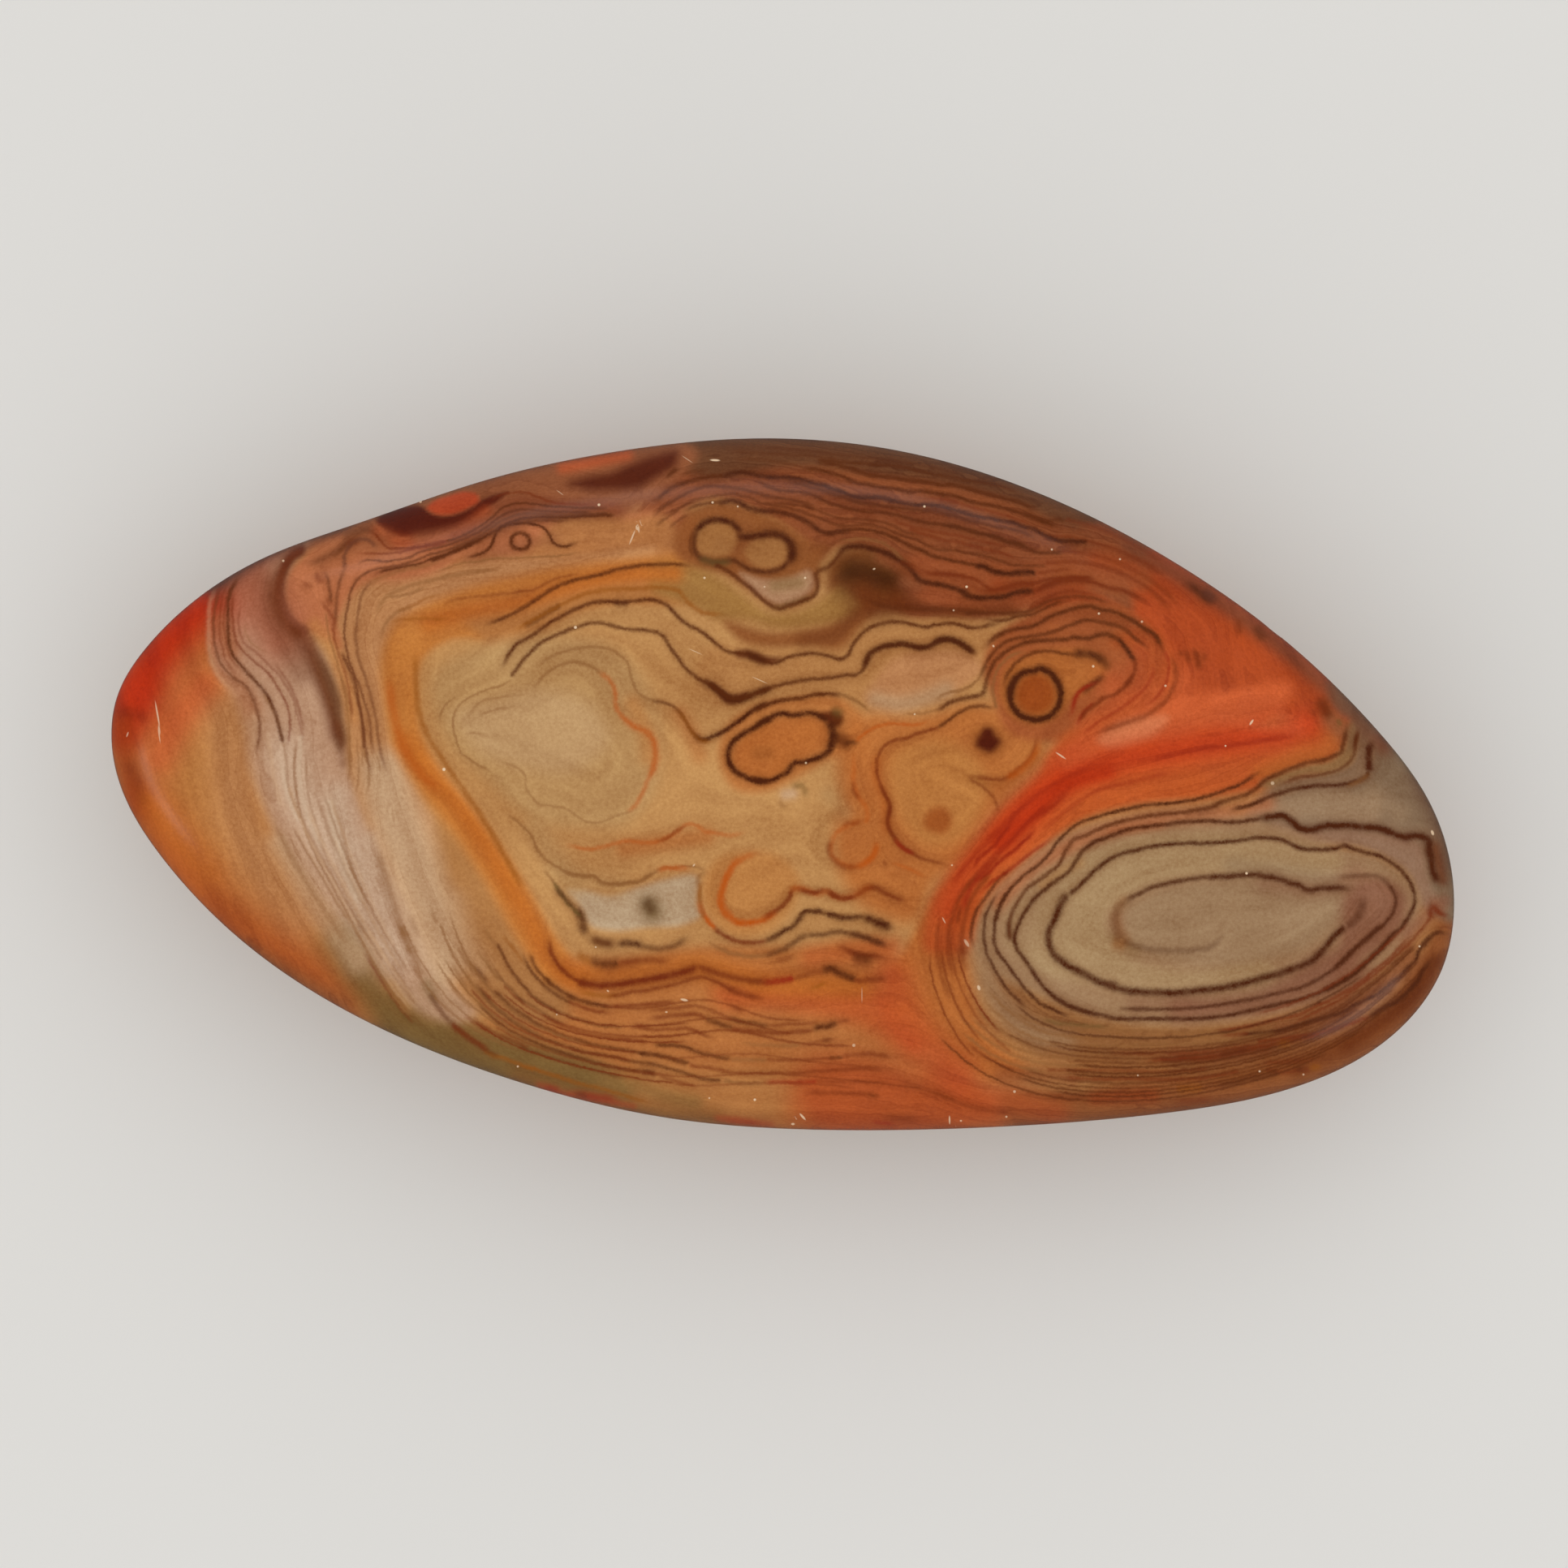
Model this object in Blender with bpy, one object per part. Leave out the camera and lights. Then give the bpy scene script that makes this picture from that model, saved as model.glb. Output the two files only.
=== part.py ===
"""A polished banded agate pebble: one solid stone with a domed face, a rounded girdle and a small ground flat under it.

The stone lies on the flat, its face up. +X runs along its length towards the end with the oval eye, and +Y across it.
"""

import math

import bmesh
import bpy
import numpy as np

# Driving dimensions, in metres.
LENGTH = 0.055
HEIGHT = 0.0132
GIRDLE_HEIGHT = 0.0060
GIRDLE_WAVE = 0.00045
CROWN_LEAN = 0.0004

# The face's outline, read by eye in pixels of a photograph that looks straight down on it, clockwise from the red tip.
RED_TIP = (138, 912)
EYE_TIP = (1791, 1106)
OUTLINE_PIXELS = [
    RED_TIP,
    (146, 855),
    (179, 800),
    (240, 740),
    (320, 690),
    (440, 645),
    (600, 591),
    (760, 556),
    (930, 540),
    (1100, 554),
    (1280, 608),
    (1440, 689),
    (1600, 804),
    (1700, 904),
    (1760, 987),
    EYE_TIP,
    (1776, 1195),
    (1715, 1276),
    (1600, 1338),
    (1440, 1371),
    (1200, 1390),
    (1000, 1392),
    (820, 1377),
    (640, 1333),
    (440, 1252),
    (300, 1160),
    (200, 1056),
    (152, 976),
]

# The section is a superellipse, from the girdle up to the crown's peak and down to the edge of the flat.
SECTION_POWER = 2.3
FLAT_SHARE = 0.42
PEAK_RING_SHARE = 0.035

AROUND = 112
SAMPLES_PER_STEP = 8
CROWN_RINGS = 18
UNDER_RINGS = 11

STONE_COLOUR = (0.52, 0.24, 0.10, 1.0)
STONE_ROUGHNESS = 0.22


def closed_spline(points, count):
    """count points on the smooth closed cubic curve through the given points, evenly spaced by chord length."""
    following = np.roll(points, -1, axis=0)
    chord = np.linalg.norm(following - points, axis=1)
    size = len(points)
    matrix = np.zeros((size, size))
    for i in range(size):
        matrix[i, i - 1] += 1 / chord[i - 1]
        matrix[i, i] += 2 / chord[i - 1] + 2 / chord[i]
        matrix[i, (i + 1) % size] += 1 / chord[i]
    pull = (following - points) / chord[:, None] ** 2
    tangents = np.linalg.solve(matrix, 3 * (pull + np.roll(pull, 1, axis=0)))
    knots = np.concatenate([[0], np.cumsum(chord)])
    wanted = np.arange(count) / count * knots[-1]
    i = np.searchsorted(knots, wanted, side="right") - 1
    j = (i + 1) % size
    t = ((wanted - knots[i]) / chord[i])[:, None]
    leave, arrive = tangents[i] * chord[i][:, None], tangents[j] * chord[i][:, None]
    hold_start, hold_end = 2 * t**3 - 3 * t**2 + 1, 3 * t**2 - 2 * t**3
    return points[i] * hold_start + points[j] * hold_end + leave * (t**3 - 2 * t**2 + t) + arrive * (t**3 - t**2)


def rim_points():
    """The girdle's points seen from above, at real size, with the two tips along X and the origin mid-box."""
    along, down = EYE_TIP[0] - RED_TIP[0], EYE_TIP[1] - RED_TIP[1]
    tilt = math.atan2(down, along)
    turn = np.array([[math.cos(tilt), math.sin(tilt)], [math.sin(tilt), -math.cos(tilt)]])
    curve = closed_spline(np.array(OUTLINE_PIXELS, float) @ turn.T, AROUND * SAMPLES_PER_STEP)
    low, high = curve.min(axis=0), curve.max(axis=0)
    metres = (curve - (low + high) / 2) * (LENGTH / (high[0] - low[0]))
    # A photograph's rows run down, so the points run clockwise seen from above, and are turned round here.
    return metres[::-SAMPLES_PER_STEP]


def section(reach):
    """Height of the superellipse at this share of the way out: 1 in the middle and 0 at the girdle."""
    return max(0.0, 1 - reach**SECTION_POWER) ** (1 / SECTION_POWER)


def girdle_height(rim):
    """The girdle rises and dips a little round the stone, as on a hand-polished pebble."""
    around = math.atan2(rim[1], rim[0])
    return GIRDLE_HEIGHT + GIRDLE_WAVE * math.sin(2 * around + 0.6)


def crown_point(rim, reach):
    """A point of the domed face, which leans a little towards the eye's end."""
    x, y = rim * reach
    rise = section(reach)
    lean = CROWN_LEAN * rise * reach * x / (LENGTH / 2)
    return x, y, girdle_height(rim) * (1 - rise) + HEIGHT * rise + lean


def under_point(rim, reach):
    """A point of the underside, which is level with the flat at FLAT_SHARE of the way out."""
    x, y = rim * reach
    return x, y, girdle_height(rim) * (1 - section(reach) / section(FLAT_SHARE))


def ring_reaches(rings, innermost):
    """How far out each ring lies, from the girdle inwards: closest together where the side is steep."""
    start = math.asin(innermost ** (SECTION_POWER / 2))
    angles = np.linspace(math.pi / 2, start, rings + 1)
    return np.sin(angles) ** (2 / SECTION_POWER)


def add_rings(mesh, girdle, rims, place, reaches):
    """Rings of vertices inwards from the girdle, with a band of faces to each. Returns the last ring."""
    outer = girdle
    for reach in reaches[1:]:
        inner = [mesh.verts.new(place(rim, reach)) for rim in rims]
        for i in range(AROUND):
            j = (i + 1) % AROUND
            mesh.faces.new([outer[i], outer[j], inner[j], inner[i]])
        outer = inner
    return outer


def build_stone():
    rims = rim_points()
    mesh = bmesh.new()
    girdle = [mesh.verts.new((x, y, girdle_height((x, y)))) for x, y in rims]
    last_crown = add_rings(mesh, girdle, rims, crown_point, ring_reaches(CROWN_RINGS, PEAK_RING_SHARE))
    peak = mesh.verts.new((0, 0, HEIGHT))
    for i in range(AROUND):
        mesh.faces.new([last_crown[i], last_crown[(i + 1) % AROUND], peak])
    flat_edge = add_rings(mesh, girdle, rims, under_point, ring_reaches(UNDER_RINGS, FLAT_SHARE))
    mesh.faces.new(flat_edge)
    bmesh.ops.recalc_face_normals(mesh, faces=mesh.faces)
    data = bpy.data.meshes.new("agate")
    mesh.to_mesh(data)
    mesh.free()
    data.shade_smooth()
    stone = bpy.data.objects.new("agate", data)
    bpy.context.scene.collection.objects.link(stone)
    return stone


def agate_material():
    material = bpy.data.materials.new("banded_agate")
    material.use_nodes = True
    shader = material.node_tree.nodes["Principled BSDF"]
    shader.inputs["Base Color"].default_value = STONE_COLOUR
    shader.inputs["Roughness"].default_value = STONE_ROUGHNESS
    shader.inputs["Metallic"].default_value = 0.0
    return material


def main():
    for thing in list(bpy.data.objects):
        bpy.data.objects.remove(thing, do_unlink=True)
    stone = build_stone()
    stone.data.materials.append(agate_material())


main()
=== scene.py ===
"""Looks of a polished banded agate pebble: its banded surface, a pale floor, soft studio light and a camera.

The bands are only colour. Each is a stroke read from a photograph that looks straight down on the
stone, in that photograph's pixels (1932 across). The stone's vertices carry how far they lie from the nearest
strokes, and the material draws the fine lines from that. Lengths of the stone itself are in metres.
"""

import math

import bpy
import numpy as np
from mathutils.geometry import delaunay_2d_cdt
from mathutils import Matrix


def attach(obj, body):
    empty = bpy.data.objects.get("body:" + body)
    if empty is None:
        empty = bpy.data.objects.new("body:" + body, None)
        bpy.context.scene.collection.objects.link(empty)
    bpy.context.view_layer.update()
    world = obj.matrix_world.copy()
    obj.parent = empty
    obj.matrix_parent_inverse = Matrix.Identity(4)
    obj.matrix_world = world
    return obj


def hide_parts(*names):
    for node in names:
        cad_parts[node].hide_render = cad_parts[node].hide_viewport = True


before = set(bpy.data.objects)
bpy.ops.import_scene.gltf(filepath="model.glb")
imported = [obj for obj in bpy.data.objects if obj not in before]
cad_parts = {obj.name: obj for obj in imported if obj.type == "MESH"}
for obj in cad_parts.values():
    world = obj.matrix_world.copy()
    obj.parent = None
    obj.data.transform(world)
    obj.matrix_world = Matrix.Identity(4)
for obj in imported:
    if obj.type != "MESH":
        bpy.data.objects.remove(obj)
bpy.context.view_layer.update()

# The stone's shape, with the same measures as its solid.
LENGTH = 0.055
HEIGHT = 0.0132
GIRDLE_HEIGHT = 0.0060
GIRDLE_WAVE = 0.00045
CROWN_LEAN = 0.0004
MILLIMETRES = 1000.0
SECTION_POWER = 2.3
FLAT_SHARE = 0.42
# Where round the stone the girdle's wave begins, in radians.
GIRDLE_PHASE = 0.6
RED_TIP = (138, 912)
EYE_TIP = (1791, 1106)
OUTLINE_PIXELS = [
    RED_TIP, (146, 855), (179, 800), (240, 740), (320, 690), (440, 645), (600, 591), (760, 556),
    (930, 540), (1100, 554), (1280, 608), (1440, 689), (1600, 804), (1700, 904), (1760, 987), EYE_TIP,
    (1776, 1195), (1715, 1276), (1600, 1338), (1440, 1371), (1200, 1390), (1000, 1392), (820, 1377),
    (640, 1333), (440, 1252), (300, 1160), (200, 1056), (152, 976),
]
OUTLINE_SAMPLES = 896

# Spacing of the mesh's points, in the photograph's pixels.
FACE_SPACING = 4.3
UNDER_SPACING = 9.9
GIRDLE_POINTS = 1000
FLAT_EDGE_POINTS = 150
# Each side's share of the height of the stone's square map, and where its middle lies.
MAP_HALF = 0.48
FACE_MAP_MIDDLE = 0.75
UNDER_MAP_MIDDLE = 0.25
# How much room the steep side takes on the flat layout of each half.
WALL_STRETCH = 0.25
UNDER_STRETCH = 0.4
# The side of the square of lattice points that each half is cut from, in stone lengths.
LATTICE_SIDE = 3.2
# How far the lattice stays from the girdle on each side, and from the flat's edge, in about its own spacings.
FACE_RIM_GAP = 0.6
UNDER_RIM_GAP = 0.5
FLAT_EDGE_GAP = 0.5
# Steps of the tables of the section and of the rim.
SECTION_STEPS = 400
RIM_STEPS = 4001
TINY = 1e-9

# The photograph's frame and the camera over it.
FRAME_PIXELS = 1932
LENS_MM = 300.0
SENSOR_MM = 36.0
CAMERA_CLIP = (0.01, 20.0)

# Below the girdle the bands lean sideways with depth, as they do in a stone cut across its layers.
BAND_LEAN = (0.75, -0.5)

# How the fine lines are drawn, in the photograph's pixels. From WIDE on, a stroke is part of the soft ground.
WIDE = 6.5
FAR = 60.0
EMPTY_WIDTH = 2.0
LAYER_GAP = 5.0
# The longest that a line takes to fade at its end, also as a share of its length, and where another line
# carries it on.
END_FADE = 24.0
END_SHARE = 0.35
JOIN_FADE = 12.0
SAME_LINE = 3.5
# How far from its middle a line is drawn in full, and where it is nothing: share of its half width, and
# pixels more.
LINE_FULL = (1.2, 2.5)
LINE_END = (1.7, 4.0)
NEAR_MARGIN = 8.0
# How steeply a fine line, a wash and a wide stroke fall off from their middles.
LINE_FALL = 2.3
WASH_FALL = 2.2
WIDE_FALL = 2.4
# Straight pieces that the smooth curve between two points of a stroke is drawn with.
PATH_STEPS = 4
# The soft brown stain round a dark line: its half width in the line's own, how strong it is, and its colour.
HALO_WIDTH = 2.5
HALO_STRENGTH = 0.28
HALO_TINTS = ("bark", "umber", "sepia", "cocoa", "rust", "plum", "olive")
HALO_COLOUR = (118, 62, 28)
HALO_REACH = 2.2

# Faint streaks that flow along the bands: the size of their grain and how far they are drawn out, in pixels.
FLOW_CELL = 8.0
FLOW_LOW = (60.0, 460.0)
FLOW_SIZE = (226, 130)
FLOW_STEP = 5.0
FLOW_START = (1.0, 0.3)
# How far a stroke's direction spreads, in cells, and how much each spread counts.
FLOW_SPREADS = ((1.2, 1.0), (3.0, 0.2), (8.0, 0.02), (22.0, 0.002))
BELL_REACH = 3
# Just inside the last cell of a grid.
LAST_CELL = 1.001
# Size of the grain, how far it is drawn out, and its seed.
BROAD_STREAKS = (20.0, 130.0, 7)
FINE_STREAKS = (8.0, 80.0, 8)
STREAK_LIMIT = 1.5
STREAK_CONTRAST = 0.09
FINE_STREAK_CONTRAST = 0.045
LAYER_CONTRAST = 1.1
MOTTLE_CONTRAST = 0.4
GRAIN_CONTRAST = 0.8
# How much more the green and blue change than the red.
STAIN = (0.7, 1.0, 1.25)

# Patterns in the surface: repeats to a millimetre, detail and roughness.
WAVE_NOISE = (2.6, 2.0)
FEATHER_NOISE = (11.0, 2.0)
MOTTLE_NOISE = (0.32, 5.0, 0.66)
GRAIN_NOISE = (7.0, 3.0, 0.7)
SMEAR_NOISE = (0.9, 3.0, 0.6)
LAYER_NOISE = {"Scale": 1.4, "Detail": 2.0}
# How far a line's edges wander, in pixels, and how its darkness varies: share of the pattern, and least.
WAVE_PIXELS = 1.5
FEATHER_PIXELS = 1.7
WAVE_DARKNESS = (0.7, 0.7)
FEATHER_DARKNESS = (0.5, 0.78)

# Finish of the stone.
ROUGHNESS = 0.2
SMEAR_ROUGHNESS = 0.14
GRAIN_ROUGHNESS = 0.12
SPECK_AND_GLINT_ROUGHNESS = 0.35
AGATE_IOR = 1.54
SPECULAR_LEVEL = 0.25
# What the polish reflects of the room, which the colours leave room for, and the darkest linear value.
POLISH_VEIL = 0.009
DARKEST = 0.001
# The white of the bright specks and scratches, and of the painted glints of the polish.
SPECK_AND_GLINT_WHITE = (235, 205, 170)
# Where a bright speck, scratch or painted glint fades, in its own half widths, and how far round one its marks
# are kept, in pixels.
SPECK_AND_GLINT_EDGE = (0.55, 1.1)
SPECK_AND_GLINT_FAR = 9.0
SPECK_AND_GLINT_ROOM = 12.0
SPECK_AND_GLINT_CLEAR = 7.0
# Polishing pits, and how much the grain and the specks and painted glints stand out beside their depth.
PITS_PER_MM = 2.2
PIT_EDGE = (0.02, 0.09)
GRAIN_HEIGHT = 0.25
SPECK_AND_GLINT_HEIGHT = -0.6
BUMP_STRENGTH = 0.25
BUMP_DEPTH = 0.00004
# The waviness of hand polishing: its depth, the height where it begins and how soon it is full, and of each
# wave its share, its turns in radians to a millimetre along and across, and its phase.
WEAR_DEPTH = 0.000012
WEAR_FROM = 0.001
WEAR_RISE = 0.004
WEAR_WAVES = [(1.0, 0.71, 0.4, 1.0), (0.7, -0.5, 1.1, 2.1), (0.4, 1.7, -0.9, 0.0)]
# A small worn chip in the rim.
CHIP_PIXELS = (1567, 778)
CHIP_RADIUS = 24.0
CHIP_HEIGHT = 0.0012
CHIP_DEPTH = 0.00014

# The room: a floor, an even sky that the polish mirrors only dimly, and long low lamps.
FLOOR_SIDE = 3.0
FLOOR_TONES = ((0.72, 0.715, 0.70, 1), (0.76, 0.755, 0.74, 1))
FLOOR_CLOUDS = (14.0, 3.0)
FLOOR_ROUGHNESS = (0.1, 0.75)
FLOOR_SPECULAR = 0.2
SKY_COLOUR = (1.0, 0.99, 0.97, 1)
SKY_SIDE = 1.10
SKY_TOP = 0.62
SKY_CAP = (0.80, 0.93)
SKY_MIRRORED = 0.12
FLOOR_MIRRORED = (0.10, 0.098, 0.096, 1)
# Name, azimuth and elevation in degrees, distance, width and height in metres, and power in watts.
LAMPS = [
    ("lamp_back", 97, 8, 1.0, 0.9, 0.12, 0.5),
    ("lamp_left", 205, 10, 1.0, 0.5, 0.12, 0.4),
    ("lamp_right", -38, 10, 1.0, 0.5, 0.12, 0.4),
]

# Tints of the fine lines, as display colours.
TINTS = {
    "bark": (82, 41, 12),
    "umber": (94, 47, 18),
    "sepia": (82, 42, 22),
    "cocoa": (110, 60, 36),
    "rust": (120, 50, 18),
    "tan": (140, 92, 52),
    "ochre": (150, 84, 24),
    "olive": (108, 84, 46),
    "orange": (184, 84, 24),
    "red": (148, 42, 12),
    "plum": (92, 52, 40),
    "pale": (204, 164, 126),
    "white": (214, 190, 162),
}

# Tones of the ground under the lines, as display colours.
TONES = {
    "scarlet": (180, 50, 24),
    "blood": (180, 52, 12),
    "vermilion": (195, 62, 30),
    "brick": (156, 60, 26),
    "ember": (172, 72, 36),
    "coral": (186, 86, 42),
    "flame": (200, 92, 50),
    "salmon": (210, 122, 80),
    "salmon_brown": (180, 106, 68),
    "orange": (190, 104, 40),
    "burnt_orange": (171, 84, 39),
    "pumpkin": (190, 118, 56),
    "marigold": (190, 124, 70),
    "amber": (185, 121, 64),
    "tawny": (183, 106, 52),
    "ginger": (172, 98, 48),
    "honey": (187, 136, 83),
    "apricot": (186, 130, 84),
    "sand": (182, 140, 91),
    "grey_sand": (181, 144, 107),
    "cream": (193, 156, 120),
    "peach": (184, 142, 112),
    "pale_peach": (183, 126, 82),
    "ivory": (197, 165, 138),
    "patch_white": (186, 158, 126),
    "eye_tan": (158, 122, 88),
    "eye_cream": (170, 138, 99),
    "eye_beige": (155, 123, 91),
    "pink_grey": (130, 104, 80),
    "dove": (155, 124, 94),
    "olive": (128, 97, 55),
    "tan": (172, 113, 64),
    "walnut": (144, 94, 55),
    "mauve": (168, 98, 72),
    "mauve_brown": (136, 89, 67),
    "dusk": (92, 60, 52),
    "clay": (146, 86, 55),
    "grey_brown": (106, 67, 44),
    "sienna": (139, 75, 45),
    "fan_tan": (182, 112, 60),
    "arch_glow": (162, 84, 48),
    "rust": (146, 82, 38),
    "rim_rust": (143, 83, 46),
    "dark_rust": (105, 50, 20),
    "maroon": (92, 34, 6),
    "deep_brown": (80, 46, 22),
    "arch_brown": (140, 80, 42),
    "ring_tan": (164, 110, 62),
    "pocket_tan": (176, 132, 98),
    "moss_gold": (158, 112, 60),
    "orange_nodule": (188, 110, 54),
    "spot_rust": (148, 68, 28),
    "brown": (134, 72, 46),
    "bundle_amber": (168, 114, 66),
    "dark_olive": (122, 92, 52),
    "rim_olive": (126, 84, 44),
    "rim_mauve": (122, 68, 46),
    "corner_brown": (136, 70, 50),
    "smoke": (113, 82, 62),
    "ember_brown": (162, 86, 48),
    "lens_brown": (90, 36, 6),
    "band_brown": (86, 36, 8),
    "band_umber": (108, 66, 40),
    "lens_red": (182, 74, 42),
    "patch_brown": (88, 38, 8),
    "blob_brown": (90, 38, 8),
    "belt": (150, 112, 72),
    "belt_pink": (136, 105, 79),
    "belt_orange": (176, 92, 42),
    "lilac_tan": (146, 110, 86),
}

# How strongly the fine layering shows in each tone, where it isn't DEFAULT_LAYERING.
DEFAULT_LAYERING = 0.18
LAYERING = {
    "sienna": 1.0,
    "grey_brown": 1.0,
    "walnut": 0.8,
    "rim_rust": 0.9,
    "tawny": 0.35,
    "ginger": 0.6,
    "coral": 0.5,
    "ember": 0.6,
    "tan": 0.3,
    "peach": 0.5,
    "cream": 0.45,
    "apricot": 0.5,
    "ivory": 0.4,
    "clay": 0.6,
    "salmon_brown": 0.5,
    "mauve": 0.6,
    "mauve_brown": 0.4,
    "vermilion": 0.5,
    "flame": 0.35,
    "amber": 0.12,
    "honey": 0.12,
    "sand": 0.1,
    "burnt_orange": 0.4,
}

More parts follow.
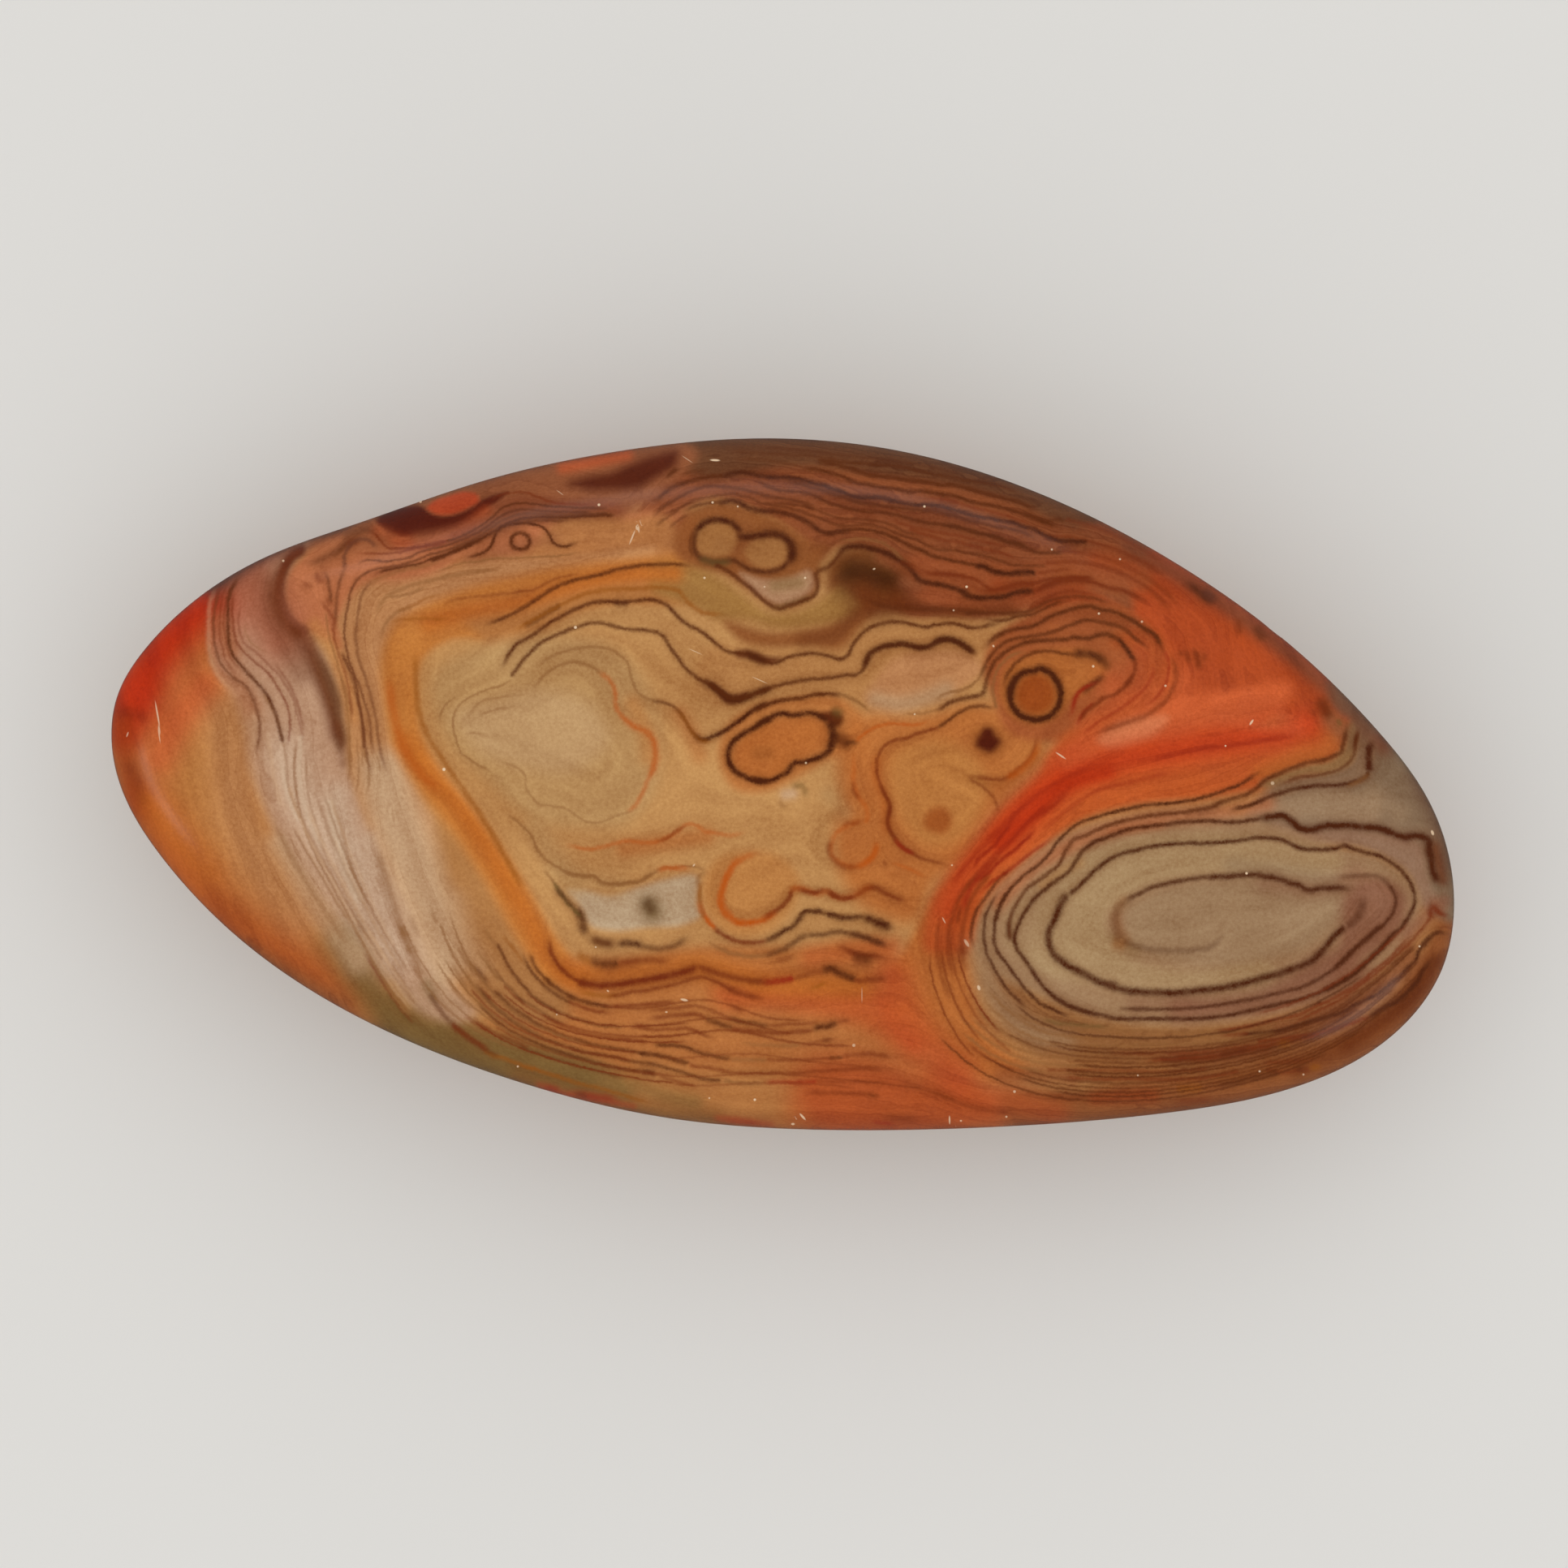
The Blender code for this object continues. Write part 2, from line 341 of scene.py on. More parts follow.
# The ground's zones, drawn one after another over BASE_TONE: tone, strength, softness of the edge, outline.
BASE_TONE = "honey"
ZONES = [
    # bottom fan
    ("fan_tan", 1.0, 16, [(640, 1180), (700, 1215), (860, 1200), (1060, 1200), (1130, 1240), (1200, 1330),
        (1250, 1420), (900, 1420), (700, 1390), (540, 1320), (600, 1250)]),
    ("coral", 0.85, 18, [(880, 1205), (1000, 1210), (1080, 1205), (1140, 1250), (1130, 1300), (1060, 1265),
        (960, 1245), (880, 1232)]),
    ("tan", 0.8, 16, [(780, 1310), (860, 1318), (940, 1320), (985, 1340), (965, 1375), (860, 1374),
        (790, 1358)]),
    ("olive", 0.9, 14, [(540, 1262), (640, 1280), (720, 1303), (780, 1335), (780, 1372), (660, 1350),
        (540, 1310)]),
    ("ember", 0.8, 30, [(990, 1312), (1070, 1300), (1150, 1325), (1260, 1345), (1310, 1380), (1200, 1400),
        (1000, 1398), (975, 1355)]),
    # round the eye's lower side, and the lower right rim
    ("walnut", 1.0, 12, [(1195, 1150), (1215, 1230), (1260, 1290), (1340, 1335), (1480, 1335), (1600, 1300),
        (1700, 1230), (1745, 1170), (1700, 1150), (1600, 1240), (1450, 1262), (1330, 1250), (1240, 1200)]),
    ("tan", 0.8, 14, [(1190, 1150), (1215, 1230), (1260, 1285), (1310, 1320), (1270, 1330), (1215, 1290),
        (1180, 1230), (1175, 1180)]),
    ("rim_rust", 1.0, 14, [(1230, 1348), (1330, 1344), (1400, 1334), (1520, 1316), (1620, 1282), (1700, 1240),
        (1745, 1180), (1780, 1115), (1830, 1200), (1700, 1350), (1500, 1410), (1260, 1410)]),
    ("tawny", 1.0, 14, [(1105, 1120), (1160, 1090), (1185, 1130), (1195, 1200), (1215, 1270), (1265, 1322),
        (1225, 1335), (1160, 1300), (1110, 1260), (1090, 1190)]),
    # right shoulder and top
    ("ember", 1.0, 20, [(1330, 610), (1460, 670), (1620, 780), (1720, 880), (1640, 905), (1560, 885),
        (1440, 885), (1390, 800), (1330, 765), (1260, 750), (1240, 700), (1290, 670)]),
    ("sienna", 1.0, 8, [(790, 648), (792, 600), (830, 545), (930, 515), (1100, 510), (1320, 600), (1420, 670),
        (1392, 712), (1396, 752), (1340, 730), (1290, 738), (1250, 757), (1200, 764), (1140, 766),
        (1100, 752), (1082, 742), (1056, 728), (1100, 716), (1062, 676), (1030, 676), (1010, 690), (990, 668),
        (960, 645), (920, 625), (880, 615), (840, 632), (815, 655)]),
    ("grey_brown", 0.95, 9, [(810, 555), (930, 520), (1100, 520), (1250, 570), (1370, 625), (1350, 645),
        (1230, 612), (1160, 596), (1100, 588), (960, 576), (870, 590)]),
    ("arch_brown", 1.0, 11, [(1018, 702), (1034, 682), (1058, 674), (1088, 690), (1112, 718), (1106, 742),
        (1084, 754), (1046, 760), (1024, 735)]),
    ("arch_glow", 0.8, 8, [(1100, 690), (1150, 684), (1250, 696), (1330, 680), (1400, 678), (1420, 720),
        (1340, 728), (1290, 736), (1250, 752), (1190, 754), (1140, 744), (1112, 720)]),
    # upper left
    ("salmon_brown", 1.0, 10, [(380, 690), (440, 650), (520, 665), (620, 640), (700, 630), (800, 630),
        (860, 640), (850, 690), (700, 705), (600, 708), (500, 738), (450, 748), (410, 765), (365, 760),
        (352, 735), (358, 700)]),
    ("clay", 1.0, 9, [(340, 690), (440, 620), (600, 565), (800, 525), (860, 560), (820, 600), (780, 632),
        (700, 645), (640, 645), (600, 660), (560, 672), (500, 675), (440, 662), (390, 680)]),
    ("brown", 0.9, 8, [(556, 645), (600, 622), (640, 610), (700, 616), (770, 628), (765, 642), (700, 642),
        (640, 642), (600, 658), (568, 668)]),
    ("tan", 0.8, 10, [(560, 692), (600, 684), (640, 684), (690, 640), (760, 640), (830, 640), (840, 690),
        (700, 702), (600, 706), (540, 715)]),
    ("lens_brown", 1.0, 3, [(464, 640), (470, 634), (483, 628), (500, 624), (520, 624), (530, 632),
        (552, 636), (568, 632), (580, 626), (592, 617), (612, 609), (626, 606), (616, 616), (598, 627),
        (584, 638), (568, 648), (548, 656), (528, 661), (508, 662), (488, 660), (475, 653)]),
    ("lens_red", 1.0, 3, [(526, 626), (534, 618), (552, 611), (576, 606), (588, 610), (590, 617), (580, 624),
        (568, 630), (552, 634), (534, 632)]),
    ("patch_brown", 0.95, 10, [(700, 596), (722, 587), (750, 582), (778, 570), (806, 560), (836, 556),
        (834, 572), (808, 590), (784, 602), (752, 604), (722, 604)]),
    # left tip
    ("amber", 1.0, 10, [(60, 700), (290, 690), (266, 735), (260, 780), (264, 820), (282, 850), (296, 890),
        (308, 950), (328, 1000), (352, 1050), (388, 1100), (428, 1150), (478, 1210), (520, 1265), (560, 1330),
        (300, 1330), (60, 1100)]),
    # pale flank
    ("peach", 1.0, 10, [(266, 735), (290, 690), (380, 660), (352, 710), (347, 745), (362, 775), (385, 790),
        (420, 860), (430, 940), (450, 1000), (480, 1060), (520, 1130), (560, 1200), (590, 1245), (560, 1262),
        (520, 1252), (478, 1206), (428, 1150), (388, 1100), (352, 1050), (328, 1000), (308, 950), (296, 890),
        (282, 850), (264, 820), (260, 780)]),
    # base of the vertical bundle, and the cream beside it
    ("apricot", 1.0, 9, [(425, 745), (445, 722), (500, 715), (600, 690), (700, 688), (820, 690), (820, 715),
        (700, 715), (600, 735), (520, 755), (490, 775), (476, 800), (476, 860), (484, 920), (512, 970),
        (560, 1040), (620, 1120), (670, 1200), (690, 1235), (640, 1255), (560, 1220), (500, 1110),
        (450, 1010), (432, 950), (424, 870), (410, 810)]),
    ("bundle_amber", 0.95, 14, [(540, 1010), (580, 1050), (620, 1110), (660, 1170), (700, 1215), (700, 1250),
        (640, 1262), (590, 1250), (560, 1190), (540, 1130), (530, 1070)]),
    ("cream", 0.9, 20, [(452, 935), (480, 928), (508, 978), (532, 1035), (550, 1100), (562, 1150),
        (566, 1190), (548, 1208), (524, 1150), (490, 1080), (460, 1005)]),
    # Darker olive towards the lower left rim: partly the stone's own colour, partly painted shade where the dome
    # falls away.
    ("dark_olive", 1.0, 16, [(470, 1222), (520, 1258), (560, 1266), (610, 1278), (680, 1298), (740, 1318),
        (720, 1358), (600, 1345), (470, 1280)]),
    ("salmon_brown", 1.0, 6, [(378, 682), (430, 660), (470, 675), (450, 700), (425, 726), (415, 760),
        (420, 800), (405, 790), (385, 779), (364, 766), (354, 745), (355, 715)]),
    ("band_brown", 1.0, 4, [(374, 671), (362, 676), (350, 688), (342, 705), (338, 725), (338, 748),
        (346, 766), (360, 780), (376, 786), (383, 776), (368, 766), (357, 752), (352, 738), (351, 720),
        (355, 704), (364, 690), (376, 680)]),
    ("band_umber", 0.9, 6, [(374, 782), (383, 780), (392, 798), (404, 820), (414, 841), (421, 862),
        (424, 890), (425, 918), (419, 926), (412, 905), (405, 880), (397, 855), (388, 830), (378, 805)]),
    # wide orange band, down the left of the field
    ("pumpkin", 1.0, 10, [(472, 800), (486, 768), (530, 742), (640, 708), (760, 690), (850, 692), (868, 728),
        (830, 742), (760, 742), (700, 756), (660, 776), (620, 790), (560, 790), (532, 806), (520, 840),
        (520, 900), (540, 945), (580, 995), (616, 1045), (650, 1095), (676, 1140), (706, 1185), (682, 1212),
        (640, 1160), (600, 1090), (560, 1030), (520, 980), (490, 930), (474, 870)]),
    ("tan", 0.8, 10, [(560, 756), (640, 732), (760, 712), (850, 712), (870, 735), (830, 748), (760, 744),
        (704, 758), (664, 780), (632, 806), (606, 800), (585, 780)]),
    # field
    ("honey", 1.0, 9, [(520, 815), (560, 790), (630, 800), (668, 782), (710, 762), (770, 750), (850, 756),
        (900, 790), (940, 815), (1040, 812), (1060, 785), (1100, 772), (1200, 770), (1225, 790), (1215, 840),
        (1225, 880), (1290, 900), (1300, 930), (1250, 980), (1200, 1050), (1160, 1090), (1130, 1140),
        (1105, 1180), (1000, 1180), (860, 1180), (740, 1200), (700, 1170), (660, 1100), (615, 1030),
        (560, 960), (524, 890)]),
    ("sand", 0.9, 14, [(535, 830), (600, 795), (680, 785), (760, 800), (800, 850), (815, 920), (805, 975),
        (770, 1015), (720, 1020), (660, 1010), (600, 960), (550, 910)]),
    ("grey_sand", 0.4, 16, [(560, 880), (610, 860), (680, 850), (730, 870), (750, 910), (710, 950),
        (640, 945), (590, 925)]),
    ("tan", 0.45, 11, [(870, 800), (960, 800), (1050, 780), (1110, 768), (1210, 766), (1240, 790),
        (1215, 830), (1160, 865), (1090, 875), (1040, 872), (960, 852), (900, 872), (855, 845)]),
    ("pale_peach", 0.95, 9, [(1078, 838), (1100, 812), (1150, 802), (1200, 808), (1212, 824), (1190, 845),
        (1140, 866), (1090, 874), (1066, 862)]),
    ("arch_brown", 0.95, 8, [(835, 645), (880, 618), (930, 628), (975, 650), (1000, 666), (1022, 672),
        (1012, 694), (1010, 718), (1000, 738), (955, 750), (925, 730), (890, 708), (850, 700), (830, 680)]),
    ("ring_tan", 1.0, 5, [(858, 662), (862, 645), (880, 640), (900, 645), (908, 662), (898, 682), (880, 686),
        (862, 680)]),
    ("ring_tan", 1.0, 5, [(918, 680), (930, 665), (950, 662), (968, 668), (972, 682), (962, 696), (942, 700),
        (925, 692)]),
    ("pocket_tan", 0.95, 6, [(912, 706), (940, 714), (975, 712), (998, 704), (1002, 722), (985, 738),
        (957, 744), (935, 732)]),
    ("moss_gold", 1.0, 9, [(800, 700), (860, 700), (890, 714), (920, 736), (950, 756), (985, 752),
        (1012, 738), (1034, 724), (1060, 745), (1046, 762), (1000, 772), (960, 774), (920, 764), (880, 762),
        (850, 745), (800, 722)]),
    ("arch_brown", 0.9, 8, [(892, 766), (940, 778), (1000, 774), (1050, 760), (1078, 750), (1056, 780),
        (1036, 800), (1000, 796), (950, 798), (912, 790)]),
    ("tawny", 0.9, 16, [(1035, 905), (1060, 882), (1130, 882), (1200, 865), (1265, 885), (1290, 930),
        (1250, 975), (1215, 1015), (1190, 1060), (1150, 1090), (1130, 1135), (1060, 1115), (1030, 1060),
        (1035, 980)]),
    ("amber", 0.9, 14, [(1100, 930), (1150, 910), (1200, 930), (1215, 980), (1190, 1030), (1140, 1040),
        (1105, 1000)]),
    ("tawny", 0.75, 8, [(888, 908), (903, 886), (935, 868), (985, 858), (1040, 862), (1062, 885), (1048, 920),
        (1010, 942), (975, 962), (945, 975), (905, 972), (888, 945)]),
    ("orange_nodule", 0.95, 7, [(903, 935), (912, 912), (935, 895), (965, 884), (1000, 884), (1022, 898),
        (1022, 915), (1000, 930), (975, 945), (945, 962), (918, 957)]),
    ("amber", 0.75, 9, [(866, 1090), (885, 1058), (920, 1048), (960, 1055), (985, 1085), (975, 1120),
        (940, 1150), (900, 1152), (874, 1130)]),
    ("patch_white", 1.0, 6, [(700, 1096), (722, 1097), (750, 1104), (782, 1095), (820, 1084), (858, 1080),
        (858, 1116), (862, 1128), (845, 1138), (800, 1142), (752, 1146), (728, 1140), (718, 1120)]),
    ("ginger", 0.85, 11, [(690, 1185), (740, 1182), (860, 1166), (980, 1166), (1100, 1165), (1110, 1210),
        (1000, 1220), (860, 1212), (740, 1225), (690, 1212)]),
    # lobes round the ringed spot
    ("ember_brown", 1.0, 8, [(1212, 826), (1216, 800), (1236, 775), (1282, 752), (1330, 738), (1380, 748),
        (1418, 778), (1436, 822), (1420, 868), (1390, 892), (1340, 905), (1296, 915), (1240, 900),
        (1224, 862)]),
    ("ginger", 1.0, 8, [(1232, 852), (1240, 824), (1270, 806), (1310, 800), (1350, 806), (1366, 820),
        (1352, 842), (1322, 862), (1302, 882), (1276, 892), (1244, 880)]),
    ("coral", 0.8, 12, [(1372, 792), (1400, 806), (1404, 840), (1376, 868), (1340, 888), (1312, 915),
        (1330, 925), (1390, 895), (1436, 866), (1448, 826), (1424, 786), (1396, 774)]),
    ("spot_rust", 0.9, 7, [(1252, 856), (1258, 838), (1276, 830), (1294, 838), (1300, 856), (1292, 874),
        (1276, 880), (1258, 873)]),
    ("blob_brown", 0.95, 4, [(1008, 880), (1018, 877), (1030, 877), (1038, 884), (1036, 893), (1027, 896),
        (1018, 890)]),
    ("dark_rust", 0.6, 6, [(1026, 904), (1040, 902), (1050, 912), (1048, 922), (1034, 922), (1026, 914)]),
    ("blob_brown", 0.95, 3, [(874, 840), (884, 845), (892, 853), (904, 856), (922, 853), (918, 862),
        (905, 868), (893, 866), (886, 858)]),
    ("blob_brown", 0.85, 4, [(904, 804), (918, 800), (932, 803), (944, 808), (962, 811), (950, 819),
        (936, 818), (922, 812), (908, 810)]),
    ("rust", 0.6, 9, [(1200, 900), (1218, 892), (1234, 902), (1238, 918), (1226, 932), (1208, 930),
        (1197, 917)]),
    ("blob_brown", 1.0, 5, [(1207, 905), (1213, 896), (1222, 897), (1226, 905), (1233, 912), (1228, 922),
        (1220, 927), (1210, 924), (1202, 918), (1204, 910)]),
    ("spot_rust", 0.75, 8, [(1138, 1008), (1148, 996), (1162, 994), (1172, 1004), (1172, 1018), (1162, 1028),
        (1148, 1026), (1138, 1018)]),
    # red zone, from the right shoulder down the eye's left side
    ("coral", 1.0, 10, [(1600, 905), (1660, 905), (1640, 940), (1560, 972), (1480, 986), (1400, 994),
        (1340, 1010), (1290, 1042), (1250, 1077), (1215, 1112), (1195, 1170), (1140, 1170), (1148, 1110),
        (1190, 1050), (1235, 995), (1280, 950), (1300, 915), (1345, 895), (1440, 880)]),
    ("flame", 0.9, 10, [(1290, 945), (1315, 915), (1380, 885), (1440, 860), (1520, 850), (1592, 845),
        (1575, 880), (1480, 902), (1400, 918), (1350, 930), (1310, 952)]),
    ("salmon", 0.9, 8, [(1352, 914), (1368, 896), (1400, 884), (1440, 884), (1425, 904), (1390, 918),
        (1365, 922)]),
    # right rim and eye
    ("pink_grey", 1.0, 8, [(1545, 994), (1600, 970), (1655, 952), (1686, 940), (1690, 905), (1720, 890),
        (1850, 980), (1850, 1130), (1762, 1125), (1735, 1075), (1690, 1046), (1595, 1028), (1520, 1016)]),
    ("lilac_tan", 0.9, 7, [(1570, 1014), (1600, 1024), (1660, 1022), (1715, 1030), (1750, 1040), (1758, 1080),
        (1768, 1118), (1750, 1118), (1738, 1080), (1690, 1048), (1600, 1040), (1560, 1030)]),
    ("belt_orange", 0.9, 12, [(1545, 955), (1590, 922), (1618, 892), (1640, 878), (1656, 888), (1656, 918),
        (1640, 936), (1600, 946), (1560, 962)]),
    ("belt", 1.0, 6, [(1552, 968), (1575, 954), (1610, 942), (1642, 935), (1656, 922), (1662, 895),
        (1668, 886), (1676, 892), (1672, 918), (1664, 940), (1646, 950), (1600, 958), (1565, 972)]),
    ("smoke", 0.9, 7, [(1634, 840), (1680, 862), (1722, 918), (1700, 912), (1690, 908), (1676, 892),
        (1664, 884), (1650, 876)]),
    ("belt_pink", 1.0, 6, [(1672, 888), (1692, 905), (1690, 930), (1688, 952), (1668, 966), (1620, 970),
        (1585, 976), (1545, 990), (1560, 974), (1600, 958), (1646, 950), (1664, 940), (1672, 918)]),
    ("dove", 0.9, 10, [(1540, 998), (1580, 982), (1630, 972), (1670, 975), (1700, 985), (1700, 1006),
        (1640, 1010), (1600, 1008)]),
    ("eye_tan", 1.0, 8, [(1202, 1150), (1215, 1112), (1250, 1074), (1310, 1030), (1400, 1004), (1500, 998),
        (1580, 1020), (1640, 1042), (1690, 1052), (1738, 1084), (1752, 1114), (1732, 1160), (1682, 1205),
        (1600, 1240), (1480, 1262), (1360, 1256), (1270, 1222), (1220, 1192)]),
    ("eye_cream", 0.95, 10, [(1238, 1150), (1256, 1104), (1306, 1062), (1380, 1037), (1480, 1027),
        (1590, 1037), (1655, 1062), (1640, 1095), (1500, 1078), (1400, 1098), (1362, 1130), (1378, 1172),
        (1460, 1198), (1570, 1190), (1566, 1214), (1450, 1230), (1340, 1212), (1268, 1190)]),
    ("eye_beige", 0.9, 10, [(1380, 1130), (1420, 1100), (1500, 1082), (1590, 1090), (1665, 1110),
        (1635, 1150), (1560, 1182), (1470, 1187), (1400, 1168)]),
    ("mauve_brown", 0.9, 11, [(1655, 1105), (1690, 1080), (1732, 1100), (1728, 1142), (1682, 1182),
        (1640, 1205), (1652, 1152)]),
    ("mauve_brown", 0.8, 14, [(1440, 1236), (1500, 1230), (1570, 1214), (1640, 1170), (1690, 1196),
        (1592, 1244), (1500, 1256), (1440, 1252)]),
]

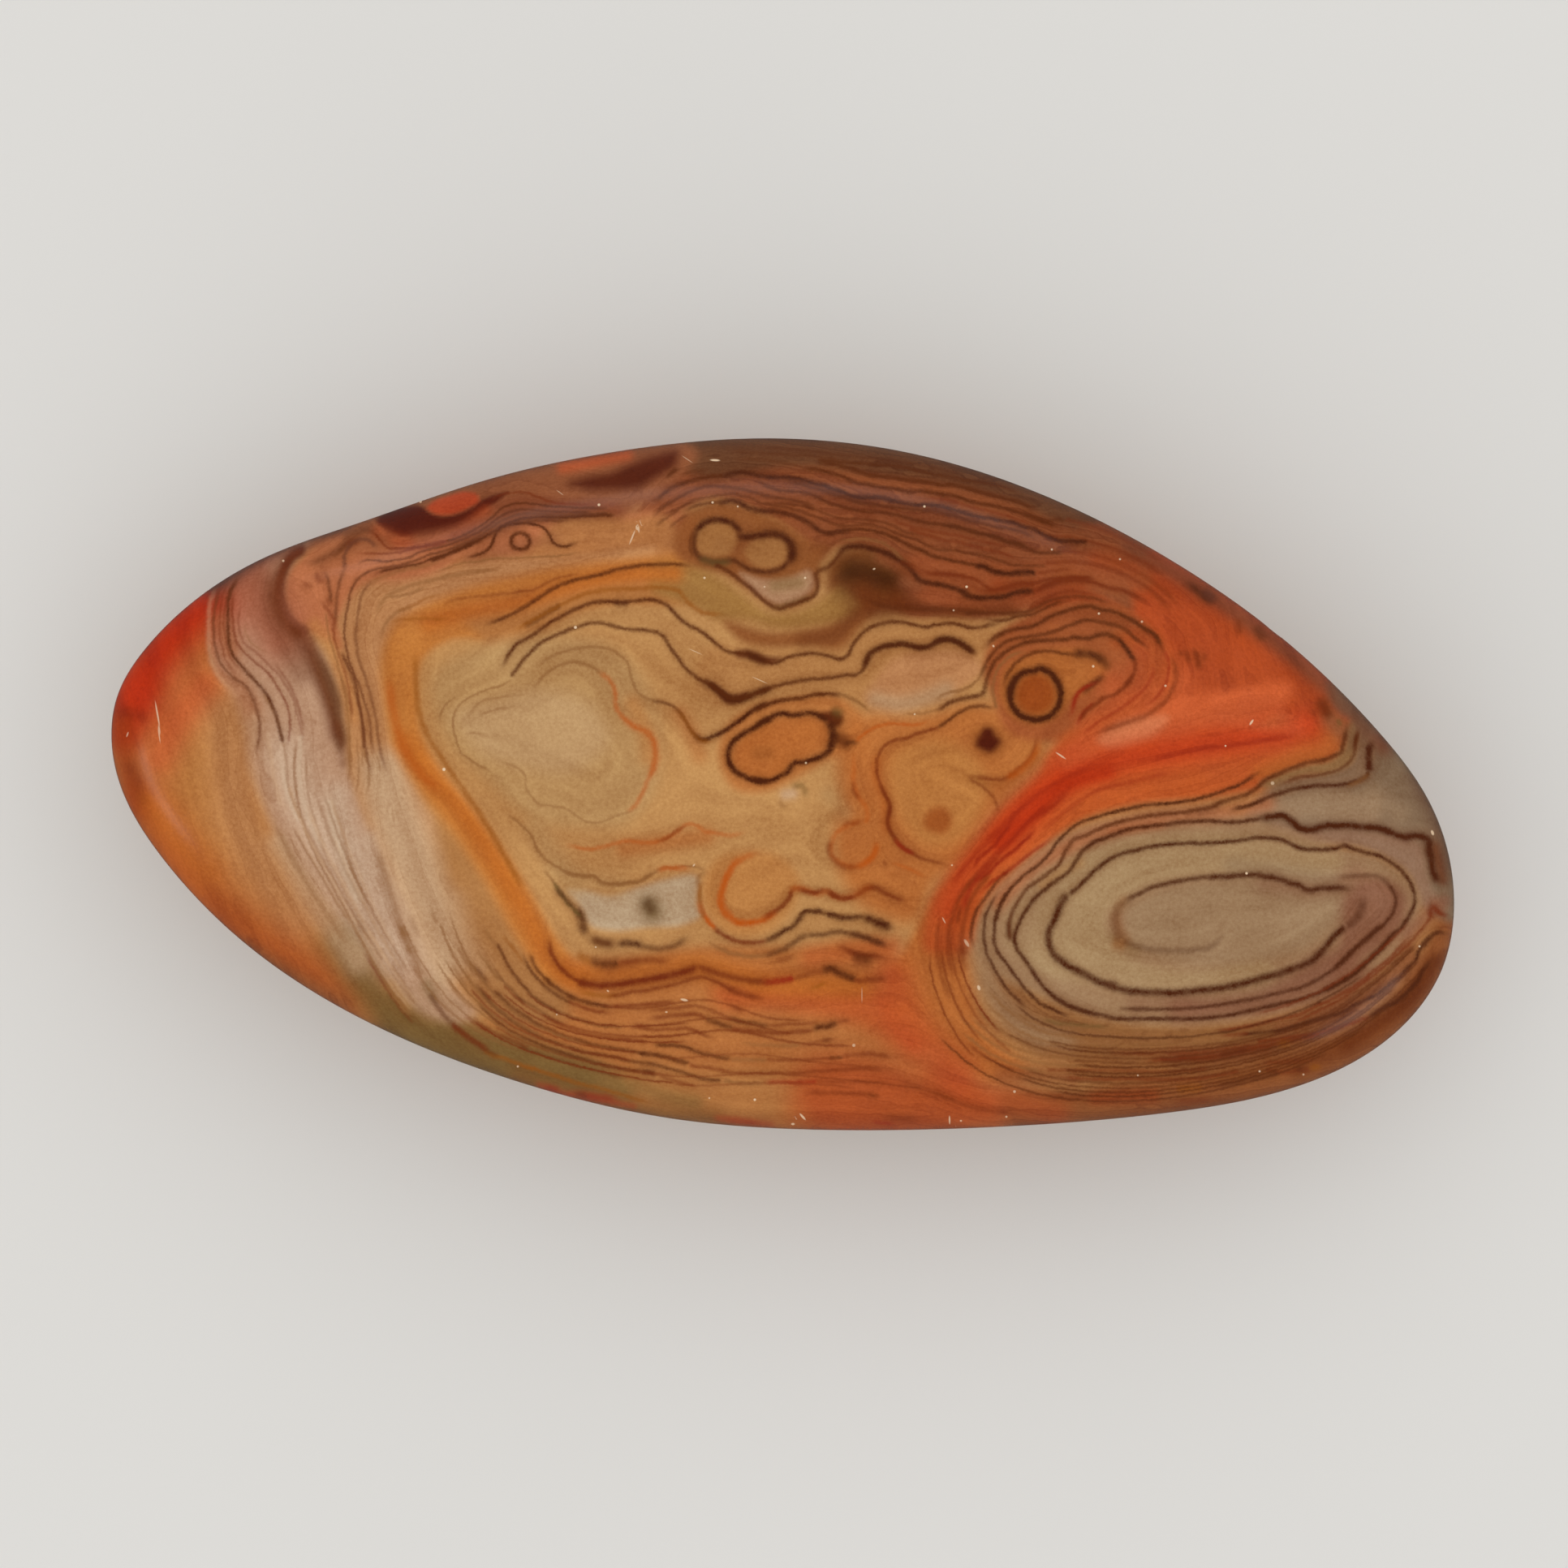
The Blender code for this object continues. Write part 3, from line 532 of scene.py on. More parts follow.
# Wide soft strokes over the zones: tone, half width, strength and points.
WASHES = [
    # left tip
    ("apricot", 34, 0.75, [(280, 880), (288, 950), (300, 1020), (330, 1080), (370, 1130)]),
    ("flame", 24, 0.7, [(252, 845), (222, 885), (196, 935)]),
    ("burnt_orange", 40, 0.95, [(178, 990), (213, 1055), (255, 1108), (308, 1155), (368, 1196), (420, 1228)]),
    ("scarlet", 46, 1.0, [(262, 735), (225, 770), (190, 812), (165, 860)]),
    ("scarlet", 24, 0.9, [(170, 850), (155, 905)]),
    ("brick", 20, 0.75, [(150, 895), (156, 945), (172, 990)]),
    # Darker tones along the lower left rim, the lower rim and the upper left corner: partly the stone's own
    # colour, partly painted shade where the dome falls away.
    ("dark_olive", 30, 0.9, [(425, 1160), (452, 1212), (500, 1266), (560, 1300)]),
    ("rim_olive", 20, 1.0, [(640, 1334), (720, 1360), (800, 1378), (880, 1388)]),
    ("corner_brown", 20, 1.0, [(285, 706), (320, 680), (352, 664)]),
    ("rim_rust", 14, 0.8, [(300, 1168), (350, 1198), (420, 1238)]),
    ("maroon", 9, 0.35, [(152, 878), (175, 882)]),
    ("maroon", 9, 0.3, [(160, 945), (176, 985)]),
    # flank
    ("mauve", 38, 0.9, [(305, 712), (326, 750), (345, 785)]),
    # A thin darker border along the upper left rim: partly the stone's own colour, partly painted shade where
    # the dome falls away.
    ("dusk", 13, 0.85, [(262, 722), (300, 696), (350, 668), (420, 645)]),
    ("salmon_brown", 14, 0.4, [(275, 780), (290, 830), (310, 870)]),
    ("ivory", 30, 0.7, [(352, 930), (372, 980), (400, 1030), (430, 1080), (460, 1130), (490, 1175)]),
    ("ivory", 16, 0.8, [(415, 980), (428, 1030), (448, 1080)]),
    ("ivory", 11, 0.7, [(455, 1035), (466, 1075), (480, 1120)]),
    ("dark_rust", 16, 0.45, [(332, 720), (338, 755), (352, 790), (372, 830)]),
    ("dark_rust", 11, 0.6, [(364, 680), (348, 700), (340, 722), (340, 745), (350, 766), (364, 780)]),
    ("dark_rust", 9, 0.6, [(366, 780), (380, 810), (394, 842), (404, 872), (412, 905)]),
    ("dark_rust", 8, 0.4, [(417, 895), (422, 920), (424, 940)]),
    ("marigold", 9, 0.6, [(388, 770), (406, 792), (418, 817), (430, 850), (435, 885)]),
    ("cream", 16, 0.6, [(345, 1040), (372, 1085), (405, 1135), (440, 1185)]),
    # cream and orange bands
    ("cream", 16, 0.3, [(560, 1110), (575, 1160), (590, 1190)]),
    ("sand", 16, 0.6, [(660, 1020), (690, 1070), (705, 1090)]),
    ("cream", 24, 0.6, [(466, 950), (484, 1030), (512, 1110), (545, 1190)]),
    ("orange", 13, 0.8, [(830, 706), (760, 709), (690, 726), (640, 742), (580, 752), (530, 768)]),
    ("orange", 15, 0.8, [(500, 915), (530, 955), (565, 995), (600, 1045), (630, 1095), (655, 1140),
        (680, 1185), (720, 1212)]),
    ("orange", 16, 0.7, [(700, 1202), (780, 1202), (860, 1192), (950, 1214), (1060, 1214)]),
    # upper left
    ("ember", 10, 0.6, [(466, 656), (480, 665), (508, 670), (532, 668), (556, 661), (580, 648), (598, 633)]),
    ("flame", 8, 0.7, [(694, 576), (740, 567), (772, 560)]),
    ("sienna", 8, 0.6, [(560, 672), (600, 652), (640, 636)]),
    # middle
    ("deep_brown", 27, 1.0, [(1050, 706), (1070, 710), (1092, 716)]),
    ("dark_rust", 24, 0.75, [(1066, 735), (1086, 746), (1105, 742)]),
    ("dark_rust", 9, 0.6, [(1105, 744), (1150, 752), (1200, 753), (1245, 750)]),
    ("olive", 9, 0.6, [(955, 722), (985, 718)]),
    ("dark_rust", 12, 0.5, [(990, 790), (1030, 780), (1052, 758)]),
    ("ivory", 7, 0.45, [(968, 979), (976, 978)]),
    ("dark_olive", 14, 0.8, [(800, 1116), (804, 1124)]),
    ("deep_brown", 8, 0.6, [(798, 1114), (802, 1120)]),
    ("rust", 10, 0.5, [(935, 928), (945, 928)]),
    ("tawny", 12, 0.6, [(770, 1045), (820, 1038), (870, 1030)]),
    ("coral", 14, 0.5, [(1000, 1180), (1060, 1172), (1100, 1165)]),
    # eye
    ("mauve_brown", 9, 0.35, [(1377, 1132), (1379, 1154)]),
    ("olive", 9, 0.35, [(1374, 1157), (1398, 1172)]),
    # red zone
    ("brick", 20, 0.4, [(1168, 1180), (1174, 1150), (1190, 1105)]),
    ("vermilion", 22, 0.5, [(1172, 1118), (1195, 1070), (1232, 1022), (1275, 980), (1325, 945)]),
    ("vermilion", 22, 0.8, [(1240, 1030), (1278, 990), (1325, 952), (1390, 934), (1460, 921), (1540, 908),
        (1612, 896)]),
    ("blood", 11, 0.8, [(1232, 1040), (1270, 1002), (1310, 968), (1365, 952)]),
    ("vermilion", 26, 0.45, [(1100, 1205), (1115, 1245), (1140, 1285), (1180, 1322)]),
    ("ember", 20, 0.5, [(1160, 1325), (1220, 1350), (1300, 1372)]),
    ("salmon_brown", 12, 0.7, [(1230, 1110), (1262, 1080), (1300, 1052), (1350, 1028), (1400, 1012),
        (1460, 1004), (1520, 998), (1560, 990)]),
    ("flame", 13, 0.55, [(1402, 805), (1398, 838), (1372, 866), (1338, 890)]),
    ("sienna", 12, 0.6, [(1735, 1162), (1755, 1137), (1770, 1117)]),
    ("eye_tan", 17, 0.7, [(1208, 1170), (1222, 1222), (1256, 1262), (1310, 1288)]),
    ("mauve_brown", 15, 0.5, [(1560, 1086), (1620, 1092), (1672, 1080)]),
    ("mauve_brown", 12, 0.4, [(1400, 1236), (1500, 1230), (1580, 1218), (1650, 1190)]),
    # Darker towards the upper right rim: partly the stone's own colour, partly painted shade where the dome
    # falls away.
    ("rim_mauve", 12, 0.75, [(1390, 676), (1460, 714), (1540, 768), (1600, 816), (1660, 872), (1705, 920)]),
    ("smoke", 16, 0.95, [(1752, 960), (1775, 1010), (1788, 1060)]),
    # rims
    ("dark_rust", 13, 0.8, [(1660, 1286), (1700, 1262), (1740, 1228), (1768, 1184)]),
    ("clay", 15, 0.6, [(1640, 1262), (1695, 1224), (1738, 1184)]),
    ("dark_rust", 14, 0.5, [(1600, 1318), (1660, 1290)]),
    ("dark_rust", 8, 0.7, [(1768, 1045), (1778, 1085)]),
    ("mauve_brown", 9, 0.6, [(1735, 1150), (1760, 1125), (1780, 1110)]),
    # small patches, all over the face
    ("grey_sand", 11, 0.7, [(1080, 862), (1105, 867), (1140, 860), (1165, 850)]),
    ("tawny", 10, 0.5, [(1058, 900), (1062, 940), (1074, 985)]),
    ("flame", 24, 0.55, [(1372, 846), (1410, 862), (1455, 842)]),
    ("orange", 22, 0.5, [(190, 990), (220, 1028), (258, 1072)]),
    ("pumpkin", 13, 0.45, [(780, 868), (796, 900), (800, 932)]),
    ("ginger", 12, 0.5, [(838, 880), (852, 905), (862, 930)]),
    ("dark_olive", 12, 0.55, [(785, 1338), (820, 1350), (856, 1358)]),
    ("sand", 16, 0.5, [(690, 1072), (720, 1084), (760, 1092)]),
    ("smoke", 13, 0.5, [(1640, 886), (1668, 915)]),
    ("clay", 9, 0.5, [(516, 664), (560, 656), (610, 636)]),
    ("maroon", 11, 0.25, [(560, 660), (600, 640), (650, 628), (720, 632)]),
    ("walnut", 13, 0.6, [(690, 1362), (760, 1376), (840, 1384), (940, 1390)]),
    ("sienna", 12, 0.6, [(1235, 1326), (1275, 1326), (1320, 1330)]),
    ("eye_tan", 16, 0.6, [(1262, 1160), (1268, 1120), (1290, 1085)]),
    ("pink_grey", 14, 0.4, [(1520, 1068), (1575, 1075), (1640, 1085)]),
    ("clay", 14, 0.6, [(395, 690), (430, 672), (470, 668)]),
    ("clay", 10, 0.5, [(580, 690), (625, 676), (680, 664)]),
    ("smoke", 14, 0.6, [(1655, 860), (1690, 895)]),
    ("brick", 12, 0.5, [(1230, 722), (1275, 727), (1330, 722)]),
    ("scarlet", 5, 0.4, [(665, 1338), (700, 1350)]),
    ("scarlet", 5, 0.35, [(705, 1349), (780, 1363)]),
    ("scarlet", 5, 0.35, [(885, 1378), (950, 1386)]),
    ("tan", 13, 0.55, [(1300, 1300), (1340, 1312), (1400, 1318), (1430, 1310)]),
    ("sienna", 10, 0.6, [(1450, 1298), (1500, 1302), (1560, 1292)]),
    ("clay", 12, 0.6, [(1580, 1268), (1620, 1256), (1660, 1235)]),
    ("ember", 9, 0.5, [(1350, 1352), (1420, 1350)]),
    ("clay", 9, 0.5, [(1300, 660), (1340, 664)]),
    ("ember", 10, 0.45, [(1350, 690), (1395, 700)]),
    ("sienna", 8, 0.6, [(1085, 688), (1104, 696)]),
    ("clay", 8, 0.6, [(1115, 718), (1130, 722)]),
    ("dark_rust", 7, 0.35, [(590, 668), (620, 656), (650, 642)]),
    ("honey", 7, 0.45, [(1285, 1090), (1300, 1078), (1330, 1063)]),
    ("salmon_brown", 12, 0.5, [(272, 765), (284, 800)]),
    ("belt", 16, 0.4, [(530, 1215), (560, 1240)]),
    ("honey", 9, 0.5, [(480, 1215), (498, 1240)]),
    ("sand", 12, 0.5, [(1022, 980), (1040, 1000)]),
    ("salmon_brown", 6, 0.5, [(1370, 1024), (1430, 1016)]),
    ("dove", 15, 0.5, [(1690, 975), (1722, 1002)]),
    ("walnut", 7, 0.5, [(1384, 1110), (1376, 1125), (1378, 1145), (1386, 1158)]),
    ("flame", 10, 0.5, [(1315, 938), (1345, 925)]),
    ("vermilion", 9, 0.5, [(1262, 998), (1280, 980)]),
]

# The underside, which the photograph doesn't show: shells of colour round a centre of their own, with dark
# lines between them, in pixels. The face's pattern gives way to them at these depths under the girdle.
UNDER_BLEND = (4, 36)
UNDER_SEED = 5
UNDER_CENTRE = (-70, 25)
UNDER_LENGTHEN = 1.9
UNDER_SINK = 0.9
UNDER_FEATHER = 9
UNDER_SHELLS = 30
UNDER_LOWEST = -240
UNDER_GAPS = (22, 54)
UNDER_LINE_FADE = 30
# Broad shades change this often from shell to shell, over this many pixels, and the fine layering is this long.
UNDER_SHADE = 19.0
UNDER_SHADED = 900
UNDER_RUN = 25
# Of each wave of the shells: height, turns per pixel along, across and down, and phase.
UNDER_WAVES = [
    (16, 0.0105, 0.006, 0.004, 0.4), (11, -0.017, 0.013, 0.01, 2.2),
    (6, 0.031, 0.024, -0.02, 4.1), (3, 0.06, -0.052, 0.03, 1.3),
]
# The shells' tones, and their lines' tints, half widths and strengths, each list over and over.
UNDER_TONES = [
    "honey", "tan", "sand", "burnt_orange", "tan", "walnut", "amber",
    "coral", "honey", "ginger", "cream", "ember", "tawny",
]
UNDER_LINES = [
    ("umber", 2.6, 0.8), ("rust", 2.2, 0.5), ("cocoa", 3.0, 0.7), ("tan", 2.4, 0.4),
    ("bark", 2.4, 0.75), ("rust", 3.2, 0.6), ("umber", 2.0, 0.5),
]

# Bundles of thin lines: tint, half width, strength, how many, and the two lines that they lie between.
# They wander a little in place, width and strength, and are fewer than BUNDLE_SHORTER steps shorter at each end.
BUNDLE_SEED = 11
BUNDLE_STEPS = 14
BUNDLE_WANDER = 0.25
BUNDLE_SHORTER = 4
BUNDLE_WIDTHS = (0.8, 1.3)
BUNDLE_STRENGTHS = (0.6, 1.25)
BUNDLES = [
    ("tan", 1.6, 0.6, 6, [(470, 1120), (498, 1180), (535, 1232), (590, 1275), (660, 1305)],
        [(556, 1120), (574, 1170), (604, 1215), (652, 1256), (724, 1288)]),
    ("tan", 2.1, 0.45, 5, [(330, 960), (350, 1010), (380, 1060), (410, 1110), (446, 1165)],
        [(408, 975), (424, 1020), (446, 1080), (476, 1140), (520, 1215)]),
    ("pale", 2.2, 0.3, 5, [(335, 970), (352, 1015), (384, 1070), (414, 1120), (450, 1176)],
        [(415, 970), (430, 1015), (454, 1080), (486, 1150), (530, 1230)]),
    ("rust", 1.4, 0.6, 7, [(610, 1160), (630, 1192), (662, 1226), (710, 1250), (780, 1258), (850, 1252)],
        [(540, 1222), (574, 1262), (620, 1290), (690, 1315), (770, 1334), (860, 1348)]),
    ("rust", 1.5, 0.45, 6, [(700, 1222), (780, 1230), (860, 1218), (940, 1244), (1040, 1240)],
        [(780, 1345), (860, 1352), (960, 1350), (1060, 1352), (1160, 1368)]),
    ("umber", 1.5, 0.6, 12, [(1222, 1236), (1256, 1266), (1310, 1284), (1400, 1290), (1480, 1286),
        (1560, 1272), (1640, 1244), (1700, 1200), (1744, 1160)],
        [(1150, 1275), (1200, 1320), (1262, 1347), (1340, 1360), (1440, 1356), (1540, 1336), (1620, 1308),
        (1700, 1262), (1764, 1200)]),
    ("rust", 1.6, 0.55, 4, [(1196, 1110), (1186, 1145), (1192, 1192), (1216, 1240), (1262, 1292)],
        [(1150, 1135), (1142, 1180), (1156, 1240), (1190, 1298), (1252, 1342)]),
]

# The specks are dust and polishing pits, painted white together with the glints of light that they catch.
# Bright specks, fine scratches and painted glints: x, y, half length, half width, turn in degrees and whiteness.
SPECKS_AND_GLINTS = [
    (518, 618, 1.95, 1.95, 0, 0.9), (349, 691, 1.65, 1.65, 0, 0.7), (738, 622, 1.95, 1.95, 0, 0.9),
    (709, 773, 2.1, 2.1, 0, 0.9), (868, 712, 1.65, 1.65, 0, 0.8), (878, 619, 1.65, 1.65, 0, 0.8),
    (909, 624, 1.35, 1.35, 0, 0.7), (547, 948, 2.25, 2.25, 0, 1.0), (1077, 701, 1.95, 1.2, -20, 0.7),
    (1191, 723, 1.8, 1.8, 0, 0.9), (992, 712, 1.65, 1.65, 0, 0.8), (942, 723, 1.35, 1.35, 0, 0.6),
    (1139, 624, 1.65, 1.65, 0, 0.9), (1175, 752, 1.35, 1.35, 0, 0.6), (1224, 796, 1.8, 1.35, 60, 0.8),
    (1296, 677, 1.5, 1.5, 0, 0.7), (1380, 689, 1.5, 1.5, 0, 0.6), (1354, 756, 1.65, 1.65, 0, 0.8),
    (1347, 821, 1.8, 1.8, 0, 0.8), (1407, 766, 1.65, 1.65, 0, 0.6), (1436, 845, 1.65, 1.65, 0, 0.7),
    (1542, 890, 4.5, 1.5, -56, 0.8), (1510, 919, 1.35, 1.35, 0, 0.8), (1536, 1076, 1.8, 1.8, 0, 0.9),
    (1568, 965, 2.55, 2.55, 0, 0.5), (993, 940, 1.5, 1.5, 0, 0.7), (1127, 880, 1.35, 1.35, 0, 0.7),
    (1173, 1066, 1.35, 1.35, 0, 0.6), (1250, 1345, 1.95, 1.95, 0, 0.6), (1240, 1376, 1.5, 1.5, 0, 0.7),
    (1402, 1325, 1.35, 1.35, 0, 0.5), (989, 1376, 6.0, 1.5, 48, 0.8), (1170, 1380, 6.0, 1.2, 88, 0.7),
    # The second of these, at (1765, 1026), is a painted glint of the polish.
    (1184, 1381, 1.5, 1.35, 0, 0.7), (1765, 1026, 3.75, 1.95, 70, 0.8), (1749, 1166, 1.5, 1.5, 0, 0.7),
    (930, 1355, 1.8, 1.8, 0, 0.9), (977, 1385, 2.55, 1.5, 0, 0.8), (874, 1353, 1.35, 1.35, 0, 0.6),
    (843, 1232, 5.25, 1.8, 12, 0.7), (821, 1247, 1.8, 1.2, 0, 0.6), (749, 1221, 1.95, 1.2, 40, 0.6),
    (734, 1167, 1.35, 1.35, 0, 0.6), (638, 1314, 1.5, 1.5, 0, 0.7), (686, 1250, 1.35, 1.35, 0, 0.5),
    (1552, 1320, 1.5, 1.5, 0, 0.7), (1606, 1324, 1.5, 1.5, 0, 0.6), (1206, 1217, 3.75, 2.25, 70, 0.7),
    (1191, 1162, 6.0, 2.25, 58, 0.45), (855, 1066, 2.25, 1.2, -50, 0.6), (1052, 1288, 2.25, 2.25, 0, 0.5),
    (194, 880, 18.0, 1.2, 80, 0.6), (196, 905, 12.0, 0.9, 82, 0.5), (157, 905, 3.75, 1.05, -70, 0.5),
    (779, 662, 10.5, 1.2, -68, 0.6), (787, 652, 5.25, 1.05, 84, 0.6), (690, 607, 6.0, 0.675, 36, 0.4),
    (857, 803, 9.75, 0.675, 24, 0.45), (936, 838, 11.25, 0.675, 24, 0.5), (1307, 931, 8.25, 1.2, 34, 0.65),
    (847, 566, 9.0, 0.675, 34, 0.4), (1062, 1226, 10.5, 0.675, 90, 0.35), (1163, 1134, 4.875, 0.975, 62, 0.5),
    # A painted glint of the polish, near the top rim.
    (881, 567, 6.75, 1.5, 3, 0.9),
]
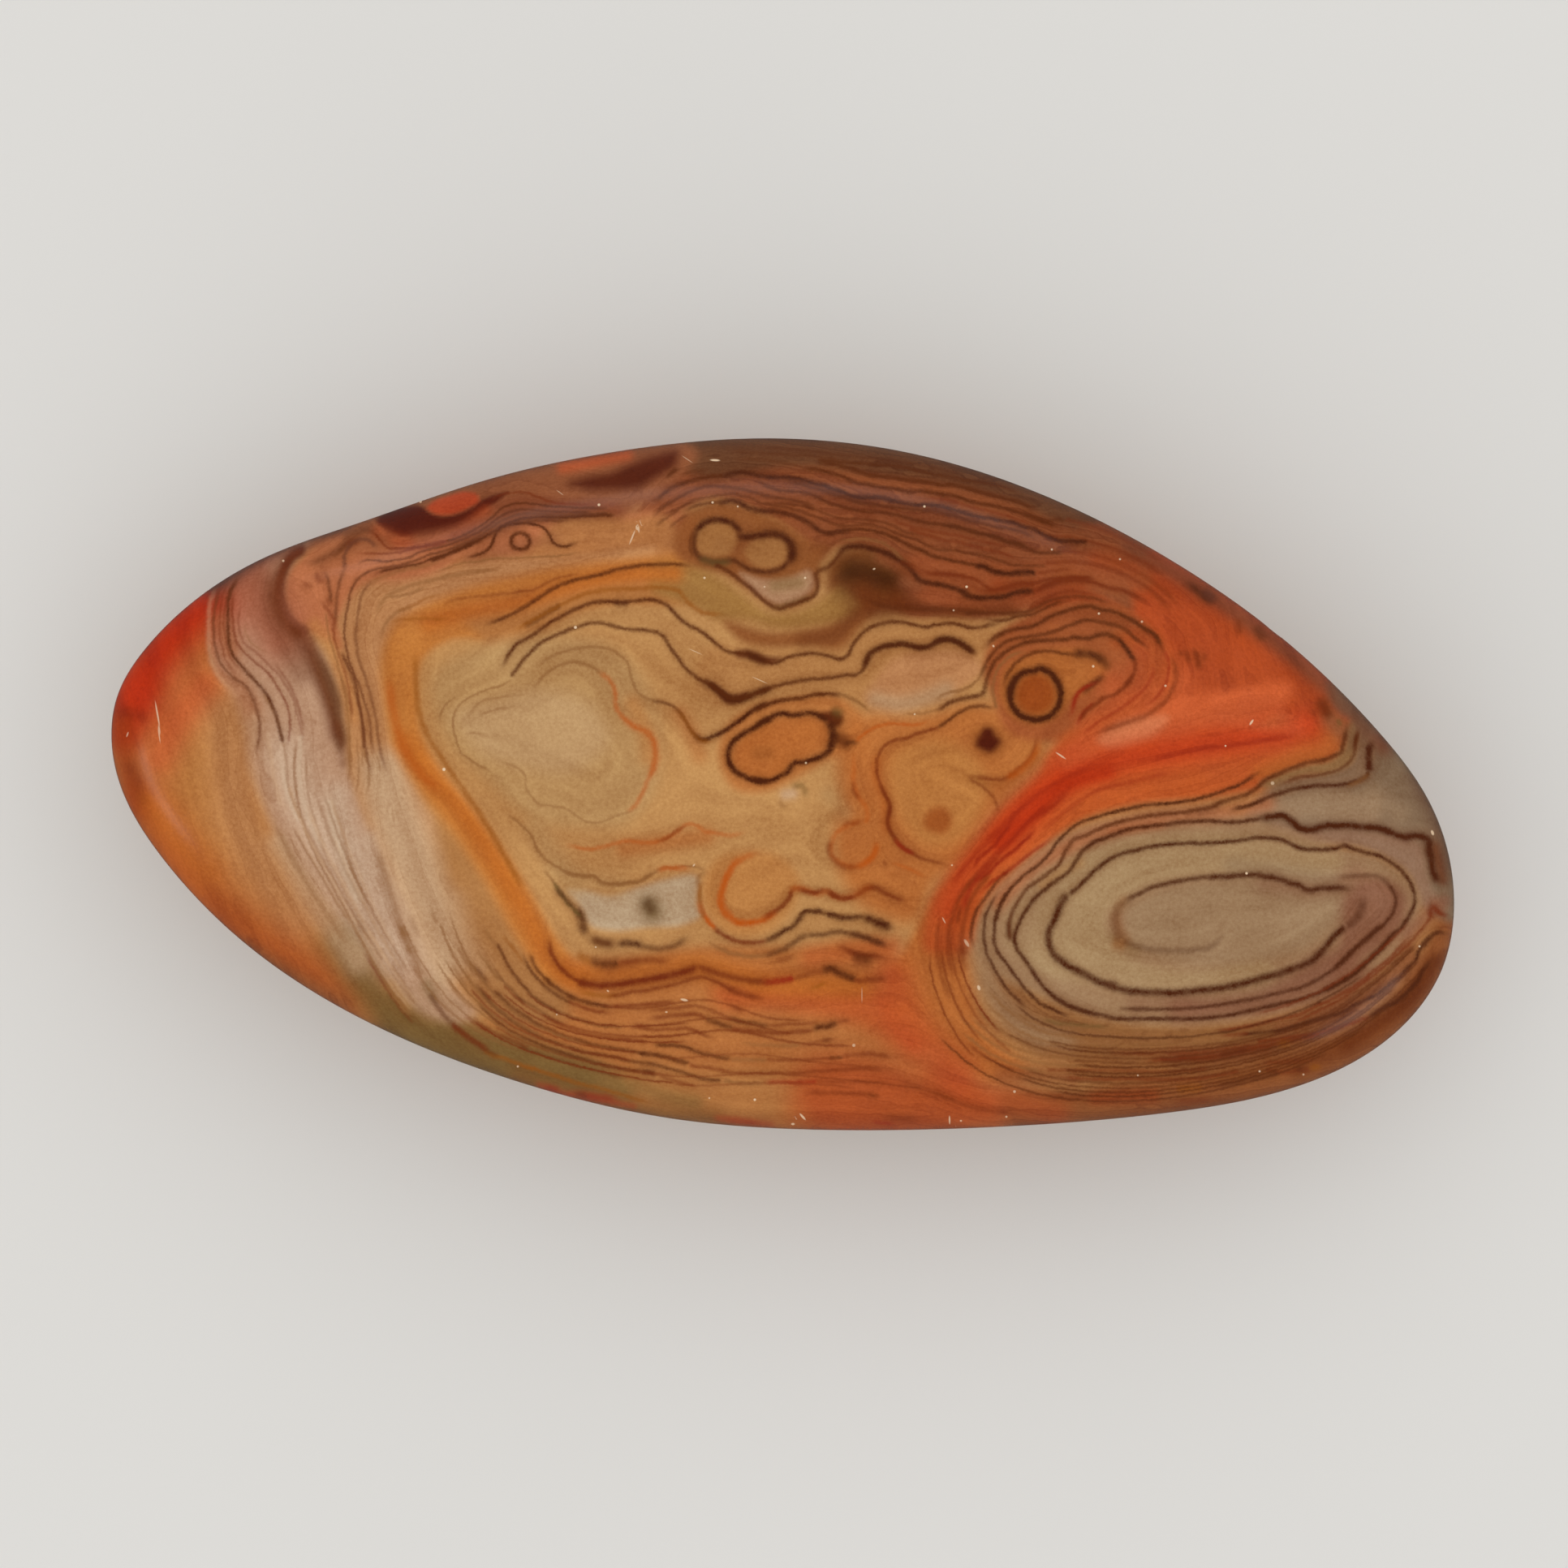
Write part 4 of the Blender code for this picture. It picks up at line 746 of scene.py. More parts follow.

# The fine bands, each a stroke: tint, half width in pixels, strength and points, read off.
STROKES = [
    # pale flank between the red tip and the soft dark band
    ("pale", 3.0, 0.23, [(268, 718), (259, 743), (257, 765), (267, 829), (277, 842), (290, 852)]),
    ("cocoa", 2.3, 0.54, [(274, 718), (267, 738), (267, 805), (271, 816), (279, 826), (287, 835), (297, 841),
        (306, 849), (312, 861), (320, 901), (314, 934)]),
    ("rust", 1.7, 0.36, [(281, 718), (275, 732), (271, 767), (271, 786), (275, 802), (279, 815), (298, 836)]),
    ("rust", 1.6, 0.33, [(285, 722), (278, 743), (279, 794), (284, 810), (303, 833)]),
    ("umber", 2.5, 0.71, [(299, 706), (284, 729), (281, 767), (286, 805), (299, 822), (316, 841), (326, 852),
        (338, 875), (348, 914)]),
    ("rust", 1.9, 0.52, [(292, 722), (288, 733), (287, 767), (293, 795), (309, 811), (330, 829), (347, 855),
        (354, 869), (357, 899), (353, 925)]),
    ("rust", 1.8, 0.33, [(297, 735), (295, 778), (300, 791), (319, 807), (335, 823), (343, 831), (352, 845),
        (359, 856), (366, 880), (373, 907), (374, 920)]),
    ("tan", 1.6, 0.29, [(302, 762), (303, 781), (309, 791), (333, 807)]),
    ("pale", 3.5, 0.19, [(306, 868), (313, 885), (309, 930)]),
    ("pale", 3.3, 0.23, [(325, 895), (333, 925), (338, 960), (345, 985), (354, 1004)]),
    # pale lines running down from the flank
    ("white", 2.8, 0.3, [(345, 928), (355, 982), (368, 1012)]),
    ("tan", 2.3, 0.42, [(372, 1014), (355, 968), (352, 930), (333, 868), (322, 850)]),
    ("tan", 2.2, 0.54, [(365, 905), (363, 957), (371, 1006), (421, 1113), (503, 1248), (511, 1257)]),
    ("white", 3.2, 0.25, [(371, 905), (369, 957), (379, 1006), (396, 1046)]),
    ("tan", 1.9, 0.33, [(378, 920), (377, 950), (379, 975), (392, 1022), (401, 1045)]),
    ("white", 6.2, 0.38, [(405, 985), (427, 1075), (446, 1116)]),
    ("tan", 2.3, 0.43, [(409, 974), (411, 990), (420, 1019), (428, 1051), (447, 1102), (456, 1118)]),
    # soft dark band, the lines right of it
    ("cocoa", 2.0, 0.26, [(420, 831), (432, 874), (433, 909)]),
    ("cocoa", 2.0, 0.68, [(448, 923), (448, 907), (444, 874), (441, 861), (438, 838), (429, 810), (425, 767),
        (428, 751), (438, 716), (458, 703), (472, 700), (501, 694), (531, 683), (550, 678), (568, 671),
        (585, 664), (603, 652), (618, 641), (635, 635), (700, 635), (730, 633), (760, 634)]),
    ("umber", 2.6, 0.47, [(429, 690), (418, 719), (414, 751), (414, 765)]),
    ("cocoa", 1.9, 0.53, [(420, 800), (424, 812), (445, 850), (449, 864), (456, 890), (457, 909),
        (462, 934)]),
    ("cocoa", 2.2, 0.46, [(460, 716), (453, 721), (440, 767), (438, 786), (440, 800), (442, 813), (447, 826),
        (464, 890), (468, 923), (478, 956)]),
    ("tan", 1.9, 0.46, [(448, 923), (453, 939), (453, 971), (449, 983)]),
    ("tan", 1.6, 0.38, [(440, 900), (440, 920), (442, 940), (440, 971), (436, 985)]),
    ("tan", 1.6, 0.38, [(444, 915), (446, 930), (447, 950)]),
    ("tan", 1.6, 0.38, [(463, 925), (467, 940), (468, 958)]),
    # bundle at the upper left, read from right to left
    ("bark", 4.1, 0.32, [(368, 694), (389, 692), (405, 684), (423, 671), (427, 662), (440, 655), (453, 652),
        (464, 659)]),
    ("rust", 2.0, 0.66, [(455, 652), (464, 660), (478, 675), (491, 676), (550, 667)]),
    ("rust", 1.7, 0.55, [(436, 682), (496, 680), (512, 676), (550, 670)]),
    ("umber", 1.8, 0.59, [(436, 700), (446, 692), (460, 690), (475, 692), (488, 690), (504, 687), (516, 681),
        (550, 672), (600, 649), (615, 637), (640, 628), (660, 629), (700, 631), (730, 631)]),
    ("umber", 2.2, 0.78, [(455, 711), (466, 706), (498, 698), (515, 695), (531, 689), (568, 676), (605, 657),
        (620, 647), (660, 637), (690, 638), (740, 635), (760, 635)]),
    ("tan", 3.2, 0.43, [(452, 720), (466, 713), (500, 702), (520, 698), (550, 690)]),
    ("tan", 2.3, 0.52, [(480, 736), (509, 730), (520, 725), (532, 722)]),
    ("ochre", 2.3, 0.47, [(490, 752), (509, 746), (517, 741), (531, 735), (550, 732)]),
    ("ochre", 2.3, 0.47, [(477, 776), (482, 767), (507, 763), (523, 762), (541, 763), (560, 761)]),
    # bundle over the small ring, upper left
    ("umber", 1.7, 0.66, [(550, 667), (566, 662), (600, 643), (622, 624), (640, 620), (680, 624),
        (755, 627)]),
    ("umber", 1.9, 0.55, [(645, 643), (665, 641), (690, 642), (710, 641)]),
    ("umber", 2.8, 0.77, [(532, 691), (545, 686), (573, 673), (590, 667), (600, 668)]),
    ("umber", 2.2, 0.83, [(569, 688), (598, 679), (606, 671), (609, 661), (614, 653), (631, 646), (652, 645),
        (671, 651), (676, 657), (683, 670), (699, 673), (708, 669), (719, 668)]),
    ("umber", 3.0, 0.83, [(651, 661), (637, 657), (631, 662), (630, 669), (634, 675), (650, 674), (653, 667),
        (651, 661)]),
    ("tan", 1.5, 0.55, [(720, 679), (680, 686), (660, 686), (640, 688), (602, 689), (590, 692), (569, 694),
        (550, 700), (530, 706)]),
    ("rust", 1.7, 0.55, [(600, 620), (612, 612), (640, 606), (685, 620), (710, 621), (738, 622)]),
    # lines over the cream heart of the stone
    ("umber", 2.8, 0.71, [(593, 772), (633, 756), (692, 720), (743, 707), (759, 702), (799, 696), (842, 696),
        (858, 699)]),
    ("rust", 1.9, 0.38, [(633, 729), (655, 727), (687, 712), (703, 709), (720, 704)]),
    ("rust", 2.1, 0.33, [(540, 745), (565, 738), (590, 735), (650, 729)]),
    ("bark", 3.8, 0.55, [(645, 772), (657, 766), (671, 757), (692, 745)]),
    ("ochre", 3.2, 0.57, [(629, 782), (645, 771), (682, 750), (735, 728), (773, 726), (829, 726), (838, 729),
        (843, 736), (864, 754), (897, 757)]),
    ("umber", 2.9, 0.76, [(616, 828), (628, 805), (636, 794), (647, 788), (667, 775), (676, 768), (692, 760),
        (705, 752), (735, 742), (773, 742), (802, 739), (821, 745), (829, 753), (846, 769), (858, 775),
        (869, 782), (900, 804), (915, 805), (939, 813), (952, 817), (975, 809), (1001, 805), (1027, 810),
        (1036, 812), (1044, 808), (1048, 800), (1066, 777), (1104, 766), (1130, 771), (1140, 773),
        (1152, 770), (1180, 769), (1194, 773), (1208, 773), (1220, 770), (1238, 768)]),
    ("bark", 5.0, 0.5, [(756, 742), (766, 743), (776, 742)]),
    ("bark", 5.6, 0.7, [(914, 805), (926, 808), (938, 813), (950, 817)]),
    ("umber", 2.9, 0.71, [(630, 833), (649, 808), (671, 789), (684, 783), (719, 770), (730, 767), (770, 775),
        (804, 778), (815, 782), (826, 798), (861, 837), (872, 842), (882, 848), (903, 861), (915, 860),
        (942, 850), (972, 841), (1031, 834), (1045, 832), (1056, 831), (1063, 826), (1069, 810), (1084, 798),
        (1095, 796), (1107, 794), (1120, 795), (1143, 797), (1150, 792), (1159, 789), (1190, 797),
        (1198, 803), (1206, 806)]),
    ("bark", 5.2, 0.85, [(856, 835), (880, 847), (902, 862), (942, 850), (955, 846)]),
    ("bark", 4.4, 0.75, [(1064, 826), (1067, 815), (1073, 805), (1097, 795), (1110, 793), (1134, 798),
        (1146, 796), (1157, 789), (1182, 791), (1192, 798), (1204, 805)]),
    ("bark", 3.6, 0.5, [(1150, 792), (1160, 788), (1182, 793), (1192, 799), (1205, 806)]),
    # twin orbs
    ("bark", 4.5, 0.85, [(914, 661), (908, 650), (900, 644), (867, 645), (860, 652), (856, 661)]),
    ("bark", 4.0, 0.68, [(860, 650), (856, 661), (858, 682), (866, 689), (892, 692), (902, 690), (920, 700),
        (945, 705), (968, 696), (975, 687)]),
    ("olive", 5.6, 0.47, [(858, 684), (868, 690), (893, 693), (905, 691)]),
    ("umber", 1.9, 0.47, [(856, 650), (851, 660), (853, 684), (858, 691)]),
    ("bark", 5.6, 0.85, [(908, 652), (914, 661), (925, 661), (963, 660), (972, 667), (975, 687), (968, 696)]),
    ("umber", 6.0, 0.57, [(970, 664), (977, 674), (978, 684), (972, 694)]),
    ("umber", 3.1, 0.71, [(880, 695), (900, 706), (909, 713), (920, 720), (939, 738), (961, 750), (972, 746),
        (985, 742), (1006, 730), (1008, 719), (1005, 708), (1009, 703), (1020, 699), (1028, 692), (1036, 681),
        (1042, 676)]),
    ("olive", 4.6, 0.38, [(940, 742), (952, 747), (962, 748), (975, 743), (990, 739), (1003, 734)]),
    ("bark", 4.1, 0.85, [(1033, 686), (1036, 680), (1052, 673), (1065, 674), (1124, 703), (1132, 714),
        (1156, 720), (1180, 726), (1199, 736), (1223, 736), (1237, 735), (1248, 731), (1277, 728)]),
    ("bark", 5.7, 0.6, [(1180, 727), (1190, 732), (1200, 737)]),
    ("rust", 2.8, 0.71, [(1270, 729), (1279, 727), (1288, 721), (1336, 712), (1350, 714)]),
    # faint loops in the cream heart
    ("tan", 2.2, 0.52, [(657, 824), (671, 814), (727, 797), (748, 799), (772, 815), (782, 847), (789, 856),
        (814, 865)]),
    ("umber", 2.3, 0.57, [(800, 862), (829, 870), (845, 888), (850, 898), (857, 906), (866, 910)]),
    ("bark", 3.4, 0.9, [(852, 902), (858, 908), (867, 911), (880, 907), (915, 885), (936, 870), (950, 866)]),
    ("ochre", 3.3, 0.43, [(826, 868), (838, 878), (862, 911), (875, 914), (888, 908)]),
    ("tan", 2.3, 0.57, [(654, 857), (657, 849), (664, 840), (674, 829), (712, 816), (724, 819), (746, 833)]),
    ("orange", 3.4, 0.47, [(735, 825), (754, 842), (758, 855), (758, 866), (778, 893), (799, 904), (805, 912),
        (807, 923), (805, 947), (800, 958), (789, 982), (782, 994), (770, 1002)]),
    ("orange", 6.0, 0.33, [(762, 877), (772, 888), (785, 896), (798, 903), (806, 915), (806, 945),
        (800, 960)]),
    ("tan", 1.8, 0.52, [(636, 832), (622, 843), (601, 849), (585, 856), (565, 870), (558, 890), (564, 917),
        (569, 928), (580, 936), (590, 943), (601, 948), (609, 957)]),
    ("tan", 1.7, 0.38, [(641, 869), (606, 876), (593, 881), (584, 890)]),
    ("tan", 1.7, 0.33, [(648, 856), (622, 858), (588, 868), (580, 878), (576, 890)]),
    ("tan", 1.8, 0.43, [(569, 856), (556, 862), (542, 882), (543, 896)]),
    ("tan", 1.8, 0.33, [(600, 905), (585, 903), (570, 905)]),
    ("tan", 1.9, 0.38, [(609, 933), (623, 940), (636, 945), (647, 956), (648, 971), (655, 981), (663, 990),
        (679, 993), (695, 996), (708, 1003), (719, 1011), (735, 1014), (762, 1004), (778, 1000), (789, 992)]),
    ("tan", 2.1, 0.57, [(620, 998), (628, 1005), (639, 1013), (657, 1034), (661, 1046), (692, 1071),
        (719, 1079), (732, 1079), (741, 1086), (762, 1089), (773, 1087), (786, 1087), (807, 1074),
        (818, 1069), (831, 1069), (845, 1067), (869, 1074), (872, 1080)]),
    ("orange", 3.0, 0.43, [(692, 1040), (708, 1043), (724, 1046), (756, 1040), (773, 1036), (789, 1038),
        (805, 1038), (829, 1028), (850, 1015), (861, 1019), (869, 1025), (882, 1026), (896, 1029),
        (909, 1028), (923, 1023)]),
    ("rust", 2.4, 0.43, [(806, 1037), (818, 1034), (838, 1021), (849, 1016)]),
    ("tan", 2.2, 0.47, [(668, 1070), (680, 1084), (687, 1095)]),
    ("olive", 3.0, 0.66, [(680, 1084), (703, 1117), (720, 1132)]),
    ("tan", 3.2, 0.47, [(868, 1074), (861, 1081), (862, 1097), (862, 1110), (865, 1121), (867, 1132)]),
    ("orange", 4.4, 0.47, [(940, 1048), (907, 1063), (898, 1075), (893, 1089), (889, 1102), (890, 1113),
        (903, 1131)]),
    # peanut
    ("bark", 4.2, 0.9, [(952, 962), (941, 963), (915, 956), (904, 949), (897, 931), (899, 921), (912, 906),
        (922, 901), (933, 894), (941, 888), (948, 886), (953, 882), (964, 879), (975, 881), (1001, 879),
        (1021, 888)]),
    # stripes of the upper shoulder, from the top edge inwards
    ("umber", 2.3, 0.33, [(930, 550), (1001, 556), (1082, 566), (1135, 573), (1189, 586)]),
    ("umber", 2.2, 0.33, [(890, 555), (961, 560), (1001, 562), (1030, 566)]),
    ("umber", 2.5, 0.57, [(1009, 567), (1086, 573), (1107, 575), (1154, 585), (1175, 588), (1190, 592),
        (1216, 595), (1242, 602), (1262, 610)]),
    ("umber", 2.1, 0.38, [(900, 566), (935, 566), (1000, 577)]),
    ("umber", 3.0, 0.71, [(1000, 569), (1027, 572), (1046, 577), (1072, 586), (1095, 588), (1132, 593),
        (1144, 594), (1156, 597), (1178, 598), (1189, 601), (1240, 615), (1251, 617), (1260, 621),
        (1285, 631)]),
    ("umber", 3.0, 0.76, [(980, 577), (1013, 580), (1037, 587), (1053, 594), (1075, 598), (1083, 600),
        (1102, 602), (1121, 606), (1131, 605), (1161, 609), (1173, 610), (1193, 617), (1210, 621),
        (1220, 622), (1231, 625), (1260, 633), (1269, 637), (1312, 652)]),
    ("umber", 2.8, 0.57, [(1251, 626), (1281, 639), (1291, 642), (1301, 640), (1312, 641)]),
    ("rust", 2.3, 0.47, [(1130, 615), (1150, 614), (1175, 618), (1200, 626), (1225, 631), (1280, 650)]),
    ("umber", 2.9, 0.76, [(820, 592), (830, 580), (840, 577)]),
    ("umber", 2.3, 0.38, [(832, 587), (860, 580), (880, 579)]),
    ("bark", 3.4, 0.85, [(888, 589), (900, 584), (913, 582), (942, 587), (983, 590), (1006, 596), (1015, 598),
        (1022, 601), (1038, 606), (1046, 610), (1069, 613), (1083, 613), (1092, 615), (1128, 622),
        (1140, 622), (1168, 626), (1180, 630), (1190, 632), (1210, 638), (1220, 638), (1231, 641),
        (1251, 645), (1260, 649), (1271, 651), (1286, 659), (1304, 666), (1323, 667), (1340, 668)]),
    ("umber", 3.0, 0.76, [(800, 624), (830, 600), (851, 593), (889, 587), (897, 588)]),
    ("umber", 2.6, 0.66, [(925, 589), (933, 592), (941, 597), (960, 604), (974, 605), (1001, 610),
        (1027, 622), (1036, 624), (1064, 630), (1075, 630), (1147, 645), (1172, 648), (1205, 657),
        (1231, 663), (1240, 667), (1251, 669), (1268, 676), (1275, 680), (1293, 681), (1310, 681)]),
    ("umber", 3.0, 0.57, [(1158, 646), (1172, 648), (1205, 657), (1231, 663), (1240, 667), (1251, 669),
        (1268, 676)]),
    ("umber", 2.8, 0.66, [(960, 592), (975, 595), (990, 597), (1000, 601), (1009, 603), (1027, 609),
        (1038, 612), (1048, 616), (1097, 624), (1138, 629), (1147, 629), (1161, 632), (1175, 635),
        (1189, 640), (1220, 647), (1231, 650), (1240, 651), (1270, 660), (1283, 667)]),
    ("umber", 2.6, 0.62, [(800, 641), (809, 632), (848, 607), (870, 599), (890, 600), (916, 603), (925, 606),
        (935, 608), (943, 611), (954, 613), (1001, 622), (1012, 626)]),
    ("umber", 2.2, 0.52, [(808, 641), (820, 633), (831, 629), (859, 615), (870, 613), (895, 609), (905, 608),
        (914, 611), (923, 613), (938, 620), (966, 621), (992, 624), (1003, 628)]),
    ("bark", 3.8, 0.75, [(883, 620), (903, 617), (925, 627), (943, 630), (954, 630), (964, 632), (990, 640),
        (1004, 650), (1011, 655), (1024, 657), (1032, 655), (1050, 653)]),
    ("umber", 2.8, 0.76, [(1032, 655), (1060, 652), (1115, 669), (1122, 673), (1131, 676), (1149, 685),
        (1171, 690), (1212, 698)]),
    ("bark", 4.1, 0.9, [(1203, 696), (1212, 698), (1224, 704), (1239, 707), (1260, 705), (1278, 706)]),
    ("rust", 2.5, 0.47, [(1275, 706), (1297, 704), (1312, 702), (1326, 702)]),
    ("umber", 2.4, 0.57, [(840, 633), (857, 623), (868, 621), (889, 618)]),
    ("umber", 2.1, 0.47, [(822, 655), (836, 641), (852, 632)]),
    ("umber", 2.1, 0.47, [(806, 652), (812, 645), (838, 628)]),
    ("umber", 2.2, 0.51, [(935, 622), (947, 622), (957, 624), (968, 625), (978, 628), (987, 630), (997, 634),
        (1016, 641), (1024, 645), (1044, 648), (1064, 646), (1116, 661), (1134, 667), (1142, 672),
        (1165, 678), (1176, 678), (1187, 680), (1210, 684), (1249, 696), (1289, 697)]),
    ("umber", 2.1, 0.47, [(985, 620), (1018, 633), (1027, 637), (1058, 640), (1097, 646), (1114, 655),
        (1123, 657), (1140, 663)]),
    ("rust", 2.4, 0.47, [(1120, 651), (1137, 658), (1147, 660), (1168, 667), (1178, 667), (1188, 670),
        (1210, 675), (1220, 678), (1231, 680), (1255, 689), (1263, 690)]),
    ("rust", 2.3, 0.43, [(1090, 638), (1110, 645), (1150, 655), (1170, 658), (1245, 675)]),
    ("tan", 2.3, 0.47, [(1027, 671), (1034, 667), (1046, 665), (1088, 669), (1114, 690), (1122, 695)]),
    ("rust", 2.6, 0.66, [(1135, 706), (1170, 708), (1208, 717), (1220, 726), (1227, 727), (1234, 725),
        (1254, 719), (1277, 718), (1287, 715), (1335, 712), (1358, 716)]),
    ("rust", 3.0, 0.71, [(1278, 728), (1285, 724), (1338, 716), (1362, 723), (1387, 729), (1419, 745)]),
    ("rust", 2.3, 0.47, [(1262, 753), (1271, 749), (1298, 733), (1318, 729), (1362, 736)]),
    ("umber", 2.4, 0.57, [(1190, 756), (1210, 755), (1251, 755), (1274, 751), (1283, 745), (1347, 737),
        (1360, 741), (1375, 745)]),
    ("umber", 2.5, 0.66, [(1208, 763), (1240, 764), (1251, 760), (1275, 756), (1284, 751), (1312, 740),
        (1323, 738)]),
    ("umber", 3.0, 0.76, [(1212, 804), (1221, 789), (1240, 778), (1277, 770), (1292, 761), (1323, 750),
        (1341, 747), (1360, 752), (1369, 753), (1408, 773), (1425, 785), (1433, 799)]),
    ("umber", 2.8, 0.64, [(1415, 806), (1412, 798), (1398, 786), (1382, 773), (1368, 769), (1340, 764),
        (1314, 772), (1296, 779), (1266, 785), (1250, 787), (1234, 794), (1211, 828), (1208, 840)]),
    ("bark", 3.6, 0.85, [(1372, 782), (1380, 789), (1385, 796), (1396, 811), (1399, 818)]),
    ("rust", 3.4, 0.66, [(1396, 811), (1399, 818), (1388, 843), (1380, 849)]),
    # brush-like streaks and dark spots of the red shoulder
    ("rust", 3.7, 0.71, [(1469, 796), (1475, 809), (1479, 829)]),
    ("rust", 3.2, 0.43, [(1461, 798), (1463, 808), (1467, 820)]),
    ("rust", 3.0, 0.38, [(1453, 800), (1455, 810)]),
    ("rust", 2.8, 0.38, [(1484, 804), (1484, 816)]),
    ("rust", 3.9, 0.52, [(1526, 758), (1527, 772), (1528, 786)]),
    ("umber", 6.0, 0.47, [(1545, 768), (1552, 780), (1560, 792)]),
    ("bark", 5.0, 0.65, [(1456, 713), (1475, 728), (1500, 749)]),
    ("plum", 6.2, 0.57, [(1478, 724), (1496, 739), (1500, 744)]),
    ("umber", 6.0, 0.52, [(1626, 856), (1632, 868), (1641, 890)]),
    ("rust", 3.9, 0.33, [(1618, 872), (1619, 885)]),
    ("olive", 3.3, 0.47, [(1648, 884), (1652, 896)]),
    ("umber", 3.1, 0.81, [(930, 876), (950, 866), (974, 861), (988, 860), (1001, 856), (1038, 856)]),
    ("tan", 2.6, 0.66, [(1032, 855), (1040, 857), (1063, 869), (1077, 881)]),
    # peanut-shaped ring
    ("bark", 3.8, 0.9, [(928, 899), (945, 886), (954, 882)]),
    ("umber", 7.0, 0.71, [(1016, 882), (1026, 881), (1034, 884), (1030, 892), (1026, 899)]),
    ("olive", 6.0, 0.47, [(1022, 878), (1032, 877), (1038, 884)]),
    ("bark", 6.2, 0.85, [(1022, 889), (1026, 900), (1024, 921)]),
    ("umber", 6.5, 0.57, [(1026, 905), (1034, 912), (1040, 917), (1034, 921)]),
    ("bark", 3.4, 0.6, [(1038, 915), (1048, 915), (1060, 914)]),
    ("bark", 4.3, 0.9, [(1026, 920), (1018, 928), (990, 939), (980, 940), (969, 952), (962, 957)]),
    ("bark", 3.6, 0.9, [(969, 952), (945, 963), (934, 961), (922, 959)]),
    # lines round the dark spot and down its left side
    ("tan", 2.3, 0.66, [(1144, 866), (1173, 852), (1186, 850), (1205, 837), (1213, 820)]),
    ("umber", 3.4, 0.75, [(1152, 878), (1173, 864), (1199, 858), (1211, 855), (1213, 848), (1226, 815),
        (1272, 790), (1296, 789), (1308, 788), (1315, 788), (1322, 785), (1330, 786), (1347, 785),
        (1350, 783), (1373, 785), (1382, 793)]),
    ("tan", 2.3, 0.57, [(1228, 873), (1223, 850), (1231, 822), (1253, 805), (1269, 802)]),
    ("umber", 2.6, 0.66, [(1236, 852), (1239, 835), (1266, 807), (1296, 802), (1309, 805), (1325, 807),
        (1339, 811)]),
    ("bark", 5.6, 0.75, [(1318, 805), (1341, 806), (1359, 814), (1363, 821)]),
    ("umber", 6.5, 0.71, [(1348, 809), (1357, 813), (1363, 820), (1359, 830)]),
    ("bark", 4.8, 0.7, [(1362, 826), (1358, 833), (1351, 839), (1334, 851), (1328, 853)]),
    ("rust", 3.2, 0.66, [(1398, 830), (1386, 846), (1374, 855), (1359, 861), (1347, 870), (1338, 876),
        (1329, 892)]),
    ("tan", 1.9, 0.43, [(1108, 880), (1146, 877), (1160, 872)]),
    ("umber", 2.8, 0.71, [(1233, 873), (1205, 870), (1181, 878), (1173, 884), (1154, 898)]),
    ("rust", 2.6, 0.62, [(1160, 894), (1154, 898), (1143, 900), (1132, 903), (1122, 908), (1097, 914),
        (1084, 927), (1083, 963), (1092, 982), (1096, 992), (1094, 1011)]),
    ("rust", 2.9, 0.52, [(1096, 990), (1096, 1022), (1102, 1031), (1108, 1040), (1130, 1055)]),
    ("rust", 2.7, 0.52, [(1175, 1069), (1154, 1062), (1141, 1060), (1119, 1048), (1106, 1039), (1096, 1022),
        (1093, 1014), (1097, 996), (1095, 986), (1090, 979), (1087, 971), (1083, 963)]),
    ("orange", 6.6, 0.38, [(1087, 920), (1080, 938), (1079, 955), (1090, 985), (1092, 1003), (1092, 1018),
        (1100, 1036)]),
    ("rust", 3.0, 0.57, [(1279, 900), (1277, 914), (1272, 928), (1266, 939), (1258, 945), (1237, 960),
        (1210, 958), (1199, 957), (1190, 953)]),
    ("orange", 5.0, 0.47, [(1282, 905), (1279, 920), (1262, 945), (1236, 962)]),
    ("rust", 2.3, 0.47, [(1192, 956), (1200, 963), (1213, 971), (1229, 998), (1223, 1007)]),
    ("orange", 3.6, 0.39, [(1080, 1034), (1076, 1054), (1068, 1063), (1044, 1067), (1025, 1054), (1027, 1032),
        (1049, 1015), (1065, 1012)]),
    ("orange", 3.4, 0.38, [(1066, 1015), (1069, 1003), (1057, 979), (1052, 965), (1052, 949), (1052, 933),
        (1054, 922)]),
    ("orange", 2.5, 0.52, [(1054, 914), (1065, 904), (1092, 892), (1135, 892), (1150, 885)]),
    ("rust", 2.5, 0.43, [(936, 1131), (958, 1120), (966, 1115), (972, 1105), (976, 1097), (988, 1095),
        (998, 1099), (1009, 1101), (1018, 1097), (1024, 1103), (1057, 1103), (1065, 1096), (1079, 1094),
        (1087, 1098), (1111, 1109), (1122, 1111)]),
    ("orange", 4.5, 0.38, [(972, 1105), (976, 1096), (988, 1095), (998, 1099), (1009, 1101), (1018, 1098),
        (1030, 1105), (1058, 1102), (1067, 1095), (1080, 1094)]),
    ("tan", 2.5, 0.71, [(980, 1134), (984, 1128), (990, 1124), (1014, 1125), (1028, 1127), (1055, 1126)]),
    ("orange", 2.8, 0.39, [(1095, 1062), (1122, 1071), (1143, 1083)]),
    # ringed spot
    ("bark", 5.0, 0.95, [(1307, 856), (1299, 878), (1276, 887), (1252, 877), (1246, 867), (1253, 834),
        (1263, 828), (1272, 827), (1280, 824), (1298, 833), (1307, 856)]),
    ("bark", 5.0, 0.6, [(1253, 834), (1245, 850), (1245, 862)]),
    # red zone
    ("red", 3.2, 0.76, [(1360, 838), (1339, 846), (1329, 853), (1321, 875), (1316, 888)]),
    ("red", 2.5, 0.66, [(1352, 863), (1335, 878), (1325, 897)]),
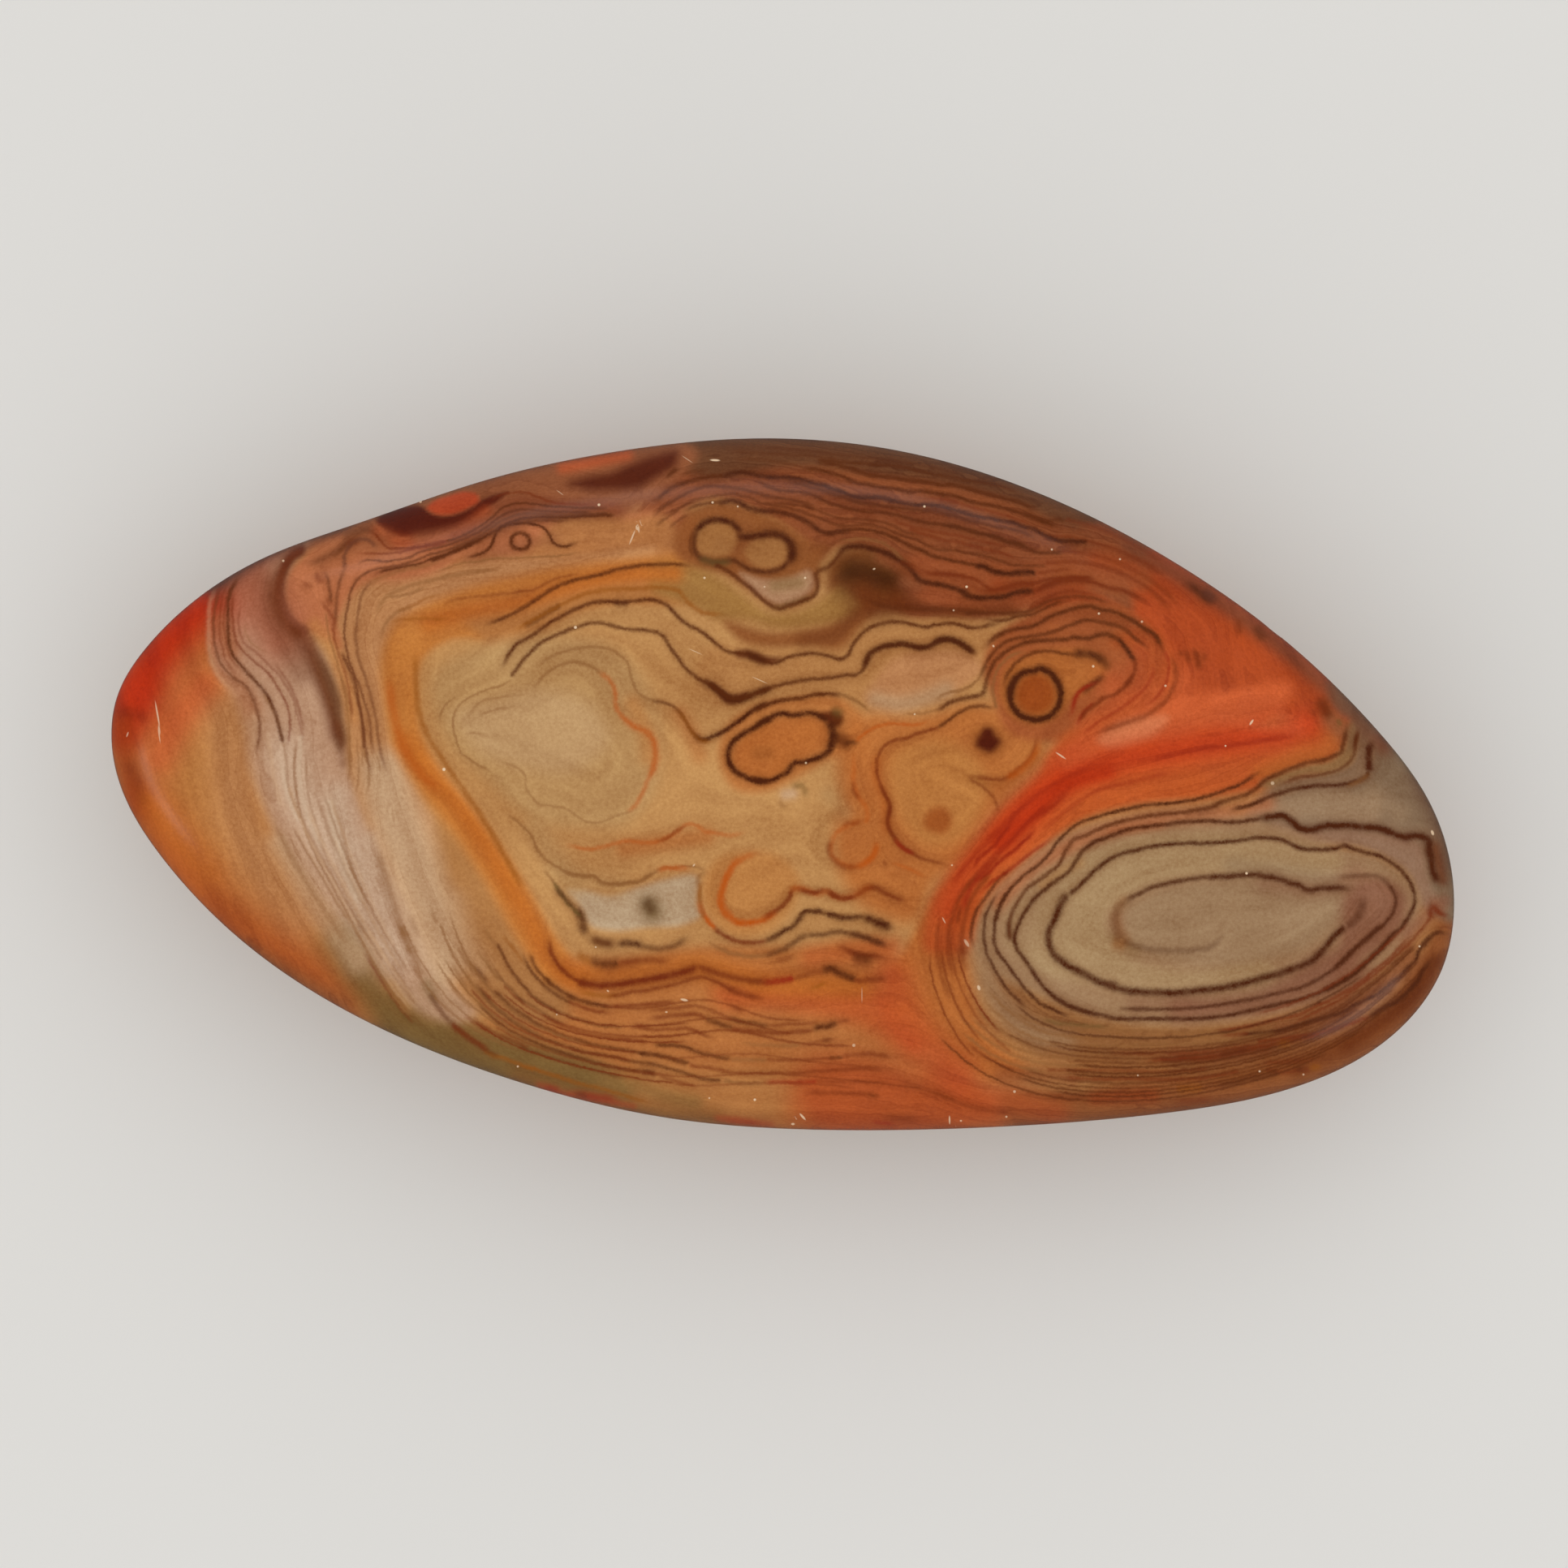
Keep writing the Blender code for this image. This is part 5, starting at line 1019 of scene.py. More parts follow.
    ("red", 2.6, 0.43, [(1326, 908), (1340, 900), (1352, 890), (1370, 880), (1389, 867), (1416, 840),
        (1421, 826), (1420, 812)]),
    ("red", 2.3, 0.47, [(1434, 800), (1439, 812), (1435, 845), (1424, 860), (1408, 873)]),
    # lines round the eye, outermost first
    ("sepia", 2.5, 0.65, [(1248, 1069), (1227, 1087), (1220, 1098), (1201, 1127), (1199, 1136), (1196, 1155),
        (1203, 1171)]),
    ("sepia", 2.4, 0.7, [(1233, 1096), (1223, 1110), (1214, 1130), (1213, 1141), (1212, 1153), (1214, 1165),
        (1216, 1176), (1221, 1186), (1241, 1219), (1260, 1238), (1268, 1247)]),
    ("sepia", 2.6, 0.75, [(1559, 950), (1551, 952), (1542, 958), (1525, 968), (1516, 971), (1495, 979),
        (1441, 990), (1413, 992), (1388, 997), (1360, 1004), (1322, 1019), (1304, 1036), (1282, 1064),
        (1273, 1070), (1245, 1095), (1226, 1135), (1225, 1148), (1225, 1163), (1243, 1191), (1264, 1219),
        (1281, 1236), (1302, 1246), (1324, 1256)]),
    ("sepia", 3.1, 0.6, [(1247, 1092), (1234, 1112), (1226, 1136)]),
    ("umber", 3.2, 0.72, [(1246, 1163), (1243, 1143), (1245, 1130), (1257, 1107), (1267, 1093), (1278, 1086),
        (1297, 1072), (1304, 1066), (1313, 1048), (1325, 1034), (1338, 1029), (1350, 1023), (1400, 1008),
        (1469, 999), (1493, 994), (1504, 989), (1546, 973), (1561, 960), (1570, 956), (1580, 951),
        (1599, 944), (1609, 940), (1631, 936), (1647, 930), (1653, 926), (1654, 920), (1660, 893),
        (1661, 884)]),
    ("plum", 6.2, 0.28, [(1470, 1000), (1485, 997), (1512, 987)]),
    ("sepia", 4.0, 0.4, [(1246, 1128), (1243, 1140), (1243, 1152), (1246, 1163)]),
    ("sepia", 3.1, 0.8, [(1508, 1002), (1518, 998), (1551, 988), (1560, 983), (1570, 980), (1600, 971),
        (1611, 970), (1621, 968), (1632, 968), (1672, 962), (1685, 955), (1687, 948)]),
    ("bark", 5.0, 1.0, [(1687, 950), (1687, 923), (1692, 908)]),
    ("umber", 2.4, 0.57, [(1570, 967), (1580, 965), (1590, 961), (1613, 956), (1624, 955), (1641, 951),
        (1650, 948), (1668, 931), (1670, 915), (1674, 899), (1675, 890)]),
    ("umber", 3.0, 0.76, [(1667, 928), (1672, 906), (1674, 896)]),
    ("sepia", 3.1, 0.8, [(1560, 1007), (1539, 1011), (1511, 1013), (1497, 1012), (1469, 1012), (1427, 1017),
        (1400, 1020), (1360, 1033), (1348, 1038), (1340, 1044), (1331, 1052), (1327, 1060), (1313, 1077),
        (1303, 1084), (1274, 1108), (1253, 1143), (1250, 1152), (1252, 1167), (1264, 1184), (1283, 1212),
        (1300, 1229), (1332, 1245), (1357, 1251), (1369, 1254), (1416, 1255), (1493, 1254), (1577, 1237),
        (1600, 1232), (1648, 1212), (1669, 1199), (1678, 1191), (1704, 1166), (1712, 1156), (1730, 1138),
        (1743, 1109), (1742, 1100)]),
    ("sepia", 3.1, 0.8, [(1743, 1109), (1742, 1100), (1726, 1072), (1710, 1060), (1664, 1045), (1656, 1042),
        (1650, 1044), (1608, 1046), (1598, 1044), (1582, 1036), (1560, 1032), (1518, 1037), (1490, 1039),
        (1462, 1039), (1409, 1045), (1399, 1048), (1388, 1050), (1367, 1059), (1334, 1087), (1325, 1096),
        (1315, 1103)]),
    ("sepia", 3.5, 0.45, [(1291, 1220), (1300, 1229), (1332, 1245), (1357, 1251)]),
    ("sepia", 4.0, 0.6, [(1625, 1223), (1669, 1199), (1678, 1191), (1704, 1166), (1712, 1156), (1721, 1147)]),
    ("sepia", 4.8, 0.96, [(1550, 1009), (1562, 1007), (1580, 1005), (1586, 1007), (1602, 1021), (1619, 1022),
        (1636, 1017), (1647, 1018), (1658, 1017), (1680, 1019), (1689, 1019), (1714, 1026), (1732, 1032),
        (1740, 1030), (1755, 1032), (1761, 1035), (1761, 1044), (1763, 1055), (1766, 1075), (1770, 1084),
        (1772, 1091)]),
    ("plum", 6.8, 0.57, [(1729, 1031), (1736, 1033)]),
    ("sepia", 5.7, 0.6, [(1766, 1077), (1770, 1085), (1772, 1092)]),
    ("sepia", 6.0, 0.3, [(1756, 1036), (1757, 1048), (1759, 1060)]),
    ("sepia", 5.2, 0.85, [(1318, 1101), (1311, 1107), (1302, 1127), (1297, 1138), (1292, 1149), (1298, 1176),
        (1307, 1184), (1329, 1197), (1391, 1221), (1405, 1222), (1465, 1222), (1479, 1220), (1493, 1219),
        (1549, 1207), (1589, 1195), (1616, 1184), (1651, 1147), (1660, 1141)]),
    ("sepia", 6.2, 0.55, [(1658, 1142), (1670, 1133), (1680, 1109), (1680, 1100)]),
    ("sepia", 3.5, 0.6, [(1359, 1210), (1370, 1211), (1381, 1212)]),
    ("sepia", 2.9, 0.7, [(1372, 1242), (1391, 1243), (1521, 1235), (1535, 1232), (1549, 1230), (1577, 1223),
        (1602, 1217), (1635, 1200), (1644, 1194), (1651, 1187), (1698, 1144), (1707, 1137), (1718, 1118),
        (1720, 1109), (1714, 1094), (1707, 1086)]),
    ("sepia", 3.5, 0.45, [(1714, 1094), (1707, 1086), (1698, 1080), (1673, 1079), (1640, 1081)]),
    ("sepia", 4.0, 0.6, [(1640, 1197), (1658, 1181), (1673, 1166), (1707, 1137)]),
    ("sepia", 4.3, 0.81, [(1482, 1081), (1514, 1080), (1547, 1078), (1556, 1080), (1568, 1081), (1591, 1088),
        (1601, 1091), (1609, 1096), (1614, 1097), (1625, 1095), (1672, 1095)]),
    ("sepia", 3.5, 0.7, [(1386, 1112), (1392, 1107), (1400, 1103), (1423, 1092), (1437, 1089), (1482, 1081),
        (1495, 1080)]),
    ("sepia", 6.0, 0.3, [(1398, 1105), (1378, 1120), (1374, 1132), (1376, 1146), (1382, 1158)]),
    ("ochre", 8.0, 0.38, [(1366, 1160), (1378, 1164), (1390, 1166)]),
    ("sepia", 4.2, 0.32, [(1384, 1158), (1398, 1165), (1437, 1171), (1465, 1171), (1493, 1166), (1508, 1153),
        (1514, 1149)]),
    # red lines outside the eye
    ("red", 3.0, 0.71, [(1250, 1001), (1246, 1014), (1240, 1023), (1232, 1031), (1226, 1041), (1206, 1058),
        (1200, 1069), (1194, 1078)]),
    ("red", 3.0, 0.76, [(1278, 1015), (1272, 1026), (1255, 1043), (1229, 1064), (1214, 1079), (1203, 1087),
        (1195, 1096)]),
    ("red", 2.5, 0.57, [(1237, 1050), (1226, 1060), (1209, 1078), (1200, 1085)]),
    ("red", 2.5, 0.57, [(1300, 1030), (1257, 1061), (1244, 1072), (1221, 1087), (1203, 1106)]),
    ("red", 3.0, 0.52, [(1320, 978), (1307, 982), (1302, 988), (1270, 1014)]),
    ("rust", 2.8, 0.57, [(1186, 1112), (1183, 1122), (1179, 1143)]),
    ("rust", 3.9, 0.52, [(1184, 1160), (1187, 1170), (1191, 1180)]),
    # hooks and lines between the eye and the rim
    ("rust", 3.9, 0.76, [(1762, 1130), (1764, 1121), (1767, 1118), (1771, 1122), (1776, 1126), (1789, 1129)]),
    ("sepia", 3.5, 0.75, [(1788, 1152), (1770, 1149), (1764, 1153), (1748, 1172)]),
    ("sepia", 2.9, 0.75, [(1758, 1159), (1748, 1172), (1745, 1181), (1732, 1195), (1724, 1204), (1716, 1210),
        (1688, 1230), (1676, 1235), (1654, 1247), (1620, 1257), (1575, 1270), (1525, 1275)]),
    ("sepia", 3.7, 0.8, [(1768, 1175), (1758, 1190), (1752, 1197), (1748, 1206), (1736, 1220), (1729, 1228),
        (1701, 1244), (1692, 1250), (1682, 1254)]),
    ("rust", 3.0, 0.66, [(1692, 1250), (1670, 1259), (1635, 1270), (1620, 1275), (1607, 1276), (1548, 1284)]),
    ("rust", 2.6, 0.62, [(1739, 1153), (1724, 1168), (1717, 1176), (1692, 1197), (1682, 1206), (1646, 1228),
        (1635, 1234), (1622, 1239), (1606, 1248), (1563, 1258), (1549, 1262), (1507, 1269), (1493, 1270)]),
    # thick dark line under the pale heart and the orange loop
    ("rust", 3.4, 0.76, [(674, 1150), (684, 1184), (721, 1212), (731, 1214)]),
    ("rust", 5.0, 0.9, [(713, 1209), (721, 1212), (742, 1214), (762, 1213), (772, 1211), (820, 1203),
        (832, 1200)]),
    ("rust", 5.5, 0.9, [(820, 1203), (848, 1196), (856, 1193), (863, 1192)]),
    ("rust", 4.6, 0.71, [(856, 1193), (863, 1192), (871, 1195), (910, 1206), (944, 1210), (956, 1209)]),
    ("red", 4.8, 0.76, [(932, 1209), (944, 1210), (978, 1206)]),
    ("rust", 3.4, 0.38, [(978, 1205), (990, 1203), (1000, 1199), (1016, 1196)]),
    ("umber", 5.1, 0.81, [(1010, 1197), (1024, 1194), (1037, 1200), (1056, 1208)]),
    ("rust", 3.9, 0.57, [(1050, 1206), (1056, 1208), (1074, 1207), (1098, 1205)]),
    # the lines below it, inner ones first
    ("ochre", 3.2, 0.57, [(708, 1218), (725, 1225), (735, 1226), (757, 1227), (768, 1224)]),
    ("rust", 2.9, 0.6, [(746, 1227), (757, 1227), (779, 1222), (792, 1221), (838, 1211), (865, 1204),
        (882, 1210), (891, 1214), (899, 1219), (908, 1222)]),
    ("rust", 3.9, 0.62, [(891, 1214), (899, 1219), (908, 1222), (918, 1226), (947, 1231)]),
    ("umber", 2.5, 0.6, [(651, 1172), (658, 1188), (672, 1206), (685, 1217)]),
    ("umber", 3.5, 0.72, [(667, 1201), (685, 1217), (707, 1230), (736, 1238), (747, 1240), (757, 1240)]),
    ("umber", 3.5, 0.22, [(652, 1172), (655, 1179), (658, 1186)]),
    ("rust", 3.2, 0.62, [(747, 1240), (778, 1239), (834, 1234)]),
    ("umber", 2.5, 0.6, [(640, 1170), (655, 1197), (684, 1225), (706, 1237)]),
    ("rust", 2.6, 0.57, [(698, 1233), (725, 1244), (760, 1249)]),
    ("rust", 2.5, 0.47, [(795, 1246), (832, 1242), (866, 1241), (876, 1245), (903, 1256)]),
    ("umber", 3.5, 0.59, [(894, 1252), (903, 1256), (932, 1262), (942, 1264), (952, 1264)]),
    ("rust", 2.5, 0.47, [(942, 1264), (955, 1264), (968, 1262), (992, 1261), (1016, 1258)]),
    ("rust", 3.2, 0.57, [(792, 1256), (837, 1251), (858, 1250), (874, 1257)]),
    ("umber", 3.9, 0.63, [(867, 1254), (890, 1263), (906, 1267)]),
    ("rust", 3.2, 0.57, [(898, 1265), (908, 1268), (932, 1271), (968, 1273), (980, 1271), (992, 1271),
        (1004, 1269)]),
    ("umber", 4.6, 0.77, [(1000, 1269), (1008, 1266), (1021, 1264), (1028, 1261), (1036, 1259)]),
    ("rust", 2.8, 0.47, [(1028, 1261), (1038, 1258), (1050, 1257)]),
    ("umber", 2.4, 0.6, [(612, 1163), (641, 1211), (647, 1217), (659, 1230), (666, 1234), (690, 1248),
        (698, 1251)]),
    ("umber", 2.7, 0.5, [(690, 1248), (725, 1260), (735, 1263), (747, 1264), (773, 1266)]),
    ("rust", 2.8, 0.57, [(773, 1266), (785, 1266), (808, 1269), (820, 1268), (832, 1268), (844, 1267),
        (876, 1278), (887, 1280)]),
    ("umber", 2.2, 0.38, [(604, 1184), (619, 1208), (631, 1220), (637, 1227), (657, 1240), (688, 1259),
        (698, 1262)]),
    ("tan", 2.4, 0.57, [(598, 1182), (608, 1199), (620, 1212)]),
    ("umber", 2.7, 0.38, [(633, 1222), (639, 1229), (650, 1240)]),
    ("rust", 2.5, 0.47, [(664, 1250), (684, 1260), (728, 1275), (752, 1279)]),
    ("rust", 2.6, 0.52, [(740, 1277), (752, 1279), (778, 1281), (802, 1286)]),
    ("umber", 3.0, 0.68, [(802, 1286), (822, 1288), (832, 1288), (869, 1299), (900, 1305)]),
    ("tan", 3.2, 0.47, [(900, 1305), (915, 1306), (945, 1306)]),
    ("rust", 2.5, 0.47, [(945, 1306), (990, 1306), (1032, 1303)]),
    ("umber", 2.3, 0.54, [(1020, 1304), (1030, 1303), (1040, 1303)]),
    ("rust", 3.0, 0.47, [(1040, 1301), (1055, 1299), (1085, 1300), (1110, 1306)]),
    ("umber", 2.5, 0.56, [(606, 1220), (612, 1223), (618, 1229), (636, 1245), (643, 1249), (657, 1259),
        (681, 1270), (689, 1274), (708, 1280)]),
    ("umber", 2.7, 0.59, [(698, 1277), (718, 1283), (729, 1287), (740, 1289), (800, 1299)]),
    ("umber", 3.3, 0.72, [(788, 1297), (818, 1302), (848, 1311)]),
    ("rust", 2.7, 0.49, [(848, 1311), (858, 1314), (868, 1315), (899, 1321), (938, 1323), (952, 1322),
        (980, 1322), (1024, 1319), (1040, 1318), (1055, 1316), (1096, 1320)]),
    ("umber", 2.4, 0.6, [(590, 1217), (609, 1240), (621, 1250), (628, 1256), (635, 1260), (643, 1266),
        (651, 1270), (659, 1275), (667, 1278), (685, 1285), (703, 1290)]),
    ("umber", 2.5, 0.43, [(608, 1239), (604, 1235), (583, 1208)]),
    ("umber", 2.8, 0.59, [(694, 1287), (703, 1291), (757, 1303), (779, 1308), (802, 1311)]),
    ("umber", 2.8, 0.63, [(790, 1309), (802, 1311), (829, 1318), (878, 1331), (890, 1331)]),
    ("tan", 2.8, 0.57, [(890, 1331), (915, 1335), (945, 1334)]),
    ("red", 3.4, 0.57, [(940, 1334), (955, 1333), (983, 1334), (1006, 1333)]),
    ("rust", 2.6, 0.38, [(1006, 1333), (1065, 1333), (1095, 1334)]),
    ("umber", 2.8, 0.54, [(1087, 1334), (1092, 1334), (1098, 1335)]),
    ("umber", 2.5, 0.6, [(586, 1235), (626, 1268), (634, 1272), (642, 1277), (650, 1280), (667, 1288),
        (696, 1298)]),
    ("umber", 2.9, 0.63, [(686, 1295), (718, 1305), (773, 1318), (795, 1320)]),
    ("umber", 3.9, 0.72, [(784, 1319), (803, 1322), (809, 1325)]),
    ("rust", 2.8, 0.47, [(809, 1325), (850, 1337), (862, 1339)]),
    ("rust", 2.4, 0.47, [(590, 1262), (598, 1267), (645, 1288), (655, 1293)]),
    ("umber", 2.3, 0.41, [(635, 1287), (645, 1291), (655, 1296), (664, 1298), (674, 1302), (695, 1308),
        (706, 1312), (742, 1321), (754, 1325), (778, 1331)]),
    ("ochre", 3.0, 0.57, [(592, 1288), (600, 1296), (609, 1301), (618, 1303), (646, 1314), (666, 1319)]),
    ("ochre", 2.9, 0.54, [(646, 1314), (656, 1316), (666, 1320), (686, 1326), (728, 1339), (740, 1341),
        (750, 1344), (804, 1360)]),
    ("red", 5.6, 0.47, [(668, 1338), (680, 1342), (692, 1345)]),
    ("red", 6.2, 0.52, [(700, 1344), (712, 1348), (755, 1354), (770, 1357)]),
    ("umber", 3.1, 0.38, [(706, 1346), (716, 1349), (726, 1351)]),
    ("red", 5.0, 0.38, [(886, 1376), (900, 1380), (945, 1386)]),
    ("red", 2.8, 0.52, [(1070, 1382), (1082, 1383), (1105, 1386)]),
    # big smooth bands of the lower left
    ("olive", 6.8, 0.38, [(520, 1200), (536, 1235), (541, 1243)]),
    ("umber", 3.4, 0.42, [(529, 1222), (534, 1232), (566, 1270), (588, 1286), (608, 1299), (618, 1303)]),
    ("rust", 3.9, 0.57, [(555, 1259), (564, 1268), (604, 1296)]),
    ("tan", 4.4, 0.43, [(486, 1128), (496, 1149), (499, 1159), (509, 1178)]),
    ("tan", 5.0, 0.43, [(492, 1136), (497, 1148), (501, 1160)]),
    ("tan", 3.9, 0.33, [(504, 1125), (513, 1147), (518, 1157)]),
    ("tan", 2.8, 0.38, [(530, 1118), (534, 1128), (539, 1138)]),
    ("tan", 2.5, 0.43, [(560, 1160), (571, 1180), (589, 1207)]),
    ("tan", 2.8, 0.52, [(573, 1178), (579, 1186), (591, 1200)]),
    ("umber", 2.9, 0.45, [(582, 1188), (593, 1201), (598, 1208), (604, 1214)]),
    ("tan", 2.5, 0.43, [(586, 1168), (591, 1176), (597, 1183), (609, 1200)]),
    ("tan", 2.5, 0.47, [(554, 1182), (572, 1213), (579, 1222)]),
    ("tan", 2.4, 0.43, [(548, 1200), (567, 1229), (583, 1244)]),
    ("rust", 2.5, 0.47, [(580, 1252), (596, 1265), (604, 1270)]),
    ("rust", 2.5, 0.38, [(569, 1248), (586, 1262), (606, 1273)]),
    ("tan", 2.5, 0.38, [(595, 1140), (601, 1150), (613, 1168)]),
    ("ochre", 2.5, 0.38, [(617, 1150), (624, 1158), (638, 1177)]),
    ("ochre", 2.4, 0.38, [(628, 1160), (640, 1180), (647, 1190)]),
    ("pale", 2.1, 0.25, [(436, 1140), (485, 1219), (509, 1248)]),
    ("rust", 2.2, 0.47, [(446, 1168), (478, 1221), (500, 1252), (508, 1260)]),
    ("olive", 3.4, 0.47, [(470, 1214), (477, 1226), (509, 1263), (519, 1270)]),
    ("tan", 2.2, 0.38, [(484, 1190), (498, 1213), (511, 1236)]),
    # fine lines of the lower middle and right
    ("rust", 2.8, 0.38, [(985, 1288), (1014, 1282), (1036, 1278)]),
    ("umber", 3.0, 0.41, [(1010, 1282), (1020, 1281), (1029, 1279)]),
    ("tan", 3.2, 0.38, [(905, 1283), (931, 1287), (975, 1288), (990, 1287)]),
    ("ochre", 3.0, 0.47, [(995, 1220), (1004, 1217), (1013, 1213), (1022, 1211)]),
    ("rust", 3.0, 0.38, [(895, 1240), (907, 1243), (918, 1247)]),
    ("rust", 3.0, 0.43, [(985, 1347), (1025, 1346), (1045, 1347), (1062, 1347), (1078, 1350), (1094, 1352)]),
    ("umber", 2.6, 0.41, [(1066, 1348), (1076, 1350), (1086, 1351)]),
    ("rust", 3.9, 0.33, [(1100, 1330), (1120, 1336), (1180, 1357)]),
    ("rust", 2.8, 0.38, [(1140, 1343), (1155, 1347), (1170, 1354), (1205, 1366), (1260, 1373)]),
    ("rust", 5.0, 0.38, [(1080, 1374), (1120, 1378), (1140, 1378)]),
    ("rust", 2.4, 0.47, [(1187, 1282), (1219, 1305), (1244, 1317), (1258, 1321)]),
    ("tan", 2.3, 0.47, [(1180, 1268), (1222, 1299), (1280, 1320), (1300, 1322)]),
    ("tan", 2.3, 0.47, [(1178, 1248), (1208, 1275), (1244, 1298), (1275, 1308), (1350, 1314)]),
    ("tan", 2.3, 0.43, [(1190, 1246), (1200, 1256), (1246, 1289), (1325, 1304), (1355, 1304)]),
    ("tan", 2.5, 0.47, [(1200, 1238), (1209, 1248), (1257, 1283), (1290, 1294), (1390, 1297)]),
    ("tan", 2.3, 0.47, [(1206, 1224), (1223, 1244), (1261, 1273), (1295, 1285), (1345, 1289), (1430, 1287),
        (1480, 1286), (1575, 1272)]),
    ("tan", 2.3, 0.47, [(1214, 1214), (1222, 1225), (1285, 1271), (1325, 1278), (1378, 1279), (1430, 1278),
        (1455, 1279), (1552, 1268)]),
    ("tan", 2.5, 0.43, [(1240, 1240), (1266, 1256), (1320, 1269), (1345, 1270), (1425, 1271), (1450, 1272),
        (1500, 1271)]),
    ("olive", 3.2, 0.43, [(1275, 1252), (1292, 1258), (1330, 1263), (1375, 1266)]),
    ("rust", 2.8, 0.43, [(1360, 1298), (1385, 1297), (1410, 1298), (1432, 1297), (1455, 1298), (1540, 1289)]),
    ("rust", 3.6, 0.65, [(1405, 1306), (1465, 1304), (1485, 1303), (1530, 1295), (1545, 1291), (1558, 1289),
        (1585, 1283), (1615, 1276), (1630, 1271)]),
    ("sepia", 3.3, 0.45, [(1430, 1306), (1465, 1304), (1480, 1303)]),
    ("sepia", 3.1, 0.4, [(1500, 1301), (1530, 1294), (1545, 1291)]),
    ("ochre", 5.0, 0.43, [(1570, 1288), (1582, 1286), (1594, 1286)]),
    ("rust", 2.8, 0.52, [(1300, 1328), (1350, 1330), (1400, 1329), (1465, 1330), (1525, 1320)]),
    ("rust", 2.5, 0.43, [(1290, 1318), (1380, 1319), (1465, 1319), (1490, 1316)]),
    ("rust", 3.9, 0.43, [(1560, 1318), (1580, 1321), (1600, 1319), (1615, 1318)]),
    ("ochre", 5.7, 0.47, [(1450, 1342), (1465, 1341), (1480, 1340)]),
    ("sepia", 4.5, 0.42, [(1490, 1338), (1520, 1335), (1535, 1330), (1548, 1328), (1575, 1322)]),
    ("sepia", 4.0, 0.45, [(1590, 1318), (1602, 1317), (1612, 1316)]),
    ("ochre", 5.0, 0.47, [(1612, 1316), (1622, 1315), (1630, 1314)]),
    ("rust", 6.2, 0.38, [(1280, 1348), (1335, 1352), (1390, 1347), (1440, 1347)]),
    ("rust", 5.0, 0.38, [(1440, 1356), (1460, 1357), (1500, 1353)]),
    ("rust", 2.8, 0.47, [(1500, 1276), (1520, 1275), (1540, 1273)]),
    ("rust", 3.0, 0.47, [(1545, 1311), (1565, 1309), (1605, 1307), (1625, 1305)]),
    # loop between the hearts: its inner and outer rings and the line under it
    ("orange", 4.1, 0.66, [(918, 1056), (909, 1060), (895, 1082), (889, 1120), (908, 1136), (918, 1138)]),
    ("orange", 4.1, 0.85, [(900, 1132), (908, 1136), (945, 1131), (960, 1121)]),
    ("rust", 3.2, 0.57, [(937, 1134), (961, 1119), (973, 1105), (975, 1098), (981, 1094)]),
    ("ochre", 2.5, 0.57, [(864, 1084), (862, 1094), (862, 1116)]),
    ("orange", 3.4, 0.76, [(862, 1105), (863, 1116), (878, 1141), (885, 1147)]),
    ("rust", 3.4, 0.71, [(878, 1141), (892, 1153), (940, 1160), (949, 1157)]),
    ("bark", 4.0, 0.77, [(940, 1160), (949, 1157), (963, 1149), (967, 1146), (973, 1144), (984, 1133),
        (993, 1123), (1001, 1123), (1012, 1123), (1020, 1126)]),
    ("bark", 4.1, 0.8, [(1012, 1123), (1040, 1131), (1060, 1130), (1068, 1132)]),
    ("bark", 5.7, 0.85, [(1060, 1130), (1069, 1132), (1106, 1147)]),
    ("umber", 6.0, 0.38, [(1078, 1135), (1087, 1140), (1096, 1143)]),
    ("tan", 3.4, 0.57, [(868, 1158), (899, 1174), (937, 1178), (948, 1176)]),
    ("bark", 4.1, 0.55, [(937, 1178), (948, 1176), (967, 1169), (990, 1154), (999, 1152)]),
    ("bark", 3.8, 0.6, [(990, 1154), (1001, 1152), (1012, 1152), (1032, 1148), (1052, 1152)]),
    ("bark", 4.5, 0.8, [(1042, 1149), (1063, 1154), (1073, 1158), (1101, 1168)]),
    ("rust", 3.9, 0.43, [(952, 1186), (972, 1180), (982, 1177)]),
    ("rust", 3.9, 0.76, [(1025, 1168), (1035, 1167), (1051, 1174), (1060, 1177), (1080, 1178), (1098, 1182)]),
    ("umber", 6.0, 0.54, [(1046, 1176), (1070, 1182), (1082, 1182)]),
    ("rust", 10.0, 0.47, [(1045, 1180), (1060, 1184), (1076, 1186)]),
    ("rust", 3.0, 0.71, [(981, 1094), (999, 1100), (1008, 1099), (1019, 1094)]),
    ("rust", 3.7, 0.81, [(1015, 1095), (1020, 1097), (1025, 1102), (1042, 1107), (1059, 1103)]),
    ("rust", 4.4, 0.47, [(1050, 1104), (1060, 1101), (1066, 1096), (1082, 1095), (1090, 1100), (1108, 1108),
        (1118, 1110)]),
    # small ring at the right, and the edge above it
    ("rust", 4.0, 0.44, [(1027, 1031), (1021, 1046), (1023, 1054), (1029, 1060), (1035, 1065), (1053, 1068),
        (1061, 1065)]),
    ("orange", 4.2, 0.55, [(1053, 1068), (1062, 1065), (1080, 1044), (1078, 1036)]),
    ("rust", 2.9, 0.39, [(1035, 1018), (1045, 1015), (1056, 1014), (1066, 1012)]),
    ("rust", 2.8, 0.39, [(1088, 1058), (1091, 1064), (1094, 1070)]),
    ("rust", 2.9, 0.44, [(1050, 958), (1052, 966), (1051, 974), (1057, 982), (1060, 990)]),
    ("red", 3.6, 0.55, [(1100, 1031), (1112, 1045), (1130, 1053)]),
    ("olive", 4.4, 0.43, [(970, 970), (988, 969), (992, 977), (993, 986)]),
    ("tan", 3.9, 0.38, [(958, 985), (963, 992), (972, 996)]),
    # edge of the pale patch and the soft line under it
    ("bark", 4.3, 0.5, [(684, 1092), (690, 1100), (706, 1116), (713, 1124)]),
